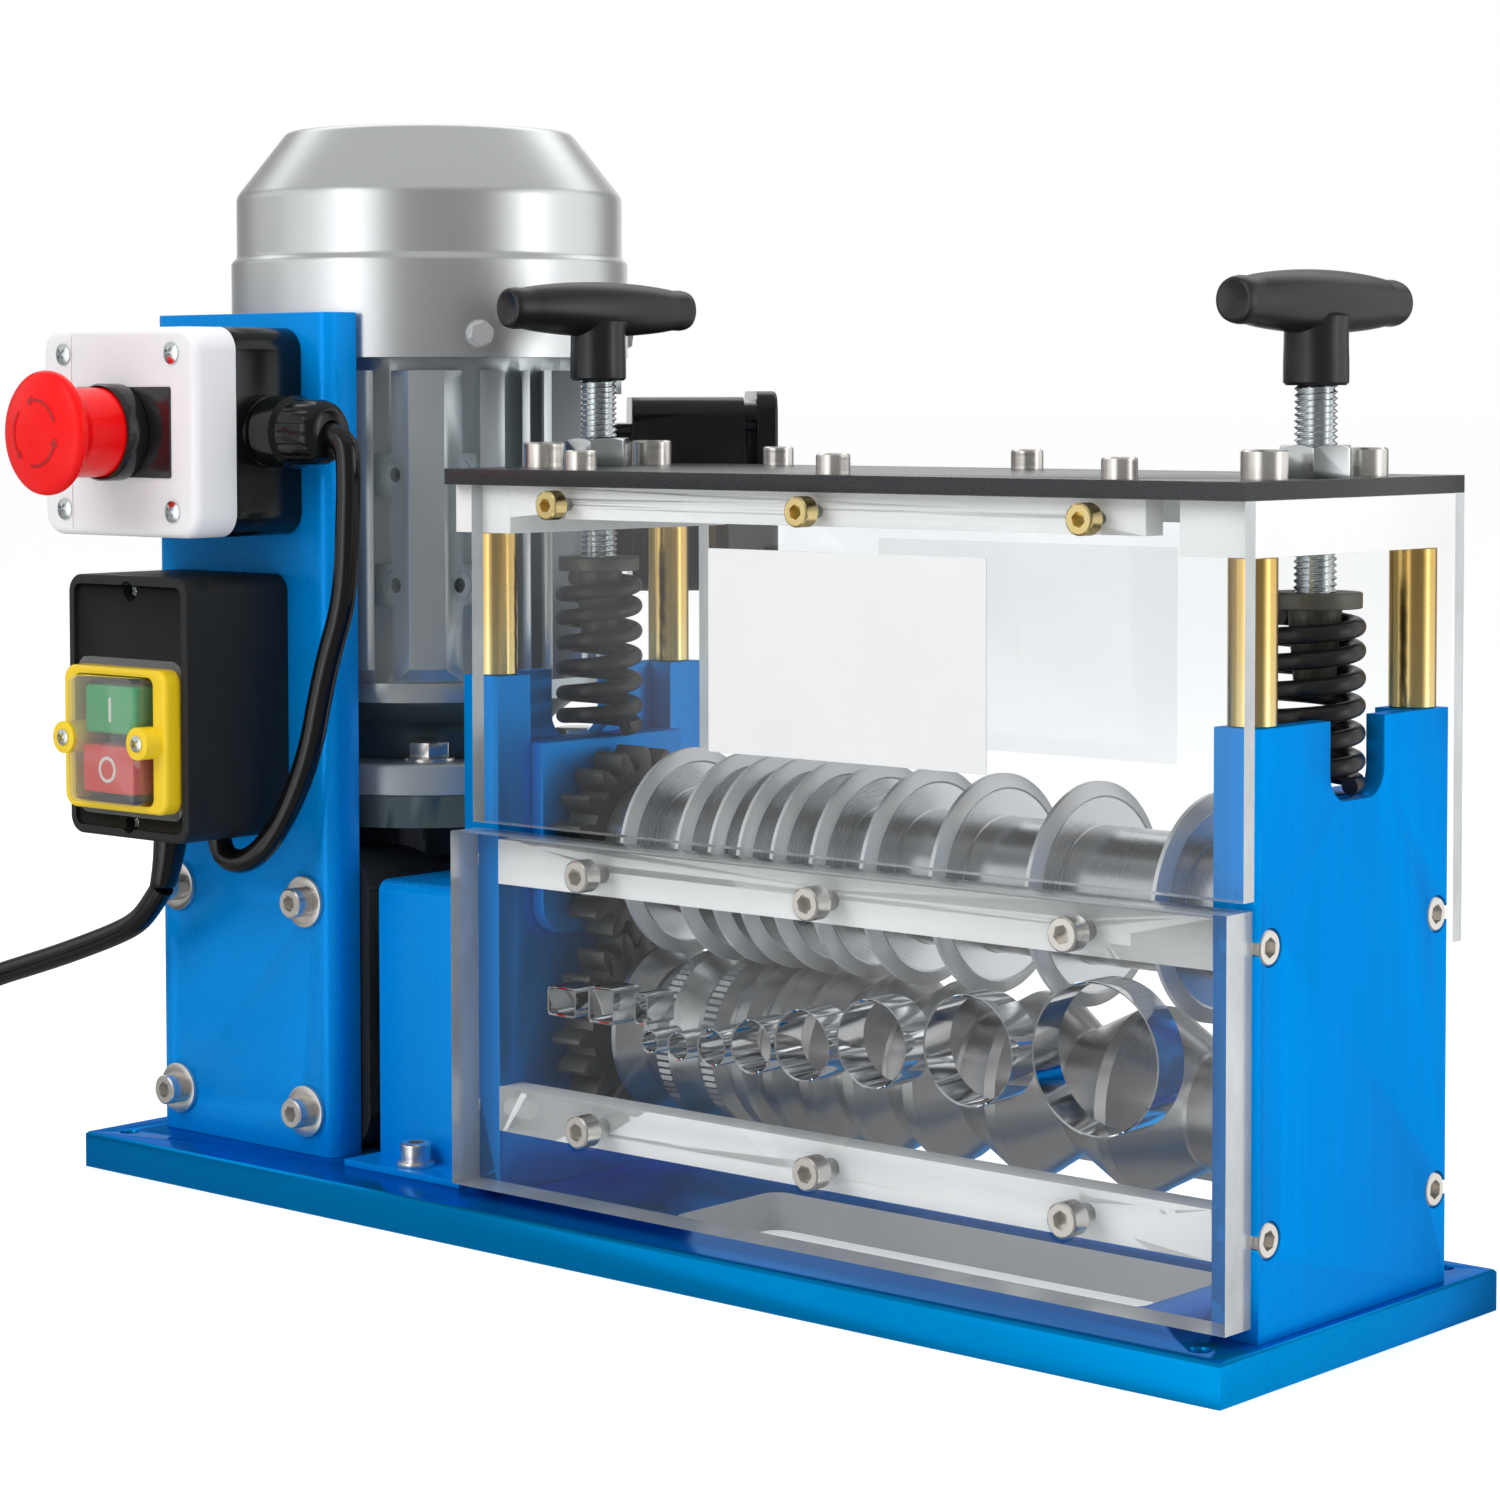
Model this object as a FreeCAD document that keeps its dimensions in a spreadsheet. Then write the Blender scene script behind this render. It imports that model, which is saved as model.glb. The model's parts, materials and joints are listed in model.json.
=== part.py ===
import FreeCAD, Part
import math
import os
import Sketcher
from FreeCAD import Placement, Rotation, Vector

# Bench wire stripping machine, in millimetres. The origin is the centre of the base plate's underside,
# +X runs along the base from the motor to the cutting head, +Y to the back, +Z up.

SIZES = {
    # Base plate
    "base_length": 465.0,
    "base_width": 140.0,
    "base_thickness": 12.0,
    "base_chamfer": 0.8,
    "base_hole_diameter": 6.6,
    "base_hole_inset_x": 12.5,
    "base_hole_inset_y": 9.0,
    "window_length": 174.0,
    "window_width": 49.0,
    "window_x": 94.5,
    "window_y": -11.5,
    "window_corner": 6.0,
    # Side plates of the cutting head
    "head_left": -70.0,
    "head_length": 299.0,
    "plate_thickness": 15.0,
    "plate_width": 94.0,
    "plate_height": 163.0,
    "shaft_passage": 22.0,
    "pocket_depth": 9.0,
    "pocket_floor": 80.0,
    "pocket_corner": 10.0,
    "notch_width": 27.2,
    "notch_depth": 22.2,
    "notch_corner": 8.0,
    # Deck above the side plates
    "post_diameter": 13.4,
    "post_length": 45.0,
    "post_inset": 7.5,
    "post_y": 40.0,
    "block_length": 24.0,
    "block_width": 100.0,
    "block_height": 15.0,
    "deck_width": 110.0,
    "deck_thickness": 5.0,
    "guard_bar_length": 240.0,
    "guard_bar_width": 8.0,
    "guard_bar_height": 10.0,
    # Cross bars and clear panels
    "cross_bar_width": 10.0,
    "cross_bar_height": 14.0,
    "lower_bar_centre": 27.0,
    "upper_bar_centre": 105.0,
    "guard_thickness": 5.0,
    "guard_left_inset": 12.0,
    "front_guard_bottom": 130.0,
    "rear_guard_bottom": 108.0,
    "panel_thickness": 12.0,
    "panel_left_inset": 6.0,
    "panel_right_inset": 2.5,
    "panel_bottom": 16.0,
    "panel_height": 111.0,
    # Wire guides, from left to right along the front panel
    "guide_wall": 0.6,
    "flat_guide_corner": 1.4,
    "flat_guide_1_x": -16.0,
    "flat_guide_1_width": 12.0,
    "flat_guide_1_height": 9.0,
    "flat_guide_1_z": 78.3,
    "flat_guide_2_x": 0.5,
    "flat_guide_2_width": 10.5,
    "flat_guide_2_height": 11.0,
    "flat_guide_2_z": 79.0,
    "flat_guide_3_x": 17.0,
    "flat_guide_3_width": 5.6,
    "flat_guide_3_height": 9.4,
    "flat_guide_3_z": 79.7,
    "round_guide_1_x": 20.5,
    "round_guide_1_diameter": 7.0,
    "round_guide_1_z": 70.3,
    "round_guide_2_x": 32.0,
    "round_guide_2_diameter": 8.5,
    "round_guide_2_z": 70.3,
    "round_guide_3_x": 45.3,
    "round_guide_3_diameter": 11.2,
    "round_guide_3_z": 71.4,
    "round_guide_4_x": 60.8,
    "round_guide_4_diameter": 16.0,
    "round_guide_4_z": 73.5,
    "round_guide_5_x": 80.2,
    "round_guide_5_diameter": 21.0,
    "round_guide_5_z": 76.1,
    "round_guide_6_x": 106.1,
    "round_guide_6_diameter": 25.6,
    "round_guide_6_z": 79.5,
    "round_guide_7_x": 140.7,
    "round_guide_7_diameter": 31.4,
    "round_guide_7_z": 81.6,
    "round_guide_8_x": 184.0,
    "round_guide_8_diameter": 42.3,
    "round_guide_8_z": 84.3,
    # Cutter shaft and feed roller
    "roller_axis_z": 62.3,
    "gear_module": 3.0,
    "gear_teeth": 19,
    "gear_width": 12.0,
    "gear_left": -47.5,
    "gear_backlash": 0.3,
    "pressure_angle": 20.0,
    "gear_root_overlap": 0.5,
    "shaft_diameter": 22.0,
    "journal_diameter": 20.0,
    "bearing_diameter": 35.0,
    "upper_bearing_width": 10.0,
    "upper_bearing_diameter": 32.0,
    "bearing_shield_depth": 0.8,
    "disc_diameter": 65.0,
    "disc_thickness": 5.0,
    "disc_tip": 1.5,
    "disc_bevel": 4.0,
    "second_disc_x": 7.0,
    "spacer_diameter": 40.0,
    "stack_right": 205.0,
    "shaft_collar_diameter": 36.0,
    "shaft_collar_width": 3.0,
    "shaft_left": -62.0,
    "shaft_right": 221.0,
    "gear_hub_diameter": 28.0,
    "gear_hub_length": 7.0,
    "feed_shaft_left": -150.0,
    "roller_collar_diameter": 30.0,
    "roller_left": -26.0,
    "roller_right": 205.5,
    "ridge_diameter": 53.6,
    "ridge_flat": 4.4,
    "groove_slope": 0.22,
    "groove_start": 1.5,
    "groove_floor": 1.6,
    # Sliding blocks, springs and pressure screws
    "slide_clearance": 0.3,
    "running_clearance": 0.05,
    "bearing_block_width": 64.4,
    "bearing_block_height": 61.5,
    "bearing_block_proud": 5.0,
    "screw_inset": 14.0,
    "screw_chamfer": 1.0,
    "screw_diameter": 12.0,
    "seat_diameter": 26.0,
    "seat_thickness": 4.4,
    "seat_pilot_diameter": 15.0,
    "seat_pilot_tip_diameter": 11.0,
    "seat_pilot_length": 24.0,
    "seat_recess": 2.5,
    "left_seat_top": 211.0,
    "right_seat_top": 208.8,
    "spring_diameter": 28.0,
    "spring_wire": 5.0,
    "spring_end_pitch": 5.8,
    "spring_turns": 6.5,
    "spring_gap": 0.15,
    "nut_flats": 19.0,
    "nut_height": 9.0,
    "screw_above_seat": 70.0,
    "hub_above_seat": 56.4,
    "hub_diameter": 18.0,
    "hub_chamfer": 1.0,
    "handle_axis_above_seat": 79.2,
    "handle_length": 72.0,
    "handle_diameter": 17.5,
    "handle_end_diameter": 12.5,
    "handle_dish": 1.5,
    "handle_edge": 1.0,
    "left_handle_turn": 81.0,
    "right_handle_turn": 85.0,
    # Screws
    "m8_head": 13.0,
    "m8_head_height": 8.0,
    "m8_socket": 6.0,
    "m6_head": 10.0,
    "m6_head_height": 6.0,
    "m6_socket": 5.0,
    "guard_head": 9.0,
    "guard_head_height": 5.0,
    "guard_socket": 4.0,
    "head_chamfer": 0.6,
    "screw_m8": 8.0,
    "screw_m6": 6.0,
    "screw_m4": 4.0,
    "socket_depth": 3.0,
    "deck_screw_y": 25.0,
    "block_screw_bite": 10.0,
    "bar_screw_bite": 3.0,
    "guard_screw_bite": 6.0,
    "bar_screw_pitch": 101.0,
    "bar_screw_inset": 26.5,
    "guard_screw_x": -21.0,
    "guard_screw_pitch": 100.0,
    "guard_screw_z": 229.4,
    "panel_screw_x": -10.0,
    "panel_screw_pitch": 91.5,
    "panel_counterbore": 12.0,
    "side_counterbore": 10.6,
    "side_counterbore_depth": 6.2,
    "frame_screw_bite": 9.0,
    "washer_diameter": 17.0,
    "washer_thickness": 1.5,
    "small_washer_diameter": 12.5,
    # Motor, standing on the gearbox
    "motor_x": -165.0,
    "motor_y": 30.0,
    "motor_turn": -45.0,
    "terminal_turn": 45.0,
    "cover_bottom": 275.4,
    "cover_step": 308.0,
    "cover_step_height": 1.9,
    "cover_shoulder": 330.6,
    "cover_top": 353.0,
    "cover_diameter": 136.3,
    "cover_upper_diameter": 132.5,
    "cover_top_diameter": 97.5,
    "cover_wall": 1.6,
    "cover_edge": 3.0,
    "grille_slots": 18,
    "grille_inner": 15.0,
    "grille_outer": 40.0,
    "grille_slot_width": 4.0,
    "fan_bottom": 296.0,
    "fan_height": 26.0,
    "fan_diameter": 104.0,
    "fan_hub_diameter": 36.0,
    "fan_blades": 7,
    "fan_blade_thickness": 2.4,
    "fan_blade_overlap": 2.0,
    "fan_plate_thickness": 2.5,
    "fan_shaft_depth": 12.0,
    "fan_shaft_diameter": 12.0,
    "housing_top": 292.0,
    "spigot_height": 8.0,
    "housing_core_diameter": 112.0,
    "housing_ring_diameter": 124.0,
    "fin_circle_diameter": 131.6,
    "fin_top": 271.0,
    "fin_bottom": 167.4,
    "housing_bottom": 161.0,
    "rib_half_width": 5.85,
    "rib_flare": 5.85,
    "thick_fin_start": 17.6,
    "thick_fin_width": 8.1,
    "thin_fin_width": 2.6,
    "thin_fin_start": 31.5,
    "thin_fin_pitch": 7.2,
    "fin_root": 30.0,
    "fin_bevel_start": 122.0,
    "pad_half_width": 19.0,
    "pad_height": 14.2,
    "lower_pad_bottom": 192.8,
    "upper_pad_bottom": 229.4,
    "pad_hole_diameter": 5.0,
    "pad_spot_diameter": 10.5,
    "pad_hole_depth": 7.0,
    "pad_hole_offset": 11.0,
    "pad_spot_depth": 0.6,
    "flange_diameter": 120.0,
    "flange_bottom": 129.7,
    "flange_top": 140.4,
    "neck_diameter": 82.0,
    "neck_top_diameter": 108.0,
    "flange_bolt_circle": 100.0,
    "flange_bolt_flats": 13.0,
    "flange_bolt_height": 5.3,
    # Terminal box on the motor's side
    "terminal_seat": 62.0,
    "terminal_seat_depth": 10.0,
    "terminal_neck_depth": 6.7,
    "terminal_body_depth": 38.0,
    "terminal_gap": 4.2,
    "terminal_lid_depth": 7.0,
    "terminal_width": 74.0,
    "terminal_bottom": 196.0,
    "terminal_top": 262.0,
    "terminal_corner": 9.0,
    "terminal_step": 2.0,
    "terminal_edge": 1.5,
    "terminal_boss_inset": 7.5,
    "terminal_boss_diameter": 11.0,
    # Gearbox
    "gearbox_width": 70.0,
    "gearbox_back": 62.0,
    "gearbox_top": 112.0,
    "gearbox_edge": 4.0,
    "gearbox_corner": 14.0,
    "gearbox_neck_diameter": 88.0,
    "input_flange_bottom": 119.2,
    "input_hole_depth": 8.0,
    "hub_cover_diameter": 78.0,
    "hub_cover_height": 5.0,
    "output_hub_diameter": 55.0,
    "output_bore_depth": 30.0,
    "foot_plate_width": 75.0,
    "foot_plate_bottom": 16.0,
    "foot_plate_height": 90.0,
    # Folded blue covers
    "bracket_left": -221.0,
    "bracket_width": 87.5,
    "bracket_front": -46.5,
    "bracket_top": 290.0,
    "bracket_sheet": 3.0,
    "bracket_depth": 13.0,
    "bracket_bend": 2.0,
    "bracket_gap": 0.5,
    "bracket_screw_x": -178.0,
    "bracket_screw_z": 61.4,
    "bracket_screw_spacing_x": 64.5,
    "bracket_screw_spacing_z": 69.6,
    "gear_cover_left": -124.0,
    "gear_cover_front": -34.0,
    "gear_cover_back": 34.0,
    "gear_cover_top": 104.0,
    "gear_cover_sheet": 2.0,
    "gear_cover_bend": 2.0,
    "gear_cover_gap": 0.5,
    "gear_cover_foot": 16.0,
    "gear_cover_screw_x": -99.5,
    "gear_cover_screw_inset": 7.0,
    # Emergency stop box
    "estop_left": -224.0,
    "estop_width": 78.0,
    "estop_bottom": 217.0,
    "estop_height": 68.0,
    "estop_base_depth": 28.0,
    "estop_cover_depth": 17.0,
    "estop_corner": 8.0,
    "estop_edge": 3.0,
    "estop_x": -184.0,
    "estop_z": 251.0,
    "estop_cavity_diameter": 30.0,
    "estop_cavity_depth": 20.0,
    "label_plate_width": 31.0,
    "label_plate_height": 28.5,
    "label_plate_thickness": 0.5,
    "estop_screw_spacing_x": 55.0,
    "estop_screw_spacing_z": 51.0,
    "estop_screw_head": 7.0,
    "estop_screw_height": 1.6,
    "collar_diameter": 31.6,
    "collar_bore": 29.8,
    "collar_length": 9.0,
    "collar_floor": 1.2,
    "stem_diameter": 10.0,
    "stem_tail": 4.0,
    "retainer_diameter": 18.0,
    "retainer_thickness": 2.0,
    "neck_depth_in_collar": 2.8,
    "mushroom_neck_diameter": 29.0,
    "mushroom_diameter": 40.0,
    "mushroom_neck_length": 17.0,
    "mushroom_flare": 5.0,
    "mushroom_rim": 2.2,
    "mushroom_edge": 1.5,
    "mushroom_dome": 3.4,
    "mushroom_bore_depth": 12.0,
    "gland_x": -115.5,
    "gland_body_diameter": 24.0,
    "gland_body_length": 15.0,
    "gland_nut_diameter": 21.0,
    "gland_dome": 4.0,
    "gland_bore_depth": 7.5,
    "gland_y": -61.0,
    "gland_z": 251.0,
    # Switch box
    "switch_left": -214.0,
    "switch_width": 60.5,
    "switch_bottom": 118.0,
    "switch_height": 86.0,
    "switch_base_depth": 33.5,
    "switch_cover_depth": 9.6,
    "switch_corner": 6.0,
    "switch_rim": 3.0,
    "switch_recess": 1.6,
    "switch_edge": 1.0,
    "switch_screw_hole": 6.6,
    "switch_screw_depth": 5.0,
    "link_entry_x": -168.5,
    "link_entry_y": -64.0,
    "link_entry_depth": 5.0,
    "frame_x": -183.5,
    "frame_z": 151.0,
    "frame_width": 52.0,
    "frame_height": 47.0,
    "frame_depth": 6.5,
    "frame_corner": 5.0,
    "frame_edge": 1.5,
    "frame_window_width": 40.0,
    "frame_window_height": 42.0,
    "lug_spacing": 37.6,
    "lug_diameter": 10.6,
    "lug_height": 13.4,
    "lug_screw_head": 5.4,
    "lug_screw_height": 1.0,
    "button_width": 25.6,
    "button_height": 15.6,
    "button_spacing": 19.4,
    "start_button_proud": 9.0,
    "stop_button_proud": 10.3,
    "button_well_depth": 4.0,
    "button_corner": 1.5,
    "button_edge": 1.0,
    "boot_wall": 0.8,
    "boot_width": 33.0,
    "boot_height": 41.2,
    "boot_depth": 13.0,
    "boot_corner": 3.0,
    "boot_flange": 1.0,
    "boot_plate_width": 53.5,
    "boot_plate_height": 52.0,
    "switch_screw_spacing_z": 76.0,
    # Cables
    "cable_diameter": 8.0,
    "relief_diameter": 13.0,
    "relief_tip_diameter": 9.6,
    "relief_length": 20.0,
    "relief_collar_diameter": 16.0,
    "relief_collar_height": 3.0,
    "relief_x": -199.0,
    "relief_y": -63.0,
    "coil_x": -420.0,
    "coil_y": -62.0,
    "coil_outer_radius": 54.0,
    "coil_pitch": 8.6,
    "coil_layer": 8.6,
    "coil_lead": 10.0,
    "coil_tail": 26.0,
    "plug_width": 26.0,
    "plug_height": 22.0,
    "plug_length": 30.0,
    "plug_corner": 6.0,
    "plug_edge": 2.0,
    "plug_grip_length": 16.0,
    "plug_grip_diameter": 12.0,
    "plug_grip_end_diameter": 17.0,
    "plug_blade_length": 16.0,
    "plug_blade_thickness": 1.6,
    "plug_blade_width": 6.4,
    "plug_blade_spacing": 12.7,
    "plug_blade_lift": 3.5,
    "plug_pin_diameter": 4.8,
}

doc = FreeCAD.newDocument("wire_stripping_machine")


class Size:
    """A number together with the sheet formula that gives it, so that arithmetic keeps both."""

    def __init__(self, number, formula):
        self.number = float(number)
        self.formula = formula

    def __float__(self):
        return self.number

    def joined(self, other, sign, number):
        return Size(number, "(%s %s %s)" % (self.formula, sign, as_size(other).formula))

    def __add__(self, other):
        return self.joined(other, "+", self.number + float(other))

    def __sub__(self, other):
        return self.joined(other, "-", self.number - float(other))

    def __mul__(self, other):
        return self.joined(other, "*", self.number * float(other))

    def __truediv__(self, other):
        return self.joined(other, "/", self.number / float(other))

    def __radd__(self, other):
        return as_size(other) + self

    def __rsub__(self, other):
        return as_size(other) - self

    def __rmul__(self, other):
        return as_size(other) * self

    def __rtruediv__(self, other):
        return as_size(other) / self

    def __neg__(self):
        return as_size(0) - self


def as_size(value):
    """A plain number as a Size; a Size as it is."""
    if isinstance(value, Size):
        return value
    return Size(value, "(%r)" % float(value))


def root(value):
    return Size(math.sqrt(float(value)), "sqrt(%s)" % as_size(value).formula)


def sine(degrees):
    return Size(math.sin(math.radians(float(degrees))), "sin(%s)" % as_size(degrees).formula)


def cosine(degrees):
    return Size(math.cos(math.radians(float(degrees))), "cos(%s)" % as_size(degrees).formula)


def arc_cosine(value):
    """The angle in degrees whose cosine is value."""
    degrees = math.degrees(math.acos(float(value)))
    return Size(degrees, "(acos(%s) / 1 deg)" % as_size(value).formula)


class Sheet:
    """The spreadsheet of driving dimensions; each alias reads as a Size."""

    def __init__(self, sizes):
        self.table = doc.addObject("Spreadsheet::Sheet", "Sizes")
        for row, (alias, value) in enumerate(sizes.items(), start=1):
            self.table.set("A%d" % row, alias)
            self.table.set("B%d" % row, str(value))
            self.table.setAlias("B%d" % row, alias)
            setattr(self, alias, Size(value, "Sizes." + alias))


s = Sheet(SIZES)
doc.recompute()


def bind(target, name, value):
    """Ties a property to the sheet; a plain number is set as it is."""
    if "." not in name:
        setattr(target, name, float(value))
    if isinstance(value, Size):
        target.setExpression(name, value.formula)
    elif "." in name:
        target.setExpression(name, repr(float(value)))


def lies(edge, **at):
    """Whether an edge keeps to the given x, y or z all along."""
    box = edge.BoundBox
    for axis, value in at.items():
        low = getattr(box, axis.upper() + "Min")
        high = getattr(box, axis.upper() + "Max")
        if abs(low - float(value)) > 0.01 or abs(high - float(value)) > 0.01:
            return False
    return True


def is_circle(edge, diameter):
    return hasattr(edge.Curve, "Radius") and abs(edge.Curve.Radius - float(diameter) / 2) < 0.01


class Outline:
    """A sketch whose corners and circles are tied to the sheet."""

    def __init__(self, sketch, normal):
        self.sketch = sketch
        self.normal = normal

    def tie(self, kind, references, value):
        """One dimension, where references are the geometry and point numbers that it joins."""
        index = self.sketch.addConstraint(Sketcher.Constraint(kind, *references, float(value)))
        if isinstance(value, Size):
            self.sketch.setExpression("Constraints[%d]" % index, value.formula)

    def locate(self, geometry, point, x, y):
        self.tie("DistanceX", (-1, 1, geometry, point), x)
        self.tie("DistanceY", (-1, 1, geometry, point), y)

    def circle(self, x, y, diameter):
        centre = Vector(float(x), float(y), 0)
        circle = Part.Circle(centre, Vector(0, 0, 1), float(diameter) / 2)
        geometry = self.sketch.addGeometry(circle, False)
        self.locate(geometry, 3, x, y)
        self.tie("Diameter", (geometry,), diameter)
        return self

    def path(self, corners, bends=None):
        """A closed outline. Side i runs from corner i to the next; bends[i] gives the radius of a side
        that is an arc, above 0 where it turns left on its way and below 0 where it turns right."""
        bends = bends or {}
        first = self.sketch.GeometryCount
        ends = []
        for i, corner in enumerate(corners):
            following = corners[(i + 1) % len(corners)]
            start = Vector(float(corner[0]), float(corner[1]), 0)
            end = Vector(float(following[0]), float(following[1]), 0)
            if i in bends:
                radius = float(bends[i])
                chord = end - start
                across = Vector(-chord.y, chord.x, 0).normalize()
                offset = math.sqrt(max(radius**2 - (chord.Length / 2) ** 2, 0.0))
                centre = (start + end) * 0.5 + across * math.copysign(offset, radius)
                circle = Part.Circle(centre, Vector(0, 0, 1), abs(radius))
                low, high = (start, end) if radius > 0 else (end, start)
                angles = [math.atan2(p.y - centre.y, p.x - centre.x) for p in (low, high)]
                self.sketch.addGeometry(Part.ArcOfCircle(circle, angles[0], angles[1]), False)
                ends.append((1, 2) if radius > 0 else (2, 1))
            else:
                self.sketch.addGeometry(Part.LineSegment(start, end), False)
                ends.append((1, 2))
        for i, corner in enumerate(corners):
            previous = (i - 1) % len(corners)
            join = (first + previous, ends[previous][1], first + i, ends[i][0])
            self.sketch.addConstraint(Sketcher.Constraint("Coincident", *join))
            self.locate(first + i, ends[i][0], corner[0], corner[1])
            if i in bends:
                radius = bends[i] if float(bends[i]) > 0 else -bends[i]
                self.tie("Radius", (first + i,), radius)
        return self

    def rectangle(self, x0, y0, x1, y1):
        return self.path([(x0, y0), (x1, y0), (x1, y1), (x0, y1)])

    def rounded(self, x0, y0, x1, y1, r):
        """A rectangle with round corners."""
        corners = [(x0 + r, y0), (x1 - r, y0), (x1, y0 + r), (x1, y1 - r)]
        corners += [(x1 - r, y1), (x0 + r, y1), (x0, y1 - r), (x0, y0 + r)]
        return self.path(corners, {1: r, 3: r, 5: r, 7: r})

    def centred(self, x, y, width, height, r=None):
        """A rectangle about a centre, with round corners where r is given."""
        sides = (x - width / 2, y - height / 2, x + width / 2, y + height / 2)
        return self.rectangle(*sides) if r is None else self.rounded(*sides, r)

    def hexagon(self, x, y, flats):
        radius = flats / math.sqrt(3)
        turns = [math.radians(60 * i) for i in range(6)]
        return self.path([(x + radius * math.cos(a), y + radius * math.sin(a)) for a in turns])


class Piece:
    """One sub-part: a body with its own sketches and features, under the name of its node."""

    def __init__(self, label):
        self.body = doc.addObject("PartDesign::Body", label)
        self.body.Label = label

    def datum(self, role):
        """One of the body's own origin planes or axes, such as XY_Plane or Z_Axis."""
        return next(f for f in self.body.Origin.OriginFeatures if f.Role == role)

    def sketch(self, plane, height=0.0):
        """An empty outline on plane XY, XZ or YZ, moved along Z, Y or X by height."""
        sketch = self.body.newObject("Sketcher::SketchObject", "Sketch")
        sketch.AttachmentSupport = [(self.datum(plane + "_Plane"), "")]
        sketch.MapMode = "FlatFace"
        normal = -1 if plane == "XZ" else 1
        bind(sketch, "AttachmentOffset.Base.z", height * normal)
        return Outline(sketch, normal)

    def volume(self):
        doc.recompute()
        return self.body.Shape.Volume

    def take_away(self, feature, make):
        """Runs make on a subtractive feature and stops where it removes nothing."""
        before = self.body.Shape.Volume
        make(feature)
        if self.volume() > before - 0.01:
            raise RuntimeError("%s of %s removes nothing" % (feature.Name, self.body.Label))
        return feature

    def pad(self, outline, length, toward=1):
        """Adds the outline's area as far as length, to the axis's high side or, with -1, its low side."""
        feature = self.body.newObject("PartDesign::Pad", "Pad")
        feature.Profile = outline.sketch
        bind(feature, "Length", length)
        feature.Reversed = toward != outline.normal
        return feature

    def cut(self, outline, depth, toward=1):
        """Takes the outline's area away as far as depth."""
        self.volume()
        feature = self.body.newObject("PartDesign::Pocket", "Pocket")

        def make(pocket):
            pocket.Profile = outline.sketch
            bind(pocket, "Length", depth)
            pocket.Reversed = toward == outline.normal

        return self.take_away(feature, make)

    def revolve(self, outline, axis="V_Axis"):
        feature = self.body.newObject("PartDesign::Revolution", "Revolution")
        feature.Profile = outline.sketch
        feature.ReferenceAxis = (outline.sketch, [axis])
        feature.Angle = 360
        return feature

    def groove(self, outline, axis="V_Axis"):
        self.volume()
        feature = self.body.newObject("PartDesign::Groove", "Groove")

        def make(groove):
            groove.Profile = outline.sketch
            groove.ReferenceAxis = (outline.sketch, [axis])
            groove.Angle = 360

        return self.take_away(feature, make)

    def row(self, axis, spacing, count, features=None):
        """Repeats features, or the whole piece so far, along an axis."""
        pattern = self.body.newObject("PartDesign::LinearPattern", "Row")
        self.repeat(pattern, features)
        pattern.Direction = (self.datum(axis + "_Axis"), [""])
        pattern.Mode = "Spacing"
        bind(pattern, "Offset", spacing)
        pattern.Occurrences = count
        self.body.Tip = pattern
        return pattern

    def ring(self, axis, count, features=None):
        """Repeats features, or the whole piece so far, around an axis."""
        pattern = self.body.newObject("PartDesign::PolarPattern", "Ring")
        self.repeat(pattern, features)
        pattern.Axis = (self.datum(axis + "_Axis"), [""])
        pattern.Angle = 360
        pattern.Occurrences = int(float(count))
        if isinstance(count, Size):
            pattern.setExpression("Occurrences", count.formula)
        self.body.Tip = pattern
        return pattern

    def repeat(self, pattern, features):
        if features:
            pattern.Originals = features
        else:
            pattern.TransformMode = "Whole shape"

    def edges(self, test):
        doc.recompute()
        tip = self.body.Tip
        names = ["Edge%d" % (i + 1) for i, edge in enumerate(tip.Shape.Edges) if test(edge)]
        if not names:
            raise RuntimeError("no edge of %s passes the test" % self.body.Label)
        return tip, names

    def fillet(self, radius, test):
        base = self.edges(test)
        feature = self.body.newObject("PartDesign::Fillet", "Fillet")
        feature.Base = base
        bind(feature, "Radius", radius)
        return feature

    def chamfer(self, size, test):
        base = self.edges(test)
        feature = self.body.newObject("PartDesign::Chamfer", "Chamfer")
        feature.Base = base
        bind(feature, "Size", size)
        return feature

    def place(self, x=None, y=None, z=None, turn=None):
        """Moves the body from the origin, and turns it about Z by turn degrees."""
        names = ["Placement.Base.x", "Placement.Base.y", "Placement.Base.z", "Placement.Rotation.Angle"]
        for name, value in zip(names, (x, y, z, turn)):
            if value is not None:
                bind(self.body, name, value)
        return self

    def screws(self, plane, seat, toward, places, kind, shank_length):
        """Socket screws whose heads stand on seat and whose shanks point the way toward says."""
        axis = {"XY": "z", "XZ": "y", "YZ": "x"}[plane]
        top = seat - kind.height * toward
        heads, sockets, shanks = self.sketch(plane, seat), self.sketch(plane, top), self.sketch(plane, seat)
        for x, y in places:
            heads.circle(x, y, kind.head)
            sockets.hexagon(x, y, kind.socket)
            shanks.circle(x, y, kind.shank)
        self.pad(heads, kind.height, -toward)
        self.chamfer(s.head_chamfer, lambda e: lies(e, **{axis: top}) and is_circle(e, kind.head))
        self.cut(sockets, s.socket_depth, toward)
        self.pad(shanks, shank_length, toward)


class ScrewKind:
    """The sizes of one kind of socket screw."""

    def __init__(self, head, height, socket, shank):
        self.head = head
        self.height = height
        self.socket = socket
        self.shank = shank


M8 = ScrewKind(s.m8_head, s.m8_head_height, s.m8_socket, s.screw_m8)
M6 = ScrewKind(s.m6_head, s.m6_head_height, s.m6_socket, s.screw_m6)
GUARD = ScrewKind(s.guard_head, s.guard_head_height, s.guard_socket, s.screw_m4)

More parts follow.
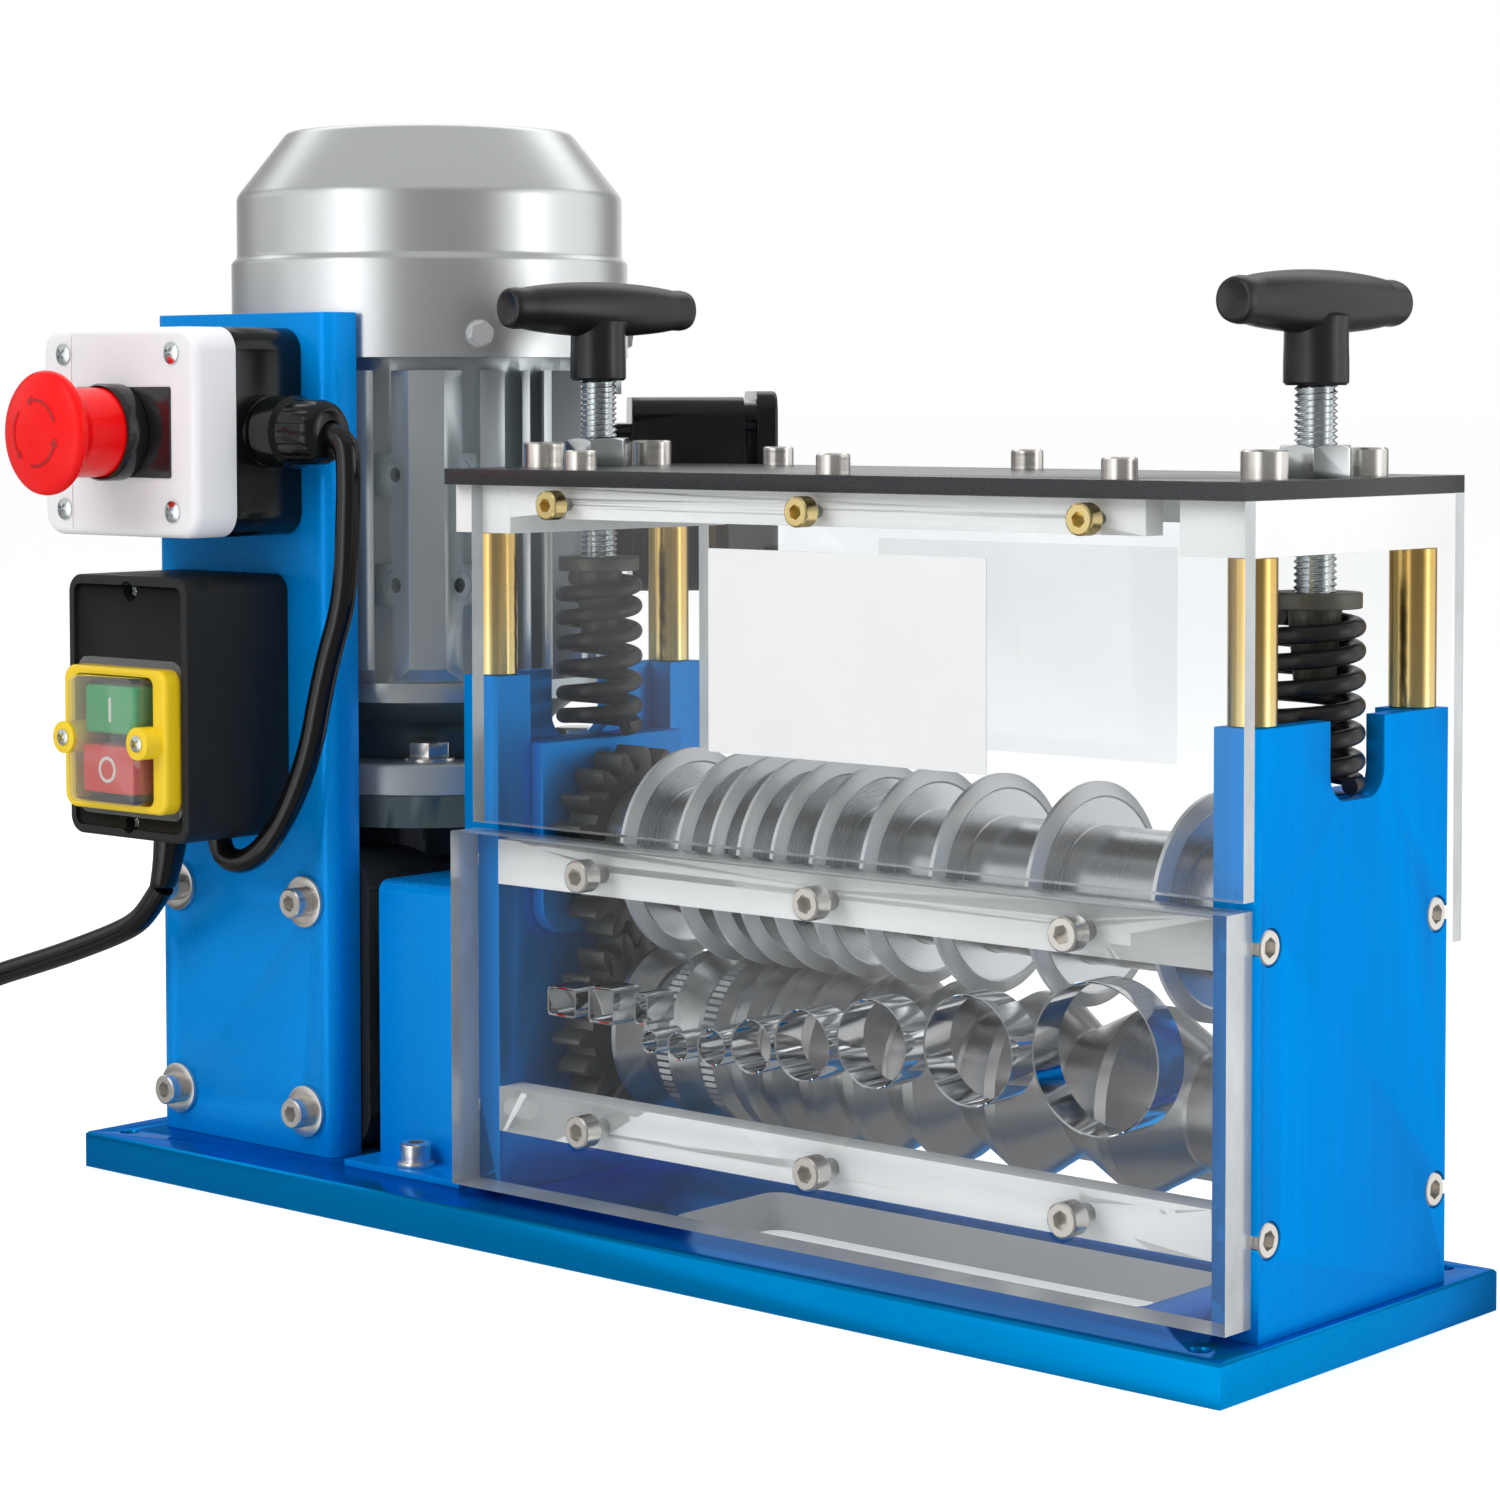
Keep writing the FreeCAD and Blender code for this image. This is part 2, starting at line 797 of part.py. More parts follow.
# Levels and stations that several pieces share
plate_bottom = s.base_thickness
plate_top = plate_bottom + s.plate_height
block_bottom = plate_top + s.post_length
deck_bottom = block_bottom + s.block_height
deck_top = deck_bottom + s.deck_thickness
head_right = s.head_left + s.head_length
left_inner = s.head_left + s.plate_thickness
right_inner = head_right - s.plate_thickness
plate_front = s.plate_width / -2
pocket_bottom = plate_bottom + s.pocket_floor
bearing_block_top = pocket_bottom + s.bearing_block_height
gear_distance = s.gear_module * s.gear_teeth
cutter_axis_z = s.roller_axis_z + gear_distance
left_screw_x = s.head_left + s.screw_inset
right_screw_x = head_right - s.screw_inset
upper_bar_z = plate_bottom + s.upper_bar_centre
lower_bar_z = plate_bottom + s.lower_bar_centre
bar_axis_y = plate_front + s.cross_bar_width / 2
panel_front = plate_front - s.panel_thickness
guard_bar_left = s.head_left + s.block_length
guard_inner_y = s.block_width / -2
guard_front = guard_inner_y - s.guard_thickness
bracket_back = s.bracket_front + s.bracket_sheet
gearbox_front = s.bracket_front + s.bracket_depth + s.bracket_gap
foot_plate_thickness = gearbox_front - bracket_back
gear_cover_screw_y = s.gear_cover_front - s.gear_cover_screw_inset
input_flange_top = s.flange_bottom
running_screw = s.screw_diameter + 2 * s.running_clearance
running_journal = s.journal_diameter + 2 * s.running_clearance

FLAT_GUIDES = [
    (s.flat_guide_1_x, s.flat_guide_1_z, s.flat_guide_1_width, s.flat_guide_1_height),
    (s.flat_guide_2_x, s.flat_guide_2_z, s.flat_guide_2_width, s.flat_guide_2_height),
    (s.flat_guide_3_x, s.flat_guide_3_z, s.flat_guide_3_width, s.flat_guide_3_height),
]
ROUND_GUIDES = [
    (s.round_guide_1_x, s.round_guide_1_z, s.round_guide_1_diameter),
    (s.round_guide_2_x, s.round_guide_2_z, s.round_guide_2_diameter),
    (s.round_guide_3_x, s.round_guide_3_z, s.round_guide_3_diameter),
    (s.round_guide_4_x, s.round_guide_4_z, s.round_guide_4_diameter),
    (s.round_guide_5_x, s.round_guide_5_z, s.round_guide_5_diameter),
    (s.round_guide_6_x, s.round_guide_6_z, s.round_guide_6_diameter),
    (s.round_guide_7_x, s.round_guide_7_z, s.round_guide_7_diameter),
    (s.round_guide_8_x, s.round_guide_8_z, s.round_guide_8_diameter),
]
# One cutter disc stands over the first flat guide, one between the other two, one behind each round guide.
DISC_PLACES = [s.flat_guide_1_x, s.second_disc_x] + [guide[0] for guide in ROUND_GUIDES]
BAR_ENDS = [(y, z) for y in (bar_axis_y, -bar_axis_y) for z in (upper_bar_z, lower_bar_z)]
PANEL_SCREWS = [
    (s.panel_screw_x + s.panel_screw_pitch * i, z) for i in range(3) for z in (upper_bar_z, lower_bar_z)
]
DECK_SCREWS = [(x, y) for x in (left_screw_x, right_screw_x) for y in (-s.deck_screw_y, s.deck_screw_y)]
bar_screw_y = s.guard_bar_width / 2 + guard_inner_y
BAR_SCREWS = [
    (guard_bar_left + s.bar_screw_inset + s.bar_screw_pitch * i, y)
    for i in range(3)
    for y in (bar_screw_y, -bar_screw_y)
]
GUARD_SCREWS = [(s.guard_screw_x + s.guard_screw_pitch * i, s.guard_screw_z) for i in range(3)]
BRACKET_SCREWS = [
    (s.bracket_screw_x + s.bracket_screw_spacing_x * i, s.bracket_screw_z + s.bracket_screw_spacing_z * k)
    for i in (-0.5, 0.5)
    for k in (-0.5, 0.5)
]


def on_rim(edge, half_x, half_y):
    """Whether an edge lies on one of the four sides of a centred rectangle."""
    sides = [{"x": half_x}, {"x": -half_x}, {"y": half_y}, {"y": -half_y}]
    return any(lies(edge, **side) for side in sides)


def make_base_plate():
    piece = Piece("base_plate")
    piece.pad(piece.sketch("XY").centred(0, 0, s.base_length, s.base_width), s.base_thickness)
    window = piece.sketch("XY")
    window.centred(s.window_x, s.window_y, s.window_length, s.window_width, s.window_corner)
    piece.cut(window, s.base_thickness)
    holes = piece.sketch("XY")
    hole_x, hole_y = s.base_length / 2 - s.base_hole_inset_x, s.base_width / 2 - s.base_hole_inset_y
    for i in (-1, 1):
        for k in (-1, 1):
            holes.circle(hole_x * i, hole_y * k, s.base_hole_diameter)
    piece.cut(holes, s.base_thickness)
    tapped = piece.sketch("XY", s.base_thickness)
    tapped.circle(s.gear_cover_screw_x, gear_cover_screw_y, s.screw_m6)
    piece.cut(tapped, s.frame_screw_bite, -1)
    half_x, half_y = s.base_length / 2, s.base_width / 2
    piece.chamfer(s.base_chamfer, lambda e: lies(e, z=s.base_thickness) and on_rim(e, half_x, half_y))


def open_slot(outline, half, bottom, top, r):
    """A slot that is open at the top and has round corners below."""
    corners = [(-half + r, bottom), (half - r, bottom), (half, bottom + r)]
    corners += [(half, top), (-half, top), (-half, bottom + r)]
    return outline.path(corners, {1: r, 5: r})


def make_side_plate(label, outer, inward, shaft_passes):
    """A side plate, pocketed from the inside for its bearing block and notched at the top."""
    piece = Piece(label)
    blank = piece.sketch("YZ", outer)
    blank.rectangle(plate_front, plate_bottom, -plate_front, plate_top)
    piece.pad(blank, s.plate_thickness, inward)
    floor = outer + (s.plate_thickness - s.pocket_depth) * inward
    above = plate_top + 1
    half = s.bearing_block_width / 2 + s.slide_clearance
    pocket = open_slot(piece.sketch("YZ", floor), half, pocket_bottom, above, s.pocket_corner)
    piece.cut(pocket, s.pocket_depth, inward)
    notch = piece.sketch("YZ", outer)
    open_slot(notch, s.notch_width / 2, plate_top - s.notch_depth, above, s.notch_corner)
    piece.cut(notch, s.plate_thickness, inward)
    seat = piece.sketch("YZ", floor).circle(0, s.roller_axis_z, s.bearing_diameter)
    piece.cut(seat, s.pocket_depth, inward)
    if shaft_passes:
        passage = piece.sketch("YZ", outer).circle(0, s.roller_axis_z, s.shaft_passage)
        piece.cut(passage, s.plate_thickness, inward)
    holes, counterbores = piece.sketch("YZ", outer), piece.sketch("YZ", outer)
    for y, z in BAR_ENDS:
        holes.circle(y, z, s.screw_m6)
        counterbores.circle(y, z, s.side_counterbore)
    piece.cut(holes, s.plate_thickness, inward)
    piece.cut(counterbores, s.side_counterbore_depth, inward)


def make_top_posts():
    piece = Piece("top_posts")
    sketch = piece.sketch("XY", plate_top)
    for x in (s.head_left + s.post_inset, head_right - s.post_inset):
        for y in (-s.post_y, s.post_y):
            sketch.circle(x, y, s.post_diameter)
    piece.pad(sketch, s.post_length)


def make_cross_blocks():
    piece = Piece("cross_blocks")
    sketch = piece.sketch("XY", block_bottom)
    for x in (s.head_left, head_right - s.block_length):
        sketch.rectangle(x, guard_inner_y, x + s.block_length, -guard_inner_y)
    piece.pad(sketch, s.block_height)
    holes = piece.sketch("XY", block_bottom)
    for x in (left_screw_x, right_screw_x):
        holes.circle(x, 0, running_screw)
    piece.cut(holes, s.block_height)
    tapped = piece.sketch("XY", deck_bottom)
    for x, y in DECK_SCREWS:
        tapped.circle(x, y, s.screw_m8)
    piece.cut(tapped, s.block_screw_bite, -1)


def make_top_plate():
    piece = Piece("top_plate")
    sketch = piece.sketch("XY", deck_bottom)
    sketch.rectangle(s.head_left, s.deck_width / -2, head_right, s.deck_width / 2)
    piece.pad(sketch, s.deck_thickness)
    holes = piece.sketch("XY", deck_bottom)
    for x in (left_screw_x, right_screw_x):
        holes.circle(x, 0, running_screw)
    for x, y in DECK_SCREWS:
        holes.circle(x, y, s.screw_m8)
    for x, y in BAR_SCREWS:
        holes.circle(x, y, s.screw_m6)
    piece.cut(holes, s.deck_thickness)


def make_guard_bars():
    piece = Piece("guard_bars")
    bottom = deck_bottom - s.guard_bar_height
    right = guard_bar_left + s.guard_bar_length
    bars = piece.sketch("XY", bottom)
    bars.rectangle(guard_bar_left, guard_inner_y, right, guard_inner_y + s.guard_bar_width)
    bars.rectangle(guard_bar_left, -guard_inner_y - s.guard_bar_width, right, -guard_inner_y)
    piece.pad(bars, s.guard_bar_height)
    holes = piece.sketch("XY", deck_bottom)
    for x, y in BAR_SCREWS:
        holes.circle(x, y, s.screw_m6)
    piece.cut(holes, s.bar_screw_bite, -1)
    for y, toward in ((guard_inner_y, 1), (-guard_inner_y, -1)):
        holes = piece.sketch("XZ", y)
        for x, z in GUARD_SCREWS:
            holes.circle(x, z, s.screw_m4)
        piece.cut(holes, s.guard_screw_bite, toward)


def make_cross_bars():
    piece = Piece("cross_bars")
    bars = piece.sketch("YZ", left_inner)
    for y, z in BAR_ENDS:
        bars.centred(y, z, s.cross_bar_width, s.cross_bar_height)
    piece.pad(bars, right_inner - left_inner)
    for x, toward in ((left_inner, 1), (right_inner, -1)):
        holes = piece.sketch("YZ", x)
        for y, z in BAR_ENDS:
            holes.circle(y, z, s.screw_m6)
        piece.cut(holes, s.frame_screw_bite, toward)
    holes = piece.sketch("XZ", plate_front)
    for x, z in PANEL_SCREWS:
        holes.circle(x, z, s.screw_m6)
    piece.cut(holes, s.frame_screw_bite)


def make_upper_guards():
    piece = Piece("upper_guards")
    left = s.head_left + s.guard_left_inset
    sides = ((guard_inner_y, -1, s.front_guard_bottom), (-guard_inner_y, 1, s.rear_guard_bottom))
    for y, outward, bottom in sides:
        sheet = piece.sketch("XZ", y).rectangle(left, bottom, head_right, deck_bottom)
        piece.pad(sheet, s.guard_thickness, outward)
    for y, outward, bottom in sides:
        holes = piece.sketch("XZ", y)
        for x, z in GUARD_SCREWS:
            holes.circle(x, z, s.screw_m4)
        piece.cut(holes, s.guard_thickness, outward)


def draw_flat_guides(sketch, shrink):
    """The three flat guides' outlines, each side moved in by shrink."""
    for x, z, width, height in FLAT_GUIDES:
        r = s.flat_guide_corner - shrink
        sketch.centred(x, z, width - 2 * shrink, height - 2 * shrink, r)


def draw_round_guides(sketch, shrink):
    for x, z, diameter in ROUND_GUIDES:
        sketch.circle(x, z, diameter - 2 * shrink)


def make_front_panel():
    piece = Piece("front_panel")
    blank = piece.sketch("XZ", plate_front)
    left, right = s.head_left + s.panel_left_inset, head_right - s.panel_right_inset
    blank.rectangle(left, s.panel_bottom, right, s.panel_bottom + s.panel_height)
    piece.pad(blank, s.panel_thickness, -1)
    slots = piece.sketch("XZ", plate_front)
    draw_flat_guides(slots, as_size(0))
    piece.cut(slots, s.panel_thickness, -1)
    bores = piece.sketch("XZ", plate_front)
    draw_round_guides(bores, as_size(0))
    piece.cut(bores, s.panel_thickness, -1)
    holes, counterbores = piece.sketch("XZ", panel_front), piece.sketch("XZ", panel_front)
    for x, z in PANEL_SCREWS:
        holes.circle(x, z, s.screw_m6)
        counterbores.circle(x, z, s.panel_counterbore)
    piece.cut(holes, s.panel_thickness)
    piece.cut(counterbores, M6.height)


def make_wire_guides():
    piece = Piece("wire_guides")
    for draw in (draw_flat_guides, draw_round_guides):
        rings = piece.sketch("XZ", panel_front)
        draw(rings, as_size(0))
        draw(rings, s.guide_wall)
        piece.pad(rings, s.panel_thickness)


def make_screws():
    top = Piece("top_screws")
    top.screws("XY", deck_top, -1, DECK_SCREWS, M8, s.deck_thickness + s.block_screw_bite)
    top.screws("XY", deck_top, -1, BAR_SCREWS, M6, s.deck_thickness + s.bar_screw_bite)
    guard = Piece("guard_screws")
    for y, toward in ((guard_front, 1), (-guard_front, -1)):
        guard.screws("XZ", y, toward, GUARD_SCREWS, GUARD, s.guard_thickness + s.guard_screw_bite)
    frame = Piece("frame_screws")
    grip = s.panel_thickness - M6.height + s.frame_screw_bite
    frame.screws("XZ", panel_front + M6.height, 1, PANEL_SCREWS, M6, grip)
    grip = s.plate_thickness - s.side_counterbore_depth + s.frame_screw_bite
    for outer, inward in ((s.head_left, 1), (head_right, -1)):
        seat = outer + s.side_counterbore_depth * inward
        frame.screws("YZ", seat, inward, BAR_ENDS, M6, grip)
    foot = Piece("foot_screws")
    washers = foot.sketch("XZ", s.bracket_front)
    for x, z in BRACKET_SCREWS:
        washers.circle(x, z, s.washer_diameter)
    foot.pad(washers, s.washer_thickness, -1)
    grip = s.washer_thickness + s.bracket_sheet + foot_plate_thickness
    foot.screws("XZ", s.bracket_front - s.washer_thickness, 1, BRACKET_SCREWS, M6, grip)
    foot_top = s.base_thickness + s.gear_cover_sheet
    washer = foot.sketch("XY", foot_top)
    washer.circle(s.gear_cover_screw_x, gear_cover_screw_y, s.small_washer_diameter)
    foot.pad(washer, s.washer_thickness)
    place = [(s.gear_cover_screw_x, gear_cover_screw_y)]
    grip = s.washer_thickness + s.gear_cover_sheet + s.frame_screw_bite
    foot.screws("XY", foot_top + s.washer_thickness, -1, place, M6, grip)


def make_bearing_blocks():
    piece = Piece("bearing_blocks")
    half, r = s.bearing_block_width / 2, s.pocket_corner + s.slide_clearance
    gap = s.plate_thickness - s.pocket_depth + s.slide_clearance
    thickness = s.pocket_depth - s.slide_clearance + s.bearing_block_proud
    for x, inward in ((s.head_left + gap, 1), (head_right - gap, -1)):
        outline = piece.sketch("YZ", x)
        corners = [(-half + r, pocket_bottom), (half - r, pocket_bottom), (half, pocket_bottom + r)]
        corners += [(half, bearing_block_top), (-half, bearing_block_top), (-half, pocket_bottom + r)]
        outline.path(corners, {1: r, 5: r})
        outline.circle(0, cutter_axis_z, s.upper_bearing_diameter)
        piece.pad(outline, thickness, inward)


def draw_bearing(outline, x, width, bore, diameter):
    """Half the section of a shielded bearing, along the shaft's axis."""
    inner, outer = bore / 2, diameter / 2
    low, high = inner + (outer - inner) / 4, outer - (outer - inner) / 4
    depth = s.bearing_shield_depth
    right = x + width
    corners = [(x, inner), (x, low), (x + depth, low), (x + depth, high), (x, high), (x, outer)]
    corners += [(right, outer), (right, high), (right - depth, high), (right - depth, low)]
    corners += [(right, low), (right, inner)]
    outline.path(corners)


def make_bearings():
    upper = Piece("upper_bearings")
    outline = upper.sketch("XZ")
    proud, width = s.bearing_block_proud, s.upper_bearing_width
    for x in (left_inner + proud - width, right_inner - proud):
        draw_bearing(outline, x, width, running_journal, s.upper_bearing_diameter)
    upper.revolve(outline, "H_Axis")
    upper.place(z=cutter_axis_z)
    lower = Piece("lower_bearings")
    outline = lower.sketch("XZ")
    for x in (left_inner - s.pocket_depth, right_inner):
        draw_bearing(outline, x, s.pocket_depth, running_journal, s.bearing_diameter)
    lower.revolve(outline, "H_Axis")
    lower.place(z=s.roller_axis_z)


def make_cutter_shaft():
    shaft = Piece("upper_shaft")
    journal, body, collar = s.journal_diameter / 2, s.shaft_diameter / 2, s.shaft_collar_diameter / 2
    collar_right = s.stack_right + s.shaft_collar_width
    corners = [(s.shaft_left, 0), (s.shaft_left, journal), (s.gear_left, journal), (s.gear_left, body)]
    corners += [(s.stack_right, body), (s.stack_right, collar), (collar_right, collar)]
    corners += [(collar_right, journal), (s.shaft_right, journal), (s.shaft_right, 0)]
    shaft.revolve(shaft.sketch("XZ").path(corners), "H_Axis")
    shaft.place(z=cutter_axis_z)

    discs = Piece("cutter_discs")
    outline = discs.sketch("XZ")
    rim, flank = s.disc_diameter / 2, s.disc_diameter / 2 - s.disc_bevel
    for x in DISC_PLACES:
        left, right = x - s.disc_thickness / 2, x + s.disc_thickness / 2
        corners = [(left, body), (right, body), (right, flank), (x + s.disc_tip / 2, rim)]
        corners += [(x - s.disc_tip / 2, rim), (left, flank)]
        outline.path(corners)
    discs.revolve(outline, "H_Axis")
    discs.place(z=cutter_axis_z)

    spacers = Piece("disc_spacers")
    outline = spacers.sketch("XZ")
    starts = [s.gear_left + s.gear_width] + [x + s.disc_thickness / 2 for x in DISC_PLACES]
    stops = [x - s.disc_thickness / 2 for x in DISC_PLACES] + [s.stack_right]
    for left, right in zip(starts, stops):
        outline.rectangle(left, body, right, s.spacer_diameter / 2)
    spacers.revolve(outline, "H_Axis")
    spacers.place(z=cutter_axis_z)


def make_gear(label, axis_z, bore, hub):
    """A spur gear whose tooth flanks are arcs that follow the involute."""
    piece = Piece(label)
    pitch_radius = s.gear_module * s.gear_teeth / 2
    tip_radius = pitch_radius + s.gear_module
    root_radius = pitch_radius - 1.25 * s.gear_module
    base_radius = pitch_radius * cosine(s.pressure_angle)
    flank_radius = pitch_radius * sine(s.pressure_angle)
    backlash_angle = s.gear_backlash / pitch_radius * (90 / math.pi)
    lean = 90 / s.gear_teeth - backlash_angle - s.pressure_angle

    def flank_point(radius):
        """The sideways and outward place of the flank at a radius, on the tooth that points up."""
        top = base_radius * base_radius + radius * radius - flank_radius * flank_radius
        angle = lean + arc_cosine(top / (2 * base_radius * radius))
        return radius * sine(angle), radius * cosine(angle)

    disc = piece.sketch("YZ", s.gear_left)
    disc.circle(0, 0, 2 * root_radius)
    disc.circle(0, 0, bore)
    piece.pad(disc, s.gear_width)
    low, high = flank_point(root_radius - s.gear_root_overlap), flank_point(tip_radius)
    corners = [low, high, (-high[0], high[1]), (-low[0], low[1])]
    outline = piece.sketch("YZ", s.gear_left).path(corners, {0: flank_radius, 2: flank_radius})
    tooth = piece.pad(outline, s.gear_width)
    piece.ring("X", s.gear_teeth, [tooth])
    if hub:
        collar = piece.sketch("YZ", s.gear_left)
        collar.circle(0, 0, s.gear_hub_diameter)
        collar.circle(0, 0, bore)
        piece.pad(collar, s.gear_hub_length, -1)
    piece.place(z=axis_z)


def make_feed_roller():
    """The lower shaft with its ridges and grooves; each groove lies under a cutter disc."""
    piece = Piece("feed_roller")
    journal, collar, ridge = s.journal_diameter / 2, s.roller_collar_diameter / 2, s.ridge_diameter / 2
    gear_right = s.gear_left + s.gear_width
    corners = [(s.feed_shaft_left, 0), (s.feed_shaft_left, journal), (gear_right, journal)]
    corners += [(gear_right, collar), (s.roller_left, collar), (s.roller_left, ridge)]
    between = [(a + b) / 2 for a, b in zip(DISC_PLACES, DISC_PLACES[1:])]
    half = s.ridge_flat / 2
    lefts = [s.roller_left + half] + [x + half for x in between]
    rights = [x - half for x in between] + [s.roller_right - half]
    for left, x, right in zip(lefts, DISC_PLACES, rights):
        depth = (right - left) * s.groove_slope + s.groove_start
        corners += [(left, ridge), (x - s.groove_floor / 2, ridge - depth)]
        corners += [(x + s.groove_floor / 2, ridge - depth), (right, ridge)]
    corners += [(s.roller_right, ridge), (s.roller_right, journal), (s.shaft_right, journal)]
    corners += [(s.shaft_right, 0)]
    piece.revolve(piece.sketch("XZ").path(corners), "H_Axis")
    piece.place(z=s.roller_axis_z)


def make_pressure_screw(side, x, seat_top, turn):
    """Spring seat, T-screw and T-handle of one side, modelled about the screw's axis."""
    seat = Piece(side + "_spring_seat")
    pilot, tip = s.seat_pilot_diameter / 2, s.seat_pilot_tip_diameter / 2
    outer, recess = s.seat_diameter / 2, running_screw / 2
    below = -s.seat_thickness - s.seat_pilot_length
    corners = [(0, below), (tip, below), (pilot, -s.seat_thickness), (outer, -s.seat_thickness)]
    corners += [(outer, 0), (recess, 0), (recess, -s.seat_recess), (0, -s.seat_recess)]
    seat.revolve(seat.sketch("XZ").path(corners))
    seat.place(x=x, z=seat_top)

    screw = Piece(side + "_t_screw")
    bottom, radius, edge = s.running_clearance - s.seat_recess, s.screw_diameter / 2, s.screw_chamfer
    top = s.screw_above_seat
    corners = [(0, bottom), (radius - edge, bottom), (radius, bottom + edge), (radius, top), (0, top)]
    screw.revolve(screw.sketch("XZ").path(corners))
    screw.place(x=x, z=seat_top)

    handle = Piece(side + "_t_handle")
    half, end, middle = s.handle_length / 2, s.handle_end_diameter / 2, s.handle_diameter / 2
    edge, swell = s.handle_edge, s.handle_diameter / 2 - s.handle_end_diameter / 2
    reach = half - edge
    barrel = (reach * reach + swell * swell) / (2 * swell)
    corners = [(s.handle_dish - half, 0), (-half, end - 2 * edge), (-half, end - edge), (-reach, end)]
    corners += [(reach, end), (half, end - edge), (half, end - 2 * edge), (half - s.handle_dish, 0)]
    handle.revolve(handle.sketch("XZ").path(corners, {3: -barrel}), "H_Axis")
    drop = s.handle_axis_above_seat - s.hub_above_seat
    handle.pad(handle.sketch("XY", -drop).circle(0, 0, s.hub_diameter), drop)
    handle.chamfer(s.hub_chamfer, lambda e: lies(e, z=-drop) and is_circle(e, s.hub_diameter))
    bore = handle.sketch("XY", -drop).circle(0, 0, s.screw_diameter)
    handle.cut(bore, s.screw_above_seat - s.hub_above_seat)
    handle.place(x=x, z=seat_top + s.handle_axis_above_seat, turn=turn)


def make_lock_nuts():
    piece = Piece("lock_nuts")
    outline = piece.sketch("XY").hexagon(as_size(0), as_size(0), s.nut_flats)
    outline.circle(0, 0, running_screw)
    piece.pad(outline, s.nut_height)
    cone = piece.sketch("XZ")
    near, far, rise = s.nut_flats / 2, s.nut_flats * 0.75, s.nut_flats / 4 * math.tan(math.radians(30))
    cone.path([(near, s.nut_height), (far, s.nut_height - rise), (far, s.nut_height)])
    piece.groove(cone)
    piece.row("X", right_screw_x - left_screw_x, 2)
    piece.place(x=left_screw_x, z=deck_top)


def make_fan_cover():
    piece = Piece("fan_cover")
    wall = s.cover_wall
    lower, upper, top = s.cover_diameter / 2, s.cover_upper_diameter / 2, s.cover_top_diameter / 2
    step = s.cover_step + s.cover_step_height
    corners = [(lower, s.cover_bottom), (lower, s.cover_step), (upper, step), (upper, s.cover_shoulder)]
    corners += [(top, s.cover_top), (0, s.cover_top), (0, s.cover_top - wall)]
    corners += [(top - wall * 0.6, s.cover_top - wall), (upper - wall, s.cover_shoulder - wall * 0.6)]
    corners += [(upper - wall, step), (lower - wall, s.cover_step), (lower - wall, s.cover_bottom)]
    piece.revolve(piece.sketch("XZ").path(corners))
    rims = ((s.cover_shoulder, s.cover_upper_diameter), (s.cover_top, s.cover_top_diameter))
    for z, diameter in rims:
        piece.fillet(s.cover_edge, lambda e: lies(e, z=z) and is_circle(e, diameter))
    slot = piece.sketch("XY", s.cover_top)
    slot.centred((s.grille_inner + s.grille_outer) / 2, as_size(0),
                 s.grille_outer - s.grille_inner, s.grille_slot_width)
    opening = piece.cut(slot, wall, -1)
    piece.ring("Z", s.grille_slots, [opening])
    piece.place(x=s.motor_x, y=s.motor_y)


def make_motor_fan():
    piece = Piece("motor_fan")
    hub, rim, plate = s.fan_hub_diameter / 2, s.fan_diameter / 2, s.fan_bottom + s.fan_plate_thickness
    top, shaft = s.fan_bottom + s.fan_height, s.fan_shaft_diameter / 2
    foot = s.housing_top - s.fan_shaft_depth
    corners = [(0, foot), (shaft, foot), (shaft, s.fan_bottom), (rim, s.fan_bottom), (rim, plate)]
    corners += [(hub, plate), (hub, top), (0, top)]
    piece.revolve(piece.sketch("XZ").path(corners))
    blade = piece.sketch("XY", s.fan_bottom)
    length, overlap = (s.fan_diameter - s.fan_hub_diameter) / 2, s.fan_blade_overlap
    middle = (hub - overlap + rim) / 2
    blade.centred(middle, as_size(0), length + overlap, s.fan_blade_thickness)
    blade = piece.pad(blade, s.fan_height)
    piece.ring("Z", s.fan_blades, [blade])
    piece.place(x=s.motor_x, y=s.motor_y)


def draw_fin(sketch, low, high, inner, radius):
    """A fin between two sideways places, from inner out to the circle that trims all fins."""
    outer = [root(radius * radius - y * y) for y in (low, high)]
    sketch.path([(inner, low), (outer[0], low), (outer[1], high), (inner, high)], {1: radius})


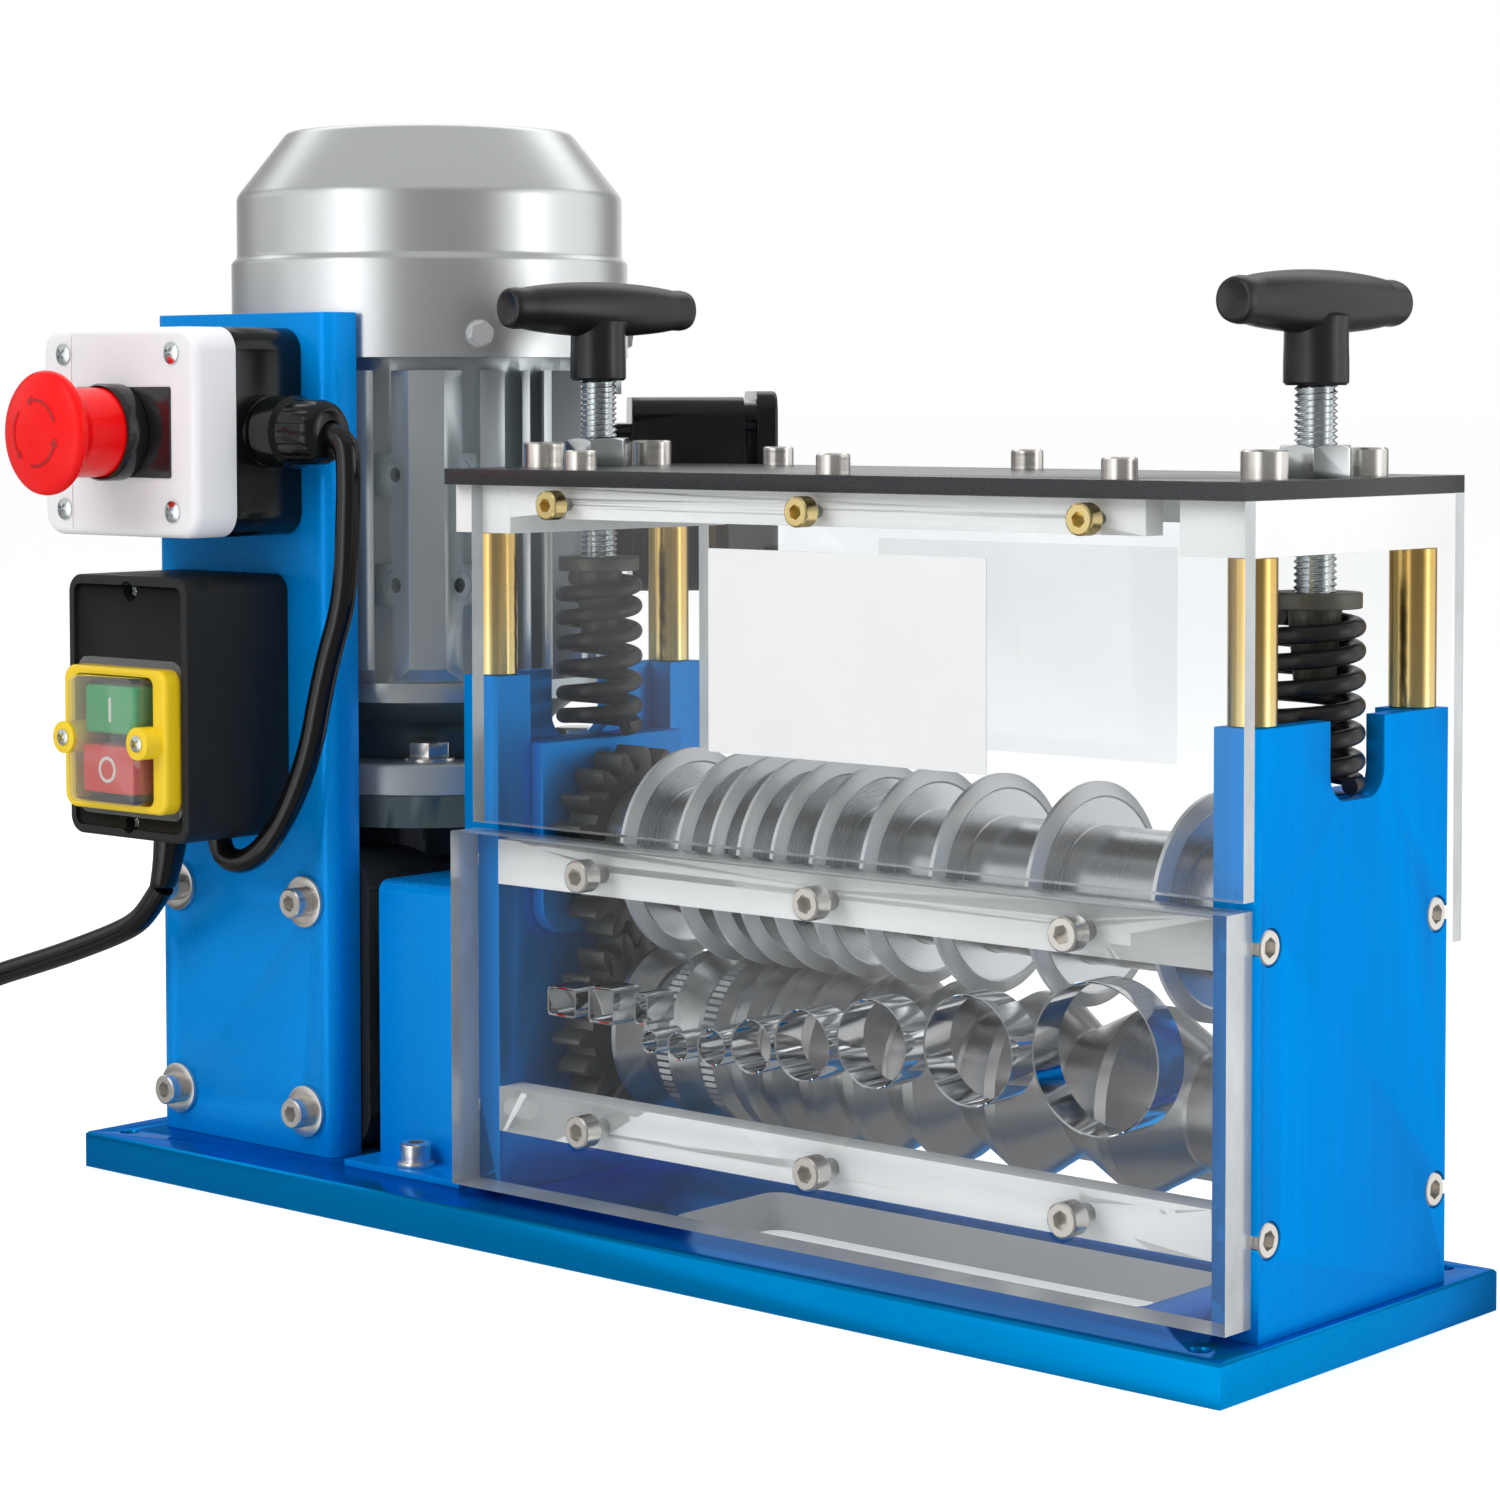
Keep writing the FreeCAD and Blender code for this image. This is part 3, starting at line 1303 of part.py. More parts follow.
def make_motor_housing():
    """The finned motor body; each quarter has a centre rib, cooling fins and two mounting pads."""
    piece = Piece("motor_housing")
    for diameter, bottom, top in (
        (s.housing_core_diameter, s.housing_bottom, s.housing_top),
        (s.housing_ring_diameter, s.housing_bottom, s.fin_bottom),
        (s.cover_diameter - 2 * s.cover_wall, s.cover_bottom, s.cover_bottom + s.spigot_height),
    ):
        piece.pad(piece.sketch("XY", bottom).circle(0, 0, diameter), top - bottom)
    trim, inner = s.fin_circle_diameter / 2, s.fin_root
    fins = piece.sketch("XY", s.fin_bottom)
    narrow, wide = s.rib_half_width, s.rib_half_width + s.rib_flare
    corners = [(inner, -wide), (trim - s.rib_flare, -wide), (trim, -narrow), (trim, narrow)]
    fins.path(corners + [(trim - s.rib_flare, wide), (inner, wide)])
    for low, width in (
        (s.thick_fin_start, s.thick_fin_width),
        (s.thin_fin_start, s.thin_fin_width),
        (s.thin_fin_start + s.thin_fin_pitch, s.thin_fin_width),
    ):
        draw_fin(fins, low, low + width, inner, trim)
        draw_fin(fins, -low - width, -low, inner, trim)
    ribs = piece.pad(fins, s.fin_top - s.fin_bottom)
    features = [ribs]
    slope = s.pad_half_width - narrow
    face = (trim + narrow) / math.sqrt(2)
    along = (trim - s.pad_hole_offset * 2 + narrow) / math.sqrt(2)
    for bottom in (s.lower_pad_bottom, s.upper_pad_bottom):
        pad = piece.sketch("XY", bottom)
        corners = [(inner, -s.pad_half_width), (trim - slope, -s.pad_half_width), (trim, -narrow)]
        corners += [(trim, narrow), (trim - slope, s.pad_half_width), (inner, s.pad_half_width)]
        features.append(piece.pad(pad.path(corners), s.pad_height))
        for side in (-1, 1):
            for diameter, depth in (
                (s.pad_spot_diameter, s.pad_spot_depth),
                (s.pad_hole_diameter, s.pad_hole_depth),
            ):
                sketch = piece.sketch("YZ")
                tilt = Rotation(Vector(0, 1, 0), 45 * side)
                sketch.sketch.AttachmentOffset = Placement(Vector(), tilt)
                bind(sketch.sketch, "AttachmentOffset.Base.x", face / math.sqrt(2) * side)
                bind(sketch.sketch, "AttachmentOffset.Base.z", face / math.sqrt(2))
                sketch.circle(along * -side, bottom + s.pad_height / 2, diameter)
                features.append(piece.cut(sketch, depth, -1))
    piece.ring("Z", 4, features)
    bevel = piece.sketch("XZ")
    beyond = trim + 1
    start = s.fin_bevel_start / 2
    rise = beyond - start
    bevel.path([(start, s.fin_bottom), (beyond, s.fin_bottom), (beyond, s.fin_bottom + rise)])
    piece.groove(bevel)
    flat = piece.sketch("XZ", s.terminal_seat)
    middle = (s.terminal_bottom + s.terminal_top) / 2
    flat.centred(as_size(0), middle, s.terminal_width + 2, s.terminal_top - s.terminal_bottom + 2)
    piece.cut(flat, s.terminal_seat_depth)
    bore = piece.sketch("XY", s.housing_top)
    bore.circle(0, 0, s.fan_shaft_diameter + 2 * s.running_clearance)
    piece.cut(bore, s.fan_shaft_depth + 1, -1)
    piece.place(s.motor_x, s.motor_y, turn=s.motor_turn)


def make_motor_flange():
    piece = Piece("motor_flange")
    flange, neck, top = s.flange_diameter / 2, s.neck_diameter / 2, s.neck_top_diameter / 2
    flare = (s.flange_top + s.housing_bottom) / 2
    corners = [(0, s.flange_bottom), (flange, s.flange_bottom), (flange, s.flange_top)]
    corners += [(neck, s.flange_top), (neck, flare), (top, s.housing_bottom), (0, s.housing_bottom)]
    piece.revolve(piece.sketch("XZ").path(corners))
    hole = piece.sketch("XY", s.flange_top).circle(s.flange_bolt_circle / 2, 0, s.screw_m8)
    hole = piece.cut(hole, s.flange_top - s.flange_bottom, -1)
    piece.ring("Z", 4, [hole])
    piece.place(s.motor_x, s.motor_y, turn=s.motor_turn)

    bolts = Piece("flange_bolts")
    x = s.flange_bolt_circle / 2
    bolts.pad(bolts.sketch("XY", s.flange_top).circle(x, 0, s.washer_diameter), s.washer_thickness)
    head = bolts.sketch("XY", s.flange_top + s.washer_thickness).hexagon(x, as_size(0), s.flange_bolt_flats)
    bolts.pad(head, s.flange_bolt_height)
    shank = bolts.sketch("XY", s.flange_top + s.washer_thickness).circle(x, 0, s.screw_m8)
    grip = s.flange_top - s.flange_bottom + s.input_hole_depth + s.washer_thickness
    bolts.pad(shank, grip, -1)
    bolts.ring("Z", 4)
    bolts.place(s.motor_x, s.motor_y, turn=s.motor_turn)


def make_terminal_box():
    """The motor's terminal box: a deep body on the finned housing and a lid on its outer end."""
    piece = Piece("terminal_box")
    width, corner = s.terminal_width, s.terminal_corner
    height, middle = s.terminal_top - s.terminal_bottom, (s.terminal_top + s.terminal_bottom) / 2
    neck_end = s.terminal_seat + s.terminal_neck_depth
    body_end = neck_end + s.terminal_body_depth
    lid_start = body_end + s.terminal_gap
    sections = (
        (s.terminal_seat, neck_end, width - 2 * corner, height - 2 * corner, corner / 2),
        (neck_end, body_end, width, height, corner),
        (body_end, lid_start, width - 4 * s.terminal_step, height - 2 * s.terminal_step, corner),
        (lid_start, lid_start + s.terminal_lid_depth, width + 2 * s.terminal_step,
         height + 2 * s.terminal_step, corner),
    )
    for start, end, across, tall, r in sections:
        section = piece.sketch("YZ", start).centred(as_size(0), middle, across, tall, r)
        piece.pad(section, end - start)
    front = lid_start + s.terminal_lid_depth
    piece.fillet(s.terminal_edge, lambda e: lies(e, x=front))
    bosses = piece.sketch("YZ", body_end)
    for i in (-1, 1):
        for k in (-1, 1):
            y, z = width / 2 - s.terminal_boss_inset, height / 2 - s.terminal_boss_inset
            bosses.circle(y * i, middle + z * k, s.terminal_boss_diameter)
    piece.pad(bosses, s.terminal_gap)
    piece.place(s.motor_x, s.motor_y, turn=s.terminal_turn)


def make_gearbox():
    piece = Piece("gearbox")
    foot = piece.sketch("XZ", bracket_back)
    low, high = s.foot_plate_bottom, s.foot_plate_bottom + s.foot_plate_height
    left, right = s.bracket_screw_x - s.foot_plate_width / 2, s.bracket_screw_x + s.foot_plate_width / 2
    piece.pad(foot.rectangle(left, low, right, high), foot_plate_thickness)
    side = s.gearbox_width / 2
    body = piece.sketch("XZ", gearbox_front)
    body.rounded(s.motor_x - side, plate_bottom, s.motor_x + side, s.gearbox_top, s.gearbox_corner)
    piece.pad(body, s.gearbox_back - gearbox_front)
    piece.fillet(s.gearbox_edge, lambda e: lies(e, y=s.gearbox_back))
    neck = piece.sketch("XY", s.gearbox_top - s.gearbox_edge)
    neck.circle(s.motor_x, s.motor_y, s.gearbox_neck_diameter)
    piece.pad(neck, s.input_flange_bottom - s.gearbox_top + s.gearbox_edge)
    disc = piece.sketch("XY", s.input_flange_bottom).circle(s.motor_x, s.motor_y, s.flange_diameter)
    piece.pad(disc, input_flange_top - s.input_flange_bottom)
    cover = piece.sketch("YZ", s.motor_x - side).circle(0, s.roller_axis_z, s.hub_cover_diameter)
    piece.pad(cover, s.hub_cover_height, -1)
    hub = piece.sketch("YZ", s.motor_x + side).circle(0, s.roller_axis_z, s.output_hub_diameter)
    piece.pad(hub, s.hub_cover_height)
    bore = piece.sketch("YZ", s.motor_x + side + s.hub_cover_height)
    piece.cut(bore.circle(0, s.roller_axis_z, running_journal), s.output_bore_depth, -1)
    tapped = piece.sketch("XZ", bracket_back)
    for x, z in BRACKET_SCREWS:
        tapped.circle(x, z, s.screw_m6)
    piece.cut(tapped, foot_plate_thickness)
    holes = piece.sketch("XY", input_flange_top)
    for i in range(4):
        turn = s.motor_turn + 90 * i
        x = s.motor_x + cosine(turn) * s.flange_bolt_circle / 2
        y = s.motor_y + sine(turn) * s.flange_bolt_circle / 2
        holes.circle(x, y, s.screw_m8)
    piece.cut(holes, s.input_hole_depth, -1)


def make_gear_cover():
    """A folded sheet over the shaft between the gearbox and the head, with a screwed foot in front."""
    piece = Piece("gear_cover")
    t, bend = s.gear_cover_sheet, s.gear_cover_bend
    outer, front, back = bend + t, s.gear_cover_front, s.gear_cover_back
    floor, top = s.base_thickness, s.gear_cover_top
    toe = front - s.gear_cover_foot
    corners = [(toe, floor), (front + t, floor), (front + t, top - outer), (front + outer, top - t)]
    corners += [(back - outer, top - t), (back - t, top - outer), (back - t, floor), (back, floor)]
    corners += [(back, top - outer), (back - outer, top), (front + outer, top), (front, top - outer)]
    corners += [(front, floor + t), (toe, floor + t)]
    profile = piece.sketch("YZ", s.gear_cover_left)
    profile.path(corners, {2: -bend, 4: -bend, 8: outer, 10: outer})
    piece.pad(profile, s.head_left - s.gear_cover_gap - s.gear_cover_left)
    hole = piece.sketch("XY", floor).circle(s.gear_cover_screw_x, gear_cover_screw_y, s.screw_m6)
    piece.cut(hole, t)


def make_motor_bracket():
    """The folded upright that carries both control boxes."""
    piece = Piece("motor_bracket")
    t, bend, outer = s.bracket_sheet, s.bracket_bend, s.bracket_bend + s.bracket_sheet
    left, right = s.bracket_left, s.bracket_left + s.bracket_width
    front, back = s.bracket_front, s.bracket_front + s.bracket_depth
    corners = [(left, back), (left, front + outer), (left + outer, front), (right - outer, front)]
    corners += [(right, front + outer), (right, back), (right - t, back), (right - t, front + outer)]
    corners += [(right - outer, front + t), (left + outer, front + t), (left + t, front + outer)]
    corners += [(left + t, back)]
    profile = piece.sketch("XY", s.base_thickness)
    profile.path(corners, {1: outer, 3: outer, 7: -bend, 9: -bend})
    piece.pad(profile, s.bracket_top - s.base_thickness)
    holes = piece.sketch("XZ", front)
    for x, z in BRACKET_SCREWS:
        holes.circle(x, z, s.screw_m6)
    piece.cut(holes, t)


def make_estop():
    """The emergency stop box; its button slides in and turns on its stem."""
    left, right = s.estop_left, s.estop_left + s.estop_width
    bottom, top = s.estop_bottom, s.estop_bottom + s.estop_height
    split = s.bracket_front - s.estop_base_depth
    front = split - s.estop_cover_depth
    collar_front = front - s.collar_length
    stem = s.stem_diameter / 2
    rest_gap = s.slide_clearance

    base = Piece("estop_base")
    base.pad(base.sketch("XZ", s.bracket_front).rounded(left, bottom, right, top, s.estop_corner),
             s.estop_base_depth, -1)
    cavity = base.sketch("XZ", split).circle(s.estop_x, s.estop_z, s.estop_cavity_diameter)
    base.cut(cavity, s.estop_cavity_depth)

    cover = Piece("estop_cover")
    cover.pad(cover.sketch("XZ", split).rounded(left, bottom, right, top, s.estop_corner),
              s.estop_cover_depth, -1)
    cover.fillet(s.estop_edge, lambda e: lies(e, y=front))
    plate = cover.sketch("XZ", front)
    plate.centred(s.estop_x, s.estop_z, s.label_plate_width, s.label_plate_height)
    cover.pad(plate, s.label_plate_thickness, -1)
    bore = cover.sketch("XZ", front - s.label_plate_thickness)
    bore.circle(s.estop_x, s.estop_z, s.stem_diameter + 2 * s.running_clearance)
    cover.cut(bore, s.estop_cover_depth + s.label_plate_thickness)

    collar = Piece("estop_collar")
    outer, bore = s.collar_diameter / 2, s.collar_bore / 2
    seat = front - s.label_plate_thickness
    floor, passage = seat - s.collar_floor, stem + rest_gap
    corners = [(passage, seat), (outer, seat), (outer, collar_front), (bore, collar_front)]
    corners += [(bore, floor), (passage, floor)]
    collar.revolve(collar.sketch("XY").path(corners))
    collar.place(x=s.estop_x, z=s.estop_z)

    neck_back = collar_front + s.neck_depth_in_collar
    hole_end = neck_back - s.mushroom_bore_depth
    rod = Piece("estop_stem")
    rod_front = hole_end + s.running_clearance
    retainer = split + rest_gap
    wide, thick = s.retainer_diameter / 2, s.retainer_thickness
    tail = retainer + thick + s.stem_tail
    corners = [(0, rod_front), (stem, rod_front), (stem, retainer), (wide, retainer)]
    corners += [(wide, retainer + thick), (stem, retainer + thick), (stem, tail), (0, tail)]
    rod.revolve(rod.sketch("XY").path(corners))
    rod.place(x=s.estop_x, z=s.estop_z)

    button = Piece("estop_mushroom")
    neck, rim, edge = s.mushroom_neck_diameter / 2, s.mushroom_diameter / 2, s.mushroom_edge
    flare = neck_back - s.mushroom_neck_length
    rim_back = flare - s.mushroom_flare
    rim_front = rim_back - s.mushroom_rim
    reach = rim - edge
    dome = (reach * reach + s.mushroom_dome * s.mushroom_dome) / (2 * s.mushroom_dome)
    hole = stem + s.running_clearance
    corners = [(0, hole_end), (0, rim_front - edge - s.mushroom_dome), (reach, rim_front - edge)]
    corners += [(rim, rim_front), (rim, rim_back), (neck, flare), (neck, neck_back)]
    corners += [(hole, neck_back), (hole, hole_end)]
    button.revolve(button.sketch("XY").path(corners, {1: dome, 2: edge}))
    button.place(x=s.estop_x, z=s.estop_z)

    gland = Piece("cable_gland")
    body, nut, bore = s.gland_body_diameter / 2, s.gland_nut_diameter / 2, s.cable_diameter / 2
    body_end, edge = right + s.gland_body_length, s.gland_dome
    depth = s.gland_bore_depth
    corners = [(right, 0), (right, body), (body_end, body), (body_end, nut), (s.gland_x - edge, nut)]
    corners += [(s.gland_x, nut - edge), (s.gland_x, bore), (s.gland_x - depth, bore)]
    corners += [(s.gland_x - depth, 0)]
    gland.revolve(gland.sketch("XZ").path(corners, {4: -edge}), "H_Axis")
    gland.place(y=s.gland_y, z=s.gland_z)


def make_switch():
    """The ON/OFF switch box with two push buttons behind a clear cover."""
    left, right = s.switch_left, s.switch_left + s.switch_width
    bottom, top = s.switch_bottom, s.switch_bottom + s.switch_height
    split = s.bracket_front - s.switch_base_depth
    front = split - s.switch_cover_depth
    face = front + s.switch_recess
    middle = left + s.switch_width / 2

    base = Piece("switch_base")
    base.pad(base.sketch("XZ", s.bracket_front).rounded(left, bottom, right, top, s.switch_corner),
             s.switch_base_depth, -1)
    entry = base.sketch("XY", bottom).circle(s.link_entry_x, s.link_entry_y, s.cable_diameter)
    base.cut(entry, s.link_entry_depth)

    cover = Piece("switch_cover")
    cover.pad(cover.sketch("XZ", split).rounded(left, bottom, right, top, s.switch_corner),
              s.switch_cover_depth, -1)
    cover.fillet(s.switch_edge, lambda e: lies(e, y=front))
    recess = cover.sketch("XZ", front)
    rim = s.switch_rim
    recess.rounded(left + rim, bottom + rim, right - rim, top - rim, s.switch_corner - rim)
    cover.cut(recess, s.switch_recess)
    wells, holes = cover.sketch("XZ", face), cover.sketch("XZ", front)
    gap = 2 * s.slide_clearance
    for i in (-1, 1):
        z = s.frame_z + s.button_spacing / 2 * i
        wells.centred(s.frame_x, z, s.button_width + gap, s.button_height + gap)
        z = (bottom + top) / 2 + s.switch_screw_spacing_z / 2 * i
        holes.circle(middle, z, s.switch_screw_hole)
    cover.cut(wells, s.switch_cover_depth - s.switch_recess)
    cover.cut(holes, s.switch_screw_depth)

    boot = Piece("switch_boot")
    plate = boot.sketch("XZ", face)
    plate.centred(s.frame_x, s.frame_z, s.boot_plate_width, s.boot_plate_height, s.frame_corner)
    boot.pad(plate, s.boot_flange, -1)
    wall = s.boot_wall
    boot_edge = s.boot_corner
    dome = boot.sketch("XZ", face).centred(s.frame_x, s.frame_z, s.boot_width, s.boot_height, boot_edge)
    boot.pad(dome, s.boot_depth, -1)
    room = boot.sketch("XZ", face)
    room.centred(s.frame_x, s.frame_z, s.boot_width - 2 * wall, s.boot_height - 2 * wall, boot_edge - wall)
    boot.cut(room, s.boot_depth - wall, -1)
    notches = boot.sketch("XZ", face)
    lugs = [s.frame_x - s.lug_spacing / 2, s.frame_x + s.lug_spacing / 2]
    for x in lugs:
        notches.circle(x, s.frame_z, s.lug_diameter + gap)
    boot.cut(notches, s.boot_depth, -1)

    frame = Piece("switch_frame")
    back = face - s.boot_flange
    bezel = frame.sketch("XZ", back)
    bezel.centred(s.frame_x, s.frame_z, s.frame_width, s.frame_height, s.frame_corner)
    frame.pad(bezel, s.frame_depth, -1)
    frame.fillet(s.frame_edge, lambda e: lies(e, y=back - s.frame_depth))
    window = frame.sketch("XZ", back)
    window.centred(s.frame_x, s.frame_z, s.frame_window_width, s.frame_window_height, boot_edge)
    frame.cut(window, s.frame_depth, -1)
    ears = frame.sketch("XZ", face)
    for x in lugs:
        ears.circle(x, s.frame_z, s.lug_diameter)
    frame.pad(ears, s.lug_height, -1)

    buttons = (("start_button", 1, s.start_button_proud), ("stop_button", -1, s.stop_button_proud))
    for label, i, proud in buttons:
        button = Piece(label)
        z = s.frame_z + s.button_spacing / 2 * i
        blank = button.sketch("XZ", face + s.button_well_depth)
        blank.centred(s.frame_x, z, s.button_width, s.button_height, s.button_corner)
        button.pad(blank, s.button_well_depth + proud, -1)
        button.fillet(s.button_edge, lambda e: lies(e, y=face - proud))


def make_enclosure_screws():
    """The cross-head screws of both control boxes."""
    piece = Piece("enclosure_screws")
    front = s.bracket_front - s.estop_base_depth - s.estop_cover_depth
    heads = piece.sketch("XZ", front)
    middle_x, middle_z = s.estop_left + s.estop_width / 2, s.estop_bottom + s.estop_height / 2
    for i in (-0.5, 0.5):
        for k in (-0.5, 0.5):
            x, z = middle_x + s.estop_screw_spacing_x * i, middle_z + s.estop_screw_spacing_z * k
            heads.circle(x, z, s.estop_screw_head)
    piece.pad(heads, s.estop_screw_height, -1)
    split = s.bracket_front - s.switch_base_depth
    bottom = split - s.switch_cover_depth + s.switch_screw_depth
    heads = piece.sketch("XZ", bottom)
    for i in (-0.5, 0.5):
        x, z = s.switch_left + s.switch_width / 2, s.switch_bottom + s.switch_height / 2
        heads.circle(x, z + s.switch_screw_spacing_z * i, s.switch_screw_hole - s.slide_clearance)
    piece.pad(heads, s.estop_screw_height, -1)
    face = split - s.switch_cover_depth + s.switch_recess
    heads = piece.sketch("XZ", face - s.lug_height)
    for i in (-0.5, 0.5):
        heads.circle(s.frame_x + s.lug_spacing * i, s.frame_z, s.lug_screw_head)
    piece.pad(heads, s.lug_screw_height, -1)


def arc_edge(start, tangent, end):
    """The arc, or the line where it is straight, that leaves start along tangent and reaches end."""
    chord = end - start
    along = Vector(chord).normalize()
    lean = tangent - along * tangent.dot(along)
    if lean.Length < 1e-7:
        return Part.LineSegment(start, end).toShape()
    half_turn = tangent.getAngle(chord)
    middle = (start + end) * 0.5 + lean.normalize() * (chord.Length / 2 * math.tan(half_turn / 2))
    return Part.Arc(start, middle, end).toShape()


def biarc(start, leaving, end, arriving):
    """Two arcs from start to end that keep both tangents."""
    chord, both = end - start, leaving + arriving
    cross, spread = chord.dot(both), 2 * (1 - leaving.dot(arriving))
    reach = (math.sqrt(cross**2 + spread * chord.dot(chord)) - cross) / spread
    joint = (start + end + (leaving - arriving) * reach) * 0.5
    first = arc_edge(start, leaving, joint)
    return [first, arc_edge(joint, first.tangentAt(first.LastParameter), end)]


def make_tube(label, edges, diameter):
    """A round tube swept along edges that follow one another smoothly."""
    start = edges[0].valueAt(edges[0].FirstParameter)
    direction = edges[0].tangentAt(edges[0].FirstParameter)
    ring = Part.Wire([Part.Circle(start, direction, float(diameter) / 2).toShape()])
    feature = doc.addObject("Part::Feature", label)
    feature.Shape = Part.Wire(edges).makePipeShell([ring], True, False)
    feature.Label = label


def make_spring(label, x, seat_bottom):
    """A pressure spring between its bearing block and its seat, with close end turns."""
    wire, gap = float(s.spring_wire), float(s.spring_gap)
    radius = (float(s.spring_diameter) - wire) / 2
    low = float(bearing_block_top) + gap + wire / 2
    high = float(seat_bottom) - gap - wire / 2
    turns, end_pitch = float(s.spring_turns), float(s.spring_end_pitch)
    pitch = (high - low - 2 * end_pitch) / (turns - 2)
    steps = round(turns * 4)

    def height(turn):
        if turn <= 1:
            return low + end_pitch * turn
        if turn >= turns - 1:
            return high - end_pitch * (turns - turn)
        return low + end_pitch + pitch * (turn - 1)

    def point(turn):
        angle = 2 * math.pi * turn
        return Vector(float(x) + radius * math.cos(angle), radius * math.sin(angle), height(turn))

    def tangent(turn):
        angle = 2 * math.pi * turn
        rise = (height(turn + 0.01) - height(turn - 0.01)) / 0.02 if 0 < turn < turns else end_pitch
        around = 2 * math.pi * radius
        return Vector(-around * math.sin(angle), around * math.cos(angle), rise).normalize()

    edges = []
    for i in range(steps):
        a, b = i / 4, (i + 1) / 4
        edges += biarc(point(a), tangent(a), point(b), tangent(b))
    make_tube(label, edges, wire)
    lead = math.atan(end_pitch / (2 * math.pi * radius))
    print("%s: least gap between turns %.2f" % (label, end_pitch * math.cos(lead) - wire))


def route_edges(label, points):
    """Straight runs joined by arcs, each arc as wide as its shorter run allows."""
    edges, corner_radii = [], []
    at = points[0]
    for i in range(1, len(points) - 1):
        before, after = points[i] - points[i - 1], points[i + 1] - points[i]
        turn = before.getAngle(after)
        reach = 0.45 * min(before.Length, after.Length)
        corner_radii.append(reach / math.tan(turn / 2))
        start = points[i] - Vector(before).normalize() * reach
        end = points[i] + Vector(after).normalize() * reach
        edges.append(Part.LineSegment(at, start).toShape())
        edges.append(arc_edge(start, Vector(before).normalize(), end))
        at = end
    edges.append(Part.LineSegment(at, points[-1]).toShape())
    print("%s: least bend radius %.1f" % (label, min(corner_radii)))
    return edges


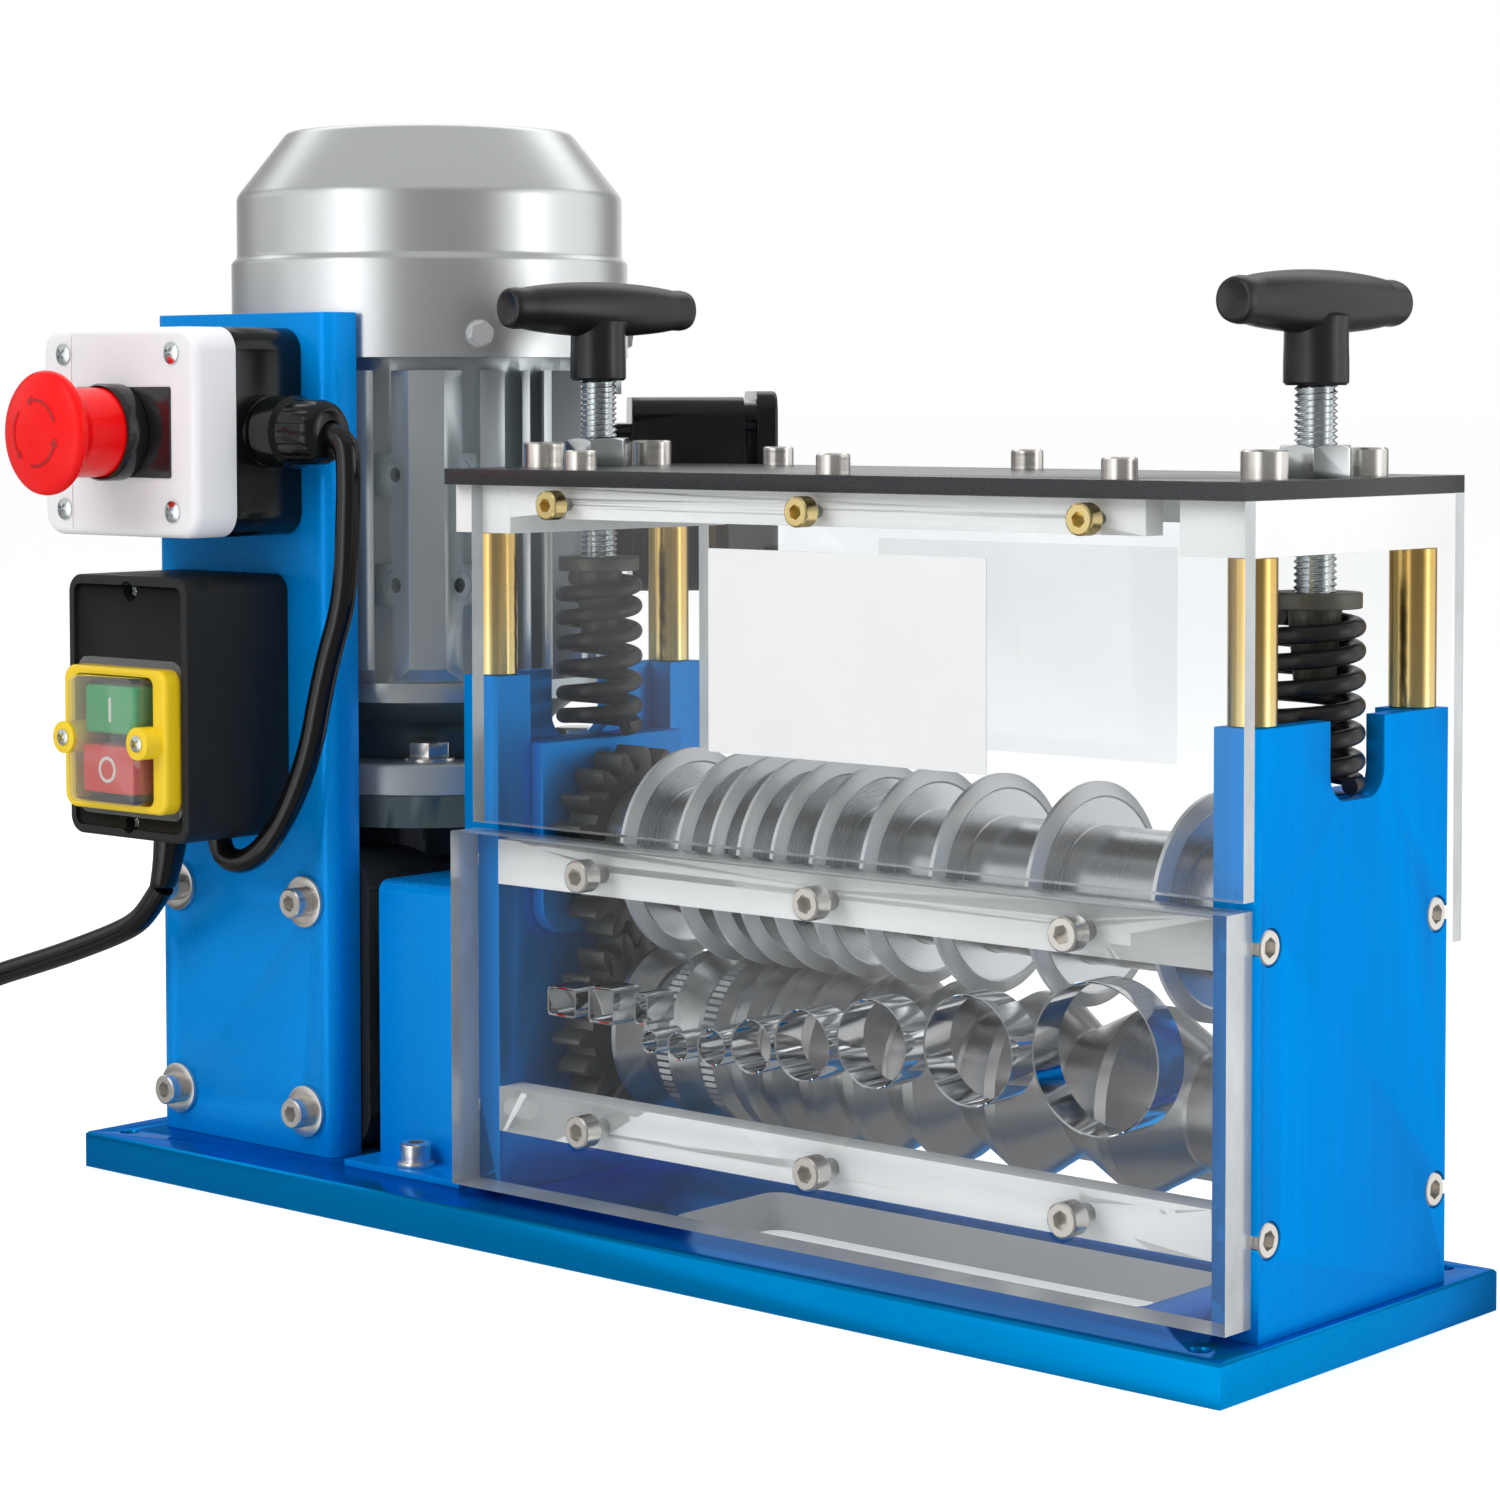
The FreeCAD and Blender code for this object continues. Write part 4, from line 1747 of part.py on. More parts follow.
def make_cables():
    """The cable between the two control boxes and the mains cord with its put-away coil and plug."""
    gland, y, z = float(s.gland_x), float(s.gland_y), float(s.gland_z)
    entry = Vector(float(s.link_entry_x), float(s.link_entry_y), float(s.switch_bottom))
    start = Vector(gland - float(s.gland_bore_depth), y, z)
    offsets = [
        (14.5, 0, 0), (1.1, 0, -14.5), (-0.8, 0, -14.5), (-0.7, 0, -14.7), (-2.5, 0, -13.6),
        (-5.7, 0, -13.2), (-4.9, 0, -15.0), (-4.1, 0, -15.6), (-7.4, 0, -15.2), (-8.8, -0.8, -13.6),
        (-10.2, -1.1, -9.8),
    ]
    points = [start]
    for step in offsets:
        points.append(points[-1] + Vector(*step))
    points += [entry + Vector(6.6, 0.2, -8.6), entry + Vector(0, 0, -4.4), entry + Vector(0, 0, 3.2)]
    make_tube("link_cable", route_edges("link_cable", points), s.cable_diameter)

    relief_end = s.switch_bottom - s.relief_length
    relief = Piece("strain_relief")
    tip, wide, collar = s.relief_tip_diameter / 2, s.relief_diameter / 2, s.relief_collar_diameter / 2
    shoulder = s.switch_bottom - s.relief_collar_height
    corners = [(0, relief_end), (tip, relief_end), (wide, shoulder), (collar, shoulder)]
    corners += [(collar, s.switch_bottom), (0, s.switch_bottom)]
    relief.revolve(relief.sketch("XZ").path(corners))
    relief.place(x=s.relief_x, y=s.relief_y)

    layer = float(s.cable_diameter) / 2
    coil_start = Vector(float(s.coil_x) + float(s.coil_lead), float(s.coil_y), layer)
    out = Vector(float(s.relief_x), float(s.relief_y), float(relief_end))
    steps = [
        (0, 0, -9.5), (-6.6, 0.1, -7.0), (-11.8, 0.1, -3.9), (-15.0, 0.2, -3.5), (-18.0, 0.2, -4.2),
        (-21.5, 0.1, -5.3), (-22.0, 0, -6.5), (-22.0, 0, -8.9), (-21.0, 0.1, -11.6), (-20.0, 0.1, -13.6),
        (-19.5, 0.1, -12.4),
    ]
    points = [out]
    for step in steps:
        points.append(points[-1] + Vector(*step))
    points += [Vector(coil_start.x + 17, coil_start.y, layer), coil_start]
    make_tube("power_cord", route_edges("power_cord", points), s.cable_diameter)

    shrink = s.coil_pitch / 2
    inward = [s.coil_outer_radius - shrink * i for i in range(5)]
    innermost = s.coil_outer_radius - shrink * 5
    top, x = float(layer + float(s.coil_layer)), float(s.coil_x)
    edges = [Part.LineSegment(coil_start, Vector(x, float(s.coil_y), layer)).toShape()]
    y = s.coil_y
    for i, radius in enumerate(inward + [innermost] + inward[::-1]):
        side = -1 if i % 2 == 0 else 1
        end = y + radius * 2 * side
        r, middle = float(radius), float(y + radius * side)
        if i == 5:
            slope = Vector(0, 1, 1.5 * (top - layer) / (math.pi * r)).normalize()
            low, high = Vector(x, float(y), layer), Vector(x, float(end), top)
            crest = Vector(x + r, middle, (layer + top) / 2)
            edges += biarc(low, Vector(1, 0, 0), crest, slope)
            edges += biarc(crest, slope, high, Vector(-1, 0, 0))
        else:
            z = layer if i < 5 else top
            low, high = Vector(x, float(y), z), Vector(x, float(end), z)
            edges.append(Part.Arc(low, Vector(x + r * side, middle, z), high).toShape())
        y = end
    tail_end = s.coil_x + s.coil_tail
    tail = Part.LineSegment(Vector(x, float(y), top), Vector(float(tail_end), float(y), top))
    edges.append(tail.toShape())
    make_tube("cord_coil", edges, s.cable_diameter)

    plug = Piece("mains_plug")
    grip, height = s.plug_grip_length, s.plug_height
    corners = [(0, 0), (0, s.plug_grip_diameter / 2), (grip, s.plug_grip_end_diameter / 2), (grip, 0)]
    plug.revolve(plug.sketch("XZ").path(corners), "H_Axis")
    block = plug.sketch("YZ", grip).centred(as_size(0), as_size(0), s.plug_width, height, s.plug_corner)
    plug.pad(block, s.plug_length)
    plug.fillet(s.plug_edge, lambda e: lies(e, x=grip) and not is_circle(e, s.plug_grip_end_diameter))
    face = grip + s.plug_length
    blades = plug.sketch("YZ", face)
    for i in (-0.5, 0.5):
        x = s.plug_blade_spacing * i
        blades.centred(x, s.plug_blade_lift, s.plug_blade_thickness, s.plug_blade_width)
    blades.circle(0, -s.plug_blade_lift, s.plug_pin_diameter)
    plug.pad(blades, s.plug_blade_length)
    plug.place(tail_end, y, s.cable_diameter / 2 + s.coil_layer)


def write_parts():
    """Checks every piece and writes it as parts/NODE.step."""
    doc.recompute()
    for item in doc.Objects:
        if "Invalid" in item.State or "Error" in item.State:
            raise RuntimeError("%s is not sound: %s" % (item.Label, item.State))
    os.makedirs("parts", exist_ok=True)
    pieces = [o for o in doc.Objects if o.isDerivedFrom("PartDesign::Body") or o.TypeId == "Part::Feature"]
    for piece in pieces:
        if piece.Shape.isNull() or not piece.Shape.isValid() or not piece.Shape.Solids:
            raise RuntimeError("%s has no valid solid" % piece.Label)
        piece.Shape.exportStep("parts/%s.step" % piece.Label)
    print("%d parts written" % len(pieces))


make_base_plate()
make_side_plate("left_side_plate", s.head_left, 1, True)
make_side_plate("right_side_plate", head_right, -1, False)
make_top_posts()
make_cross_blocks()
make_top_plate()
make_guard_bars()
make_cross_bars()
make_upper_guards()
make_front_panel()
make_wire_guides()
make_screws()
make_bearing_blocks()
make_bearings()
make_cutter_shaft()
make_gear("upper_gear", cutter_axis_z, s.shaft_diameter, False)
make_gear("lower_gear", s.roller_axis_z, s.journal_diameter, True)
make_feed_roller()
make_spring("left_spring", left_screw_x, s.left_seat_top - s.seat_thickness)
make_spring("right_spring", right_screw_x, s.right_seat_top - s.seat_thickness)
make_pressure_screw("left", left_screw_x, s.left_seat_top, s.left_handle_turn)
make_pressure_screw("right", right_screw_x, s.right_seat_top, s.right_handle_turn)
make_lock_nuts()
make_fan_cover()
make_motor_fan()
make_motor_housing()
make_motor_flange()
make_terminal_box()
make_gearbox()
make_gear_cover()
make_motor_bracket()
make_estop()
make_switch()
make_enclosure_screws()
make_cables()
write_parts()
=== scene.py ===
"""Looks of the wire stripping machine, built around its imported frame.

Every length inside the classes is in millimetres, in the axes of the CAD model. deliver() turns a shaped
piece into its finished mesh in metres, dresses it and hangs it on the body of the node it belongs to.
"""

import json
import logging
import math
import random
from dataclasses import dataclass
from enum import Enum
from typing import Callable, Iterable, Optional, Sequence, Union

import bmesh
import bpy
from mathutils import Matrix, Vector


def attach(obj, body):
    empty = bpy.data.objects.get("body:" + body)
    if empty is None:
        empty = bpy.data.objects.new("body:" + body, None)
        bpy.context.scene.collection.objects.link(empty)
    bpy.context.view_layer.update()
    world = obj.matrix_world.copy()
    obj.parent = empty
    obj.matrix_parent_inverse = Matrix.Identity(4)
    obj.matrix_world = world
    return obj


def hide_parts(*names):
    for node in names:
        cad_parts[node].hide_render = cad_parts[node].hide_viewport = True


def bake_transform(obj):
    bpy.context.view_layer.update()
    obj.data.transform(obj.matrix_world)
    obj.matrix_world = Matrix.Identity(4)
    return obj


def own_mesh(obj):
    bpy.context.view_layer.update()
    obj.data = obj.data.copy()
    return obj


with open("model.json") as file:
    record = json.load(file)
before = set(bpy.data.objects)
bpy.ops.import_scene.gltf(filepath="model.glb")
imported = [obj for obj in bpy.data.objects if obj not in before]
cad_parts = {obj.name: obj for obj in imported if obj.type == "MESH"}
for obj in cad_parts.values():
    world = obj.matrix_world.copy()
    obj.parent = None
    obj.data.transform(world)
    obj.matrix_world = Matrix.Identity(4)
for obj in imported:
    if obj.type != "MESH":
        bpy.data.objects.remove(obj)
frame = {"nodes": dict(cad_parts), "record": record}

Point = tuple[float, float, float]
Colour = tuple[float, float, float]
Profile = Sequence[tuple[float, float]]
Edge = tuple[float, float]
Piece = bpy.types.Object
Value = Union[bpy.types.NodeSocket, float, int, bool, str, Sequence[float]]
Given = Callable[[str], Value]

LOG = logging.getLogger("wire_stripping_machine")
MM = 0.001
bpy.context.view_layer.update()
NODE_BODY = {n: body for body, nodes in frame["record"]["behaviour"]["bodies"].items() for n in nodes}
SEED = 20
UP, FRONT, BACK = (0.0, 0.0, 1.0), (0.0, -1.0, 0.0), (0.0, 1.0, 0.0)
RIGHT, LEFT = (1.0, 0.0, 0.0), (-1.0, 0.0, 0.0)


class Axis(Enum):
    """The axis that a turned piece is turned about, as the matrix that takes Z to it."""

    X = Matrix(((0, 0, 1), (0, 1, 0), (-1, 0, 0)))
    Y = Matrix(((1, 0, 0), (0, 0, 1), (0, -1, 0)))
    Z = Matrix.Identity(3)


# Node trees


class Graph:
    """A node tree that is being filled, for shaders and for geometry alike."""

    def __init__(self, tree: bpy.types.NodeTree) -> None:
        """Keep the tree whose nodes are added."""
        self.tree = tree

    def put(self, socket: bpy.types.NodeSocket, value: Value) -> None:
        """Link an input to another node's output, or set it to a plain value."""
        if isinstance(value, bpy.types.NodeSocket):
            self.tree.links.new(value, socket)
        else:
            socket.default_value = value

    def add(self, kind: str, settings: Optional[dict] = None, **inputs: Value) -> bpy.types.Node:
        """Add a node.

        Args:
            kind: Blender's name for the node type.
            settings: The node's own properties.
            inputs: Values or sockets for the inputs, with underscores for the spaces in their names.

        Returns:
            The new node.
        """
        node = self.tree.nodes.new(kind)
        for name, value in (settings or {}).items():
            setattr(node, name, value)
        for name, value in inputs.items():
            self.put(node.inputs[name.replace("_", " ")], value)
        return node

    def math(self, operation: str, *values: Value) -> bpy.types.NodeSocket:
        """Return the result of one arithmetic step on up to three values."""
        node = self.add("ShaderNodeMath", {"operation": operation})
        for i, value in enumerate(values):
            self.put(node.inputs[i], value)
        return node.outputs[0]

    def vector_math(self, operation: str, *values: Value) -> bpy.types.NodeSocket:
        """Return the result of one vector step, which is a number for a length or a dot product."""
        node = self.add("ShaderNodeVectorMath", {"operation": operation})
        for i, value in enumerate(values):
            self.put(node.inputs["Scale" if operation == "SCALE" and i else i], value)
        return node.outputs["Value" if operation in ("LENGTH", "DOT_PRODUCT", "DISTANCE") else "Vector"]

    def spread(self, value: Value, low: float, high: float, to_low: Value,
               to_high: Value) -> bpy.types.NodeSocket:
        """Map a value from one range to another and hold it inside the second."""
        node = self.add("ShaderNodeMapRange", None, Value=value)
        for name, number in (("From Min", low), ("From Max", high), ("To Min", to_low), ("To Max", to_high)):
            self.put(node.inputs[name], number)
        return node.outputs["Result"]

    def mix(self, factor: Value, first: Value, second: Value) -> bpy.types.NodeSocket:
        """Return a colour between two others."""
        node = self.add("ShaderNodeMix", {"data_type": "RGBA"})
        for index, value in ((0, factor), (6, first), (7, second)):
            opaque = isinstance(value, tuple) and len(value) == 3
            self.put(node.inputs[index], (*value, 1.0) if opaque else value)
        return node.outputs[2]

    def compose(self, x: Value, y: Value, z: Value) -> bpy.types.NodeSocket:
        """Return a vector made of three numbers."""
        return self.add("ShaderNodeCombineXYZ", None, X=x, Y=y, Z=z).outputs[0]

    def split(self, vector: Value) -> tuple[bpy.types.NodeSocket, ...]:
        """Return a vector's three numbers."""
        node = self.add("ShaderNodeSeparateXYZ", None, Vector=vector)
        return tuple(node.outputs)


def effect(name: str, inputs: dict[str, Value], outputs: Sequence[str],
           fill: Callable[[Graph, Given], Sequence[Value]]) -> bpy.types.NodeTree:
    """Build a shader node group once and hand it out from then on.

    Args:
        name: The group's name.
        inputs: The input names with their default values; three numbers make a vector.
        outputs: The output names, all of them numbers.
        fill: Adds the nodes and returns the sockets for the outputs.

    Returns:
        The node group.
    """
    known = bpy.data.node_groups.get(name)
    if known:
        return known
    tree = bpy.data.node_groups.new(name, "ShaderNodeTree")
    for title, default in inputs.items():
        kind = "NodeSocketVector" if isinstance(default, tuple) else "NodeSocketFloat"
        tree.interface.new_socket(title, in_out="INPUT", socket_type=kind).default_value = default
    for title in outputs:
        tree.interface.new_socket(title, in_out="OUTPUT", socket_type="NodeSocketFloat")
    graph = Graph(tree)
    source, sink = graph.add("NodeGroupInput"), graph.add("NodeGroupOutput")
    for title, socket in zip(outputs, fill(graph, lambda title: source.outputs[title])):
        graph.put(sink.inputs[title], socket)
    return tree


def brushed_marks() -> bpy.types.NodeTree:
    """Return the group that draws fine straight marks; Stretch is their count per metre on each axis."""

    def fill(graph: Graph, given: Given) -> Sequence[Value]:
        """Add two layers of stretched noise."""
        at = graph.vector_math("MULTIPLY", given("Vector"), given("Stretch"))
        fine = graph.add("ShaderNodeTexNoise", None, Vector=at, Scale=1.0, Detail=4.0, Roughness=0.65)
        coarse = graph.add("ShaderNodeTexNoise", None, Vector=graph.vector_math("SCALE", at, 0.16), Scale=1.0)
        most = graph.math("MULTIPLY", fine.outputs["Fac"], 0.6)
        both = graph.math("MULTIPLY_ADD", coarse.outputs["Fac"], 0.4, most)
        return (graph.spread(both, 0.32, 0.68, 0.0, 1.0),)

    return effect("brushed marks", {"Vector": (0, 0, 0), "Stretch": (500, 500, 12)}, ("Mark",), fill)


def lathe_marks() -> bpy.types.NodeTree:
    """Return the group that draws the rings a lathe leaves, round the X axis of the vector it is given."""

    def fill(graph: Graph, given: Given) -> Sequence[Value]:
        """Add noise that changes along the axis and with the radius only."""
        x, y, z = graph.split(given("Vector"))
        squares = graph.math("ADD", graph.math("POWER", y, 2.0), graph.math("POWER", z, 2.0))
        radius = graph.math("SQRT", squares)
        at = graph.vector_math("MULTIPLY", graph.compose(x, radius, 0.0), given("Density"))
        rings = graph.add("ShaderNodeTexNoise", None, Vector=at, Scale=1.0, Detail=3.0, Roughness=0.7)
        return (graph.spread(rings.outputs["Fac"], 0.3, 0.7, 0.0, 1.0),)

    return effect("lathe marks", {"Vector": (0, 0, 0), "Density": (1500, 1500, 0)}, ("Mark",), fill)


def cast_skin() -> bpy.types.NodeTree:
    """Return the group for the pebbled skin of castings and moulded plastic; Size is a pebble in metres."""

    def fill(graph: Graph, given: Given) -> Sequence[Value]:
        """Add pebbles and a little finer noise on them."""
        at = graph.vector_math("SCALE", given("Vector"), graph.math("DIVIDE", 1.0, given("Size")))
        pebbles = graph.add("ShaderNodeTexVoronoi", {"feature": "SMOOTH_F1"}, Vector=at, Scale=1.0,
                            Smoothness=0.6)
        fine = graph.add("ShaderNodeTexNoise", None, Vector=at, Scale=1.7, Detail=3.0)
        grit = graph.math("MULTIPLY", fine.outputs["Fac"], 0.7)
        height = graph.math("ADD", pebbles.outputs["Distance"], grit)
        return (graph.spread(height, 0.2, 1.3, 0.0, 1.0),)

    return effect("cast skin", {"Vector": (0, 0, 0), "Size": 0.0006}, ("Height",), fill)


def handling() -> bpy.types.NodeTree:
    """Return the group for the wide soft unevenness that handling leaves on a surface."""

    def fill(graph: Graph, given: Given) -> Sequence[Value]:
        """Add wide noise with a warp in it."""
        noise = graph.add("ShaderNodeTexNoise", None, Vector=given("Vector"), Scale=given("Scale"),
                          Detail=5.0, Roughness=0.55, Distortion=0.6)
        return (graph.spread(noise.outputs["Fac"], 0.3, 0.7, 0.0, 1.0),)

    return effect("handling", {"Vector": (0, 0, 0), "Scale": 14.0}, ("Mask",), fill)


def worn_edges() -> bpy.types.NodeTree:
    """Return the group that finds the outer edges of a piece, broken up as real wear is."""

    def fill(graph: Graph, given: Given) -> Sequence[Value]:
        """Compare the true normal with one that is rounded over the edges."""
        rounded = graph.add("ShaderNodeBevel", {"samples": 4}, Radius=given("Radius")).outputs[0]
        true = graph.add("ShaderNodeNewGeometry").outputs["Normal"]
        bend = graph.math("SUBTRACT", 1.0, graph.vector_math("DOT_PRODUCT", rounded, true))
        noise = graph.add("ShaderNodeTexNoise", None, Vector=given("Vector"), Scale=320.0, Detail=4.0)
        patchy = graph.math("MULTIPLY", bend, graph.spread(noise.outputs["Fac"], 0.42, 0.6, 0.15, 1.0))
        return (graph.spread(patchy, 0.03, 0.22, 0.0, 1.0),)

    return effect("worn edges", {"Vector": (0, 0, 0), "Radius": 0.0006}, ("Mask",), fill)


# Finishes


class Grain(Enum):
    """What the eye sees of a surface close by."""

    SMOOTH = "smooth"
    BRUSHED = "brushed"
    TURNED = "turned"
    PEBBLED = "pebbled"


@dataclass(frozen=True)
class Finish:
    """An opaque finish: one colour with its grain, unevenness and worn edges.

    Grain scales are counts per metre; depth and pebble are in metres. centre and axis place lathe marks.
    shine is the strength of the gloss on a bare or lacquered surface, and edge_colour tints what the
    surface mirrors when it is looked at flatly.
    """

    name: str
    colour: Colour
    roughness: float
    metallic: float = 0.0
    grain: Grain = Grain.SMOOTH
    stretch: Point = (700.0, 700.0, 14.0)
    pebble: float = 0.0006
    depth: float = 0.00002
    grain_tone: float = 0.12
    grain_rough: float = 0.12
    uneven: float = 0.06
    wear: float = 0.0
    wear_colour: Colour = (0.6, 0.62, 0.64)
    coat: float = 0.0
    coat_roughness: float = 0.12
    shine: float = 0.5
    edge_colour: Colour = (1.0, 1.0, 1.0)
    centre: Point = (0.0, 0.0, 0.0)
    axis: Axis = Axis.X

    def material(self) -> bpy.types.Material:
        """Return the finish's material, built at the first call."""
        return bpy.data.materials.get(self.name) or self.build()

    def colour_at(self, graph: Graph, place: Value) -> Value:
        """Return the colour before grain and wear; other kinds of finish change it over the surface."""
        return (*self.colour, 1.0)

    def grain_mark(self, graph: Graph, place: Value) -> Optional[Value]:
        """Return the grain's pattern from 0 to 1, or None for a smooth finish."""
        if self.grain is Grain.BRUSHED:
            node = graph.add("ShaderNodeGroup", {"node_tree": brushed_marks()}, Vector=place,
                             Stretch=self.stretch)
            return node.outputs["Mark"]
        if self.grain is Grain.TURNED:
            moved = graph.vector_math("SUBTRACT", place, self.centre)
            x, y, z = graph.split(moved)
            order = {Axis.X: (x, y, z), Axis.Y: (y, x, z), Axis.Z: (z, x, y)}[self.axis]
            node = graph.add("ShaderNodeGroup", {"node_tree": lathe_marks()}, Vector=graph.compose(*order),
                             Density=self.stretch)
            return node.outputs["Mark"]
        if self.grain is Grain.PEBBLED:
            node = graph.add("ShaderNodeGroup", {"node_tree": cast_skin()}, Vector=place, Size=self.pebble)
            return node.outputs["Height"]
        return None

    def build(self) -> bpy.types.Material:
        """Make the material."""
        material = bpy.data.materials.new(self.name)
        material.use_nodes = True
        graph = Graph(material.node_tree)
        shader = material.node_tree.nodes["Principled BSDF"]
        place = graph.add("ShaderNodeTexCoord").outputs["Object"]
        mask = graph.add("ShaderNodeGroup", {"node_tree": handling()}, Vector=place).outputs["Mask"]
        colour = self.colour_at(graph, place)
        darker = graph.add("ShaderNodeHueSaturation", None, Color=colour, Value=1.0 - self.uneven)
        colour = graph.mix(mask, colour, darker.outputs[0])
        rough = graph.spread(mask, 0.0, 1.0, self.roughness * (1 - self.uneven),
                             self.roughness * (1 + self.uneven))
        mark = self.grain_mark(graph, place)
        if mark is not None:
            deeper = graph.add("ShaderNodeHueSaturation", None, Color=colour, Value=1.0 - self.grain_tone)
            colour = graph.mix(mark, deeper.outputs[0], colour)
            rough = graph.math("ADD", rough, graph.math("MULTIPLY", mark, self.grain_rough))
            bump = graph.add("ShaderNodeBump", None, Strength=1.0, Distance=self.depth, Height=mark)
            graph.put(shader.inputs["Normal"], bump.outputs[0])
        if self.wear:
            edge = graph.add("ShaderNodeGroup", {"node_tree": worn_edges()}, Vector=place).outputs["Mask"]
            colour = graph.mix(graph.math("MULTIPLY", edge, self.wear), colour, self.wear_colour)
        graph.put(shader.inputs["Base Color"], colour)
        graph.put(shader.inputs["Roughness"], rough)
        shader.inputs["Metallic"].default_value = self.metallic
        shader.inputs["Specular IOR Level"].default_value = self.shine
        shader.inputs["Specular Tint"].default_value = (*self.edge_colour, 1.0)
        shader.inputs["Coat Weight"].default_value = self.coat
        shader.inputs["Coat Roughness"].default_value = self.coat_roughness
        return material


@dataclass(frozen=True)
class Yellowed(Finish):
    """Yellow zinc plating, whose colour drifts with height between two tones."""

    pale: Colour = (0.80, 0.72, 0.42)
    period: float = 0.021

    def colour_at(self, graph: Graph, place: Value) -> Value:
        """Return a colour that swings between gold and pale zinc along the height."""
        height = graph.split(place)[2]
        noise = graph.add("ShaderNodeTexNoise", None, Vector=place, Scale=60.0, Detail=2.0).outputs["Fac"]
        wave = graph.math("SINE", graph.math("ADD", graph.math("DIVIDE", height, self.period), noise))
        return graph.mix(graph.spread(wave, -1.0, 1.0, 0.0, 0.75), self.colour, self.pale)


@dataclass(frozen=True)
class Clear:
    """A clear plastic that is seen straight through and mirrors its surroundings faintly.

    mirror multiplies what bare plastic would mirror, and haze is the share of the surface that is milky.
    """

    name: str
    tint: Colour = (0.982, 0.99, 0.994)
    roughness: float = 0.015
    mirror: float = 1.2
    haze: float = 0.006
    haze_colour: Colour = (0.75, 0.80, 0.84)
    bending: float = 1.49
    most_mirrored: float = 0.9

    def material(self) -> bpy.types.Material:
        """Return the finish's material, built at the first call."""
        return bpy.data.materials.get(self.name) or self.build()

    def build(self) -> bpy.types.Material:
        """Make a film that lets light through and mirrors more of it the flatter it is looked at."""
        material = bpy.data.materials.new(self.name)
        material.use_nodes = True
        graph = Graph(material.node_tree)
        haze, output = (material.node_tree.nodes[n] for n in ("Principled BSDF", "Material Output"))
        place = graph.add("ShaderNodeTexCoord").outputs["Object"]
        handled = graph.add("ShaderNodeGroup", {"node_tree": handling()}, Vector=place, Scale=9.0)
        mask = handled.outputs["Mask"]
        graph.put(haze.inputs["Base Color"], (*self.haze_colour, 1.0))
        graph.put(haze.inputs["Roughness"], graph.spread(mask, 0.0, 1.0, 0.35, 0.5))
        through = graph.add("ShaderNodeBsdfTransparent", None, Color=(*self.tint, 1.0))
        gloss = graph.add("ShaderNodeBsdfGlossy", None, Color=(1.0, 1.0, 1.0, 1.0))
        blur = graph.spread(mask, 0.0, 1.0, self.roughness, self.roughness * 2.5)
        graph.put(gloss.inputs["Roughness"], blur)
        clouded = graph.add("ShaderNodeMixShader")
        graph.put(clouded.inputs[0], graph.spread(mask, 0.0, 1.0, self.haze * 0.6, self.haze * 1.4))
        graph.put(clouded.inputs[1], through.outputs[0])
        graph.put(clouded.inputs[2], haze.outputs[0])
        outside = graph.math("SUBTRACT", 1.0, graph.add("ShaderNodeNewGeometry").outputs["Backfacing"])
        fresnel = graph.add("ShaderNodeFresnel", None, IOR=self.bending).outputs[0]
        mirrored = graph.math("MULTIPLY", graph.math("MULTIPLY", fresnel, self.mirror), outside)
        both = graph.add("ShaderNodeMixShader")
        graph.put(both.inputs[0], graph.math("MINIMUM", mirrored, self.most_mirrored))
        graph.put(both.inputs[1], clouded.outputs[0])
        graph.put(both.inputs[2], gloss.outputs[0])
        graph.put(output.inputs["Surface"], both.outputs[0])
        return material


AZURE = (0.0, 0.28, 0.80)
BLUE_PLATE = Finish("blue anodised plate", AZURE, 0.30, 0.5, Grain.BRUSHED, (900, 900, 9), depth=0.00003,
                    grain_tone=0.14, grain_rough=0.1, wear=0.4, wear_colour=(0.02, 0.56, 0.86), shine=0.02,
                    edge_colour=(0.08, 0.42, 0.92))
BLUE_BASE = Finish("blue anodised base", (0.0, 0.27, 0.66), 0.16, 0.75, Grain.BRUSHED, (9, 700, 700),
                   depth=0.00001, grain_tone=0.10, grain_rough=0.06, wear=0.6, wear_colour=(0.02, 0.62, 0.78),
                   shine=0.02, edge_colour=(0.03, 0.30, 0.72))
BLUE_SHEET = Finish("blue lacquered sheet", (0.0, 0.28, 0.80), 0.25, 0.2, Grain.PEBBLED, pebble=0.0015,
                    depth=0.00001, grain_tone=0.03, grain_rough=0.03, shine=0.08)
WHITE_BAR = Finish("satin white bar", (0.88, 0.88, 0.87), 0.5, 0.0, Grain.BRUSHED, (14, 800, 800),
                   depth=0.000008, grain_tone=0.02, grain_rough=0.04, wear=0.3,
                   wear_colour=(0.94, 0.94, 0.94), shine=0.2)
DECK_BLACK = Finish("black anodised deck", (0.030, 0.032, 0.036), 0.22, 0.2, Grain.PEBBLED, pebble=0.0006,
                    depth=0.000012, grain_tone=0.35, wear=0.5, wear_colour=(0.25, 0.25, 0.26))
GOLD_POST = Yellowed("yellow zinc post", (0.84, 0.56, 0.18), 0.20, 1.0, Grain.TURNED, (0, 900, 0),
                     depth=0.000005, grain_tone=0.08, grain_rough=0.05, pale=(0.92, 0.80, 0.42))
GOLD_SCREW = Yellowed("yellow zinc screw", (0.88, 0.64, 0.22), 0.24, 1.0, wear=0.3,
                      wear_colour=(0.95, 0.85, 0.55), pale=(0.92, 0.76, 0.38), period=0.004)
NICKEL = Finish("nickel plated screw", (0.80, 0.77, 0.72), 0.24, 0.9, uneven=0.1, wear=0.5,
                wear_colour=(0.93, 0.91, 0.88))
ZINC = Finish("bright zinc thread", (0.74, 0.78, 0.79), 0.22, 1.0, wear=0.3, wear_colour=(0.9, 0.92, 0.93))
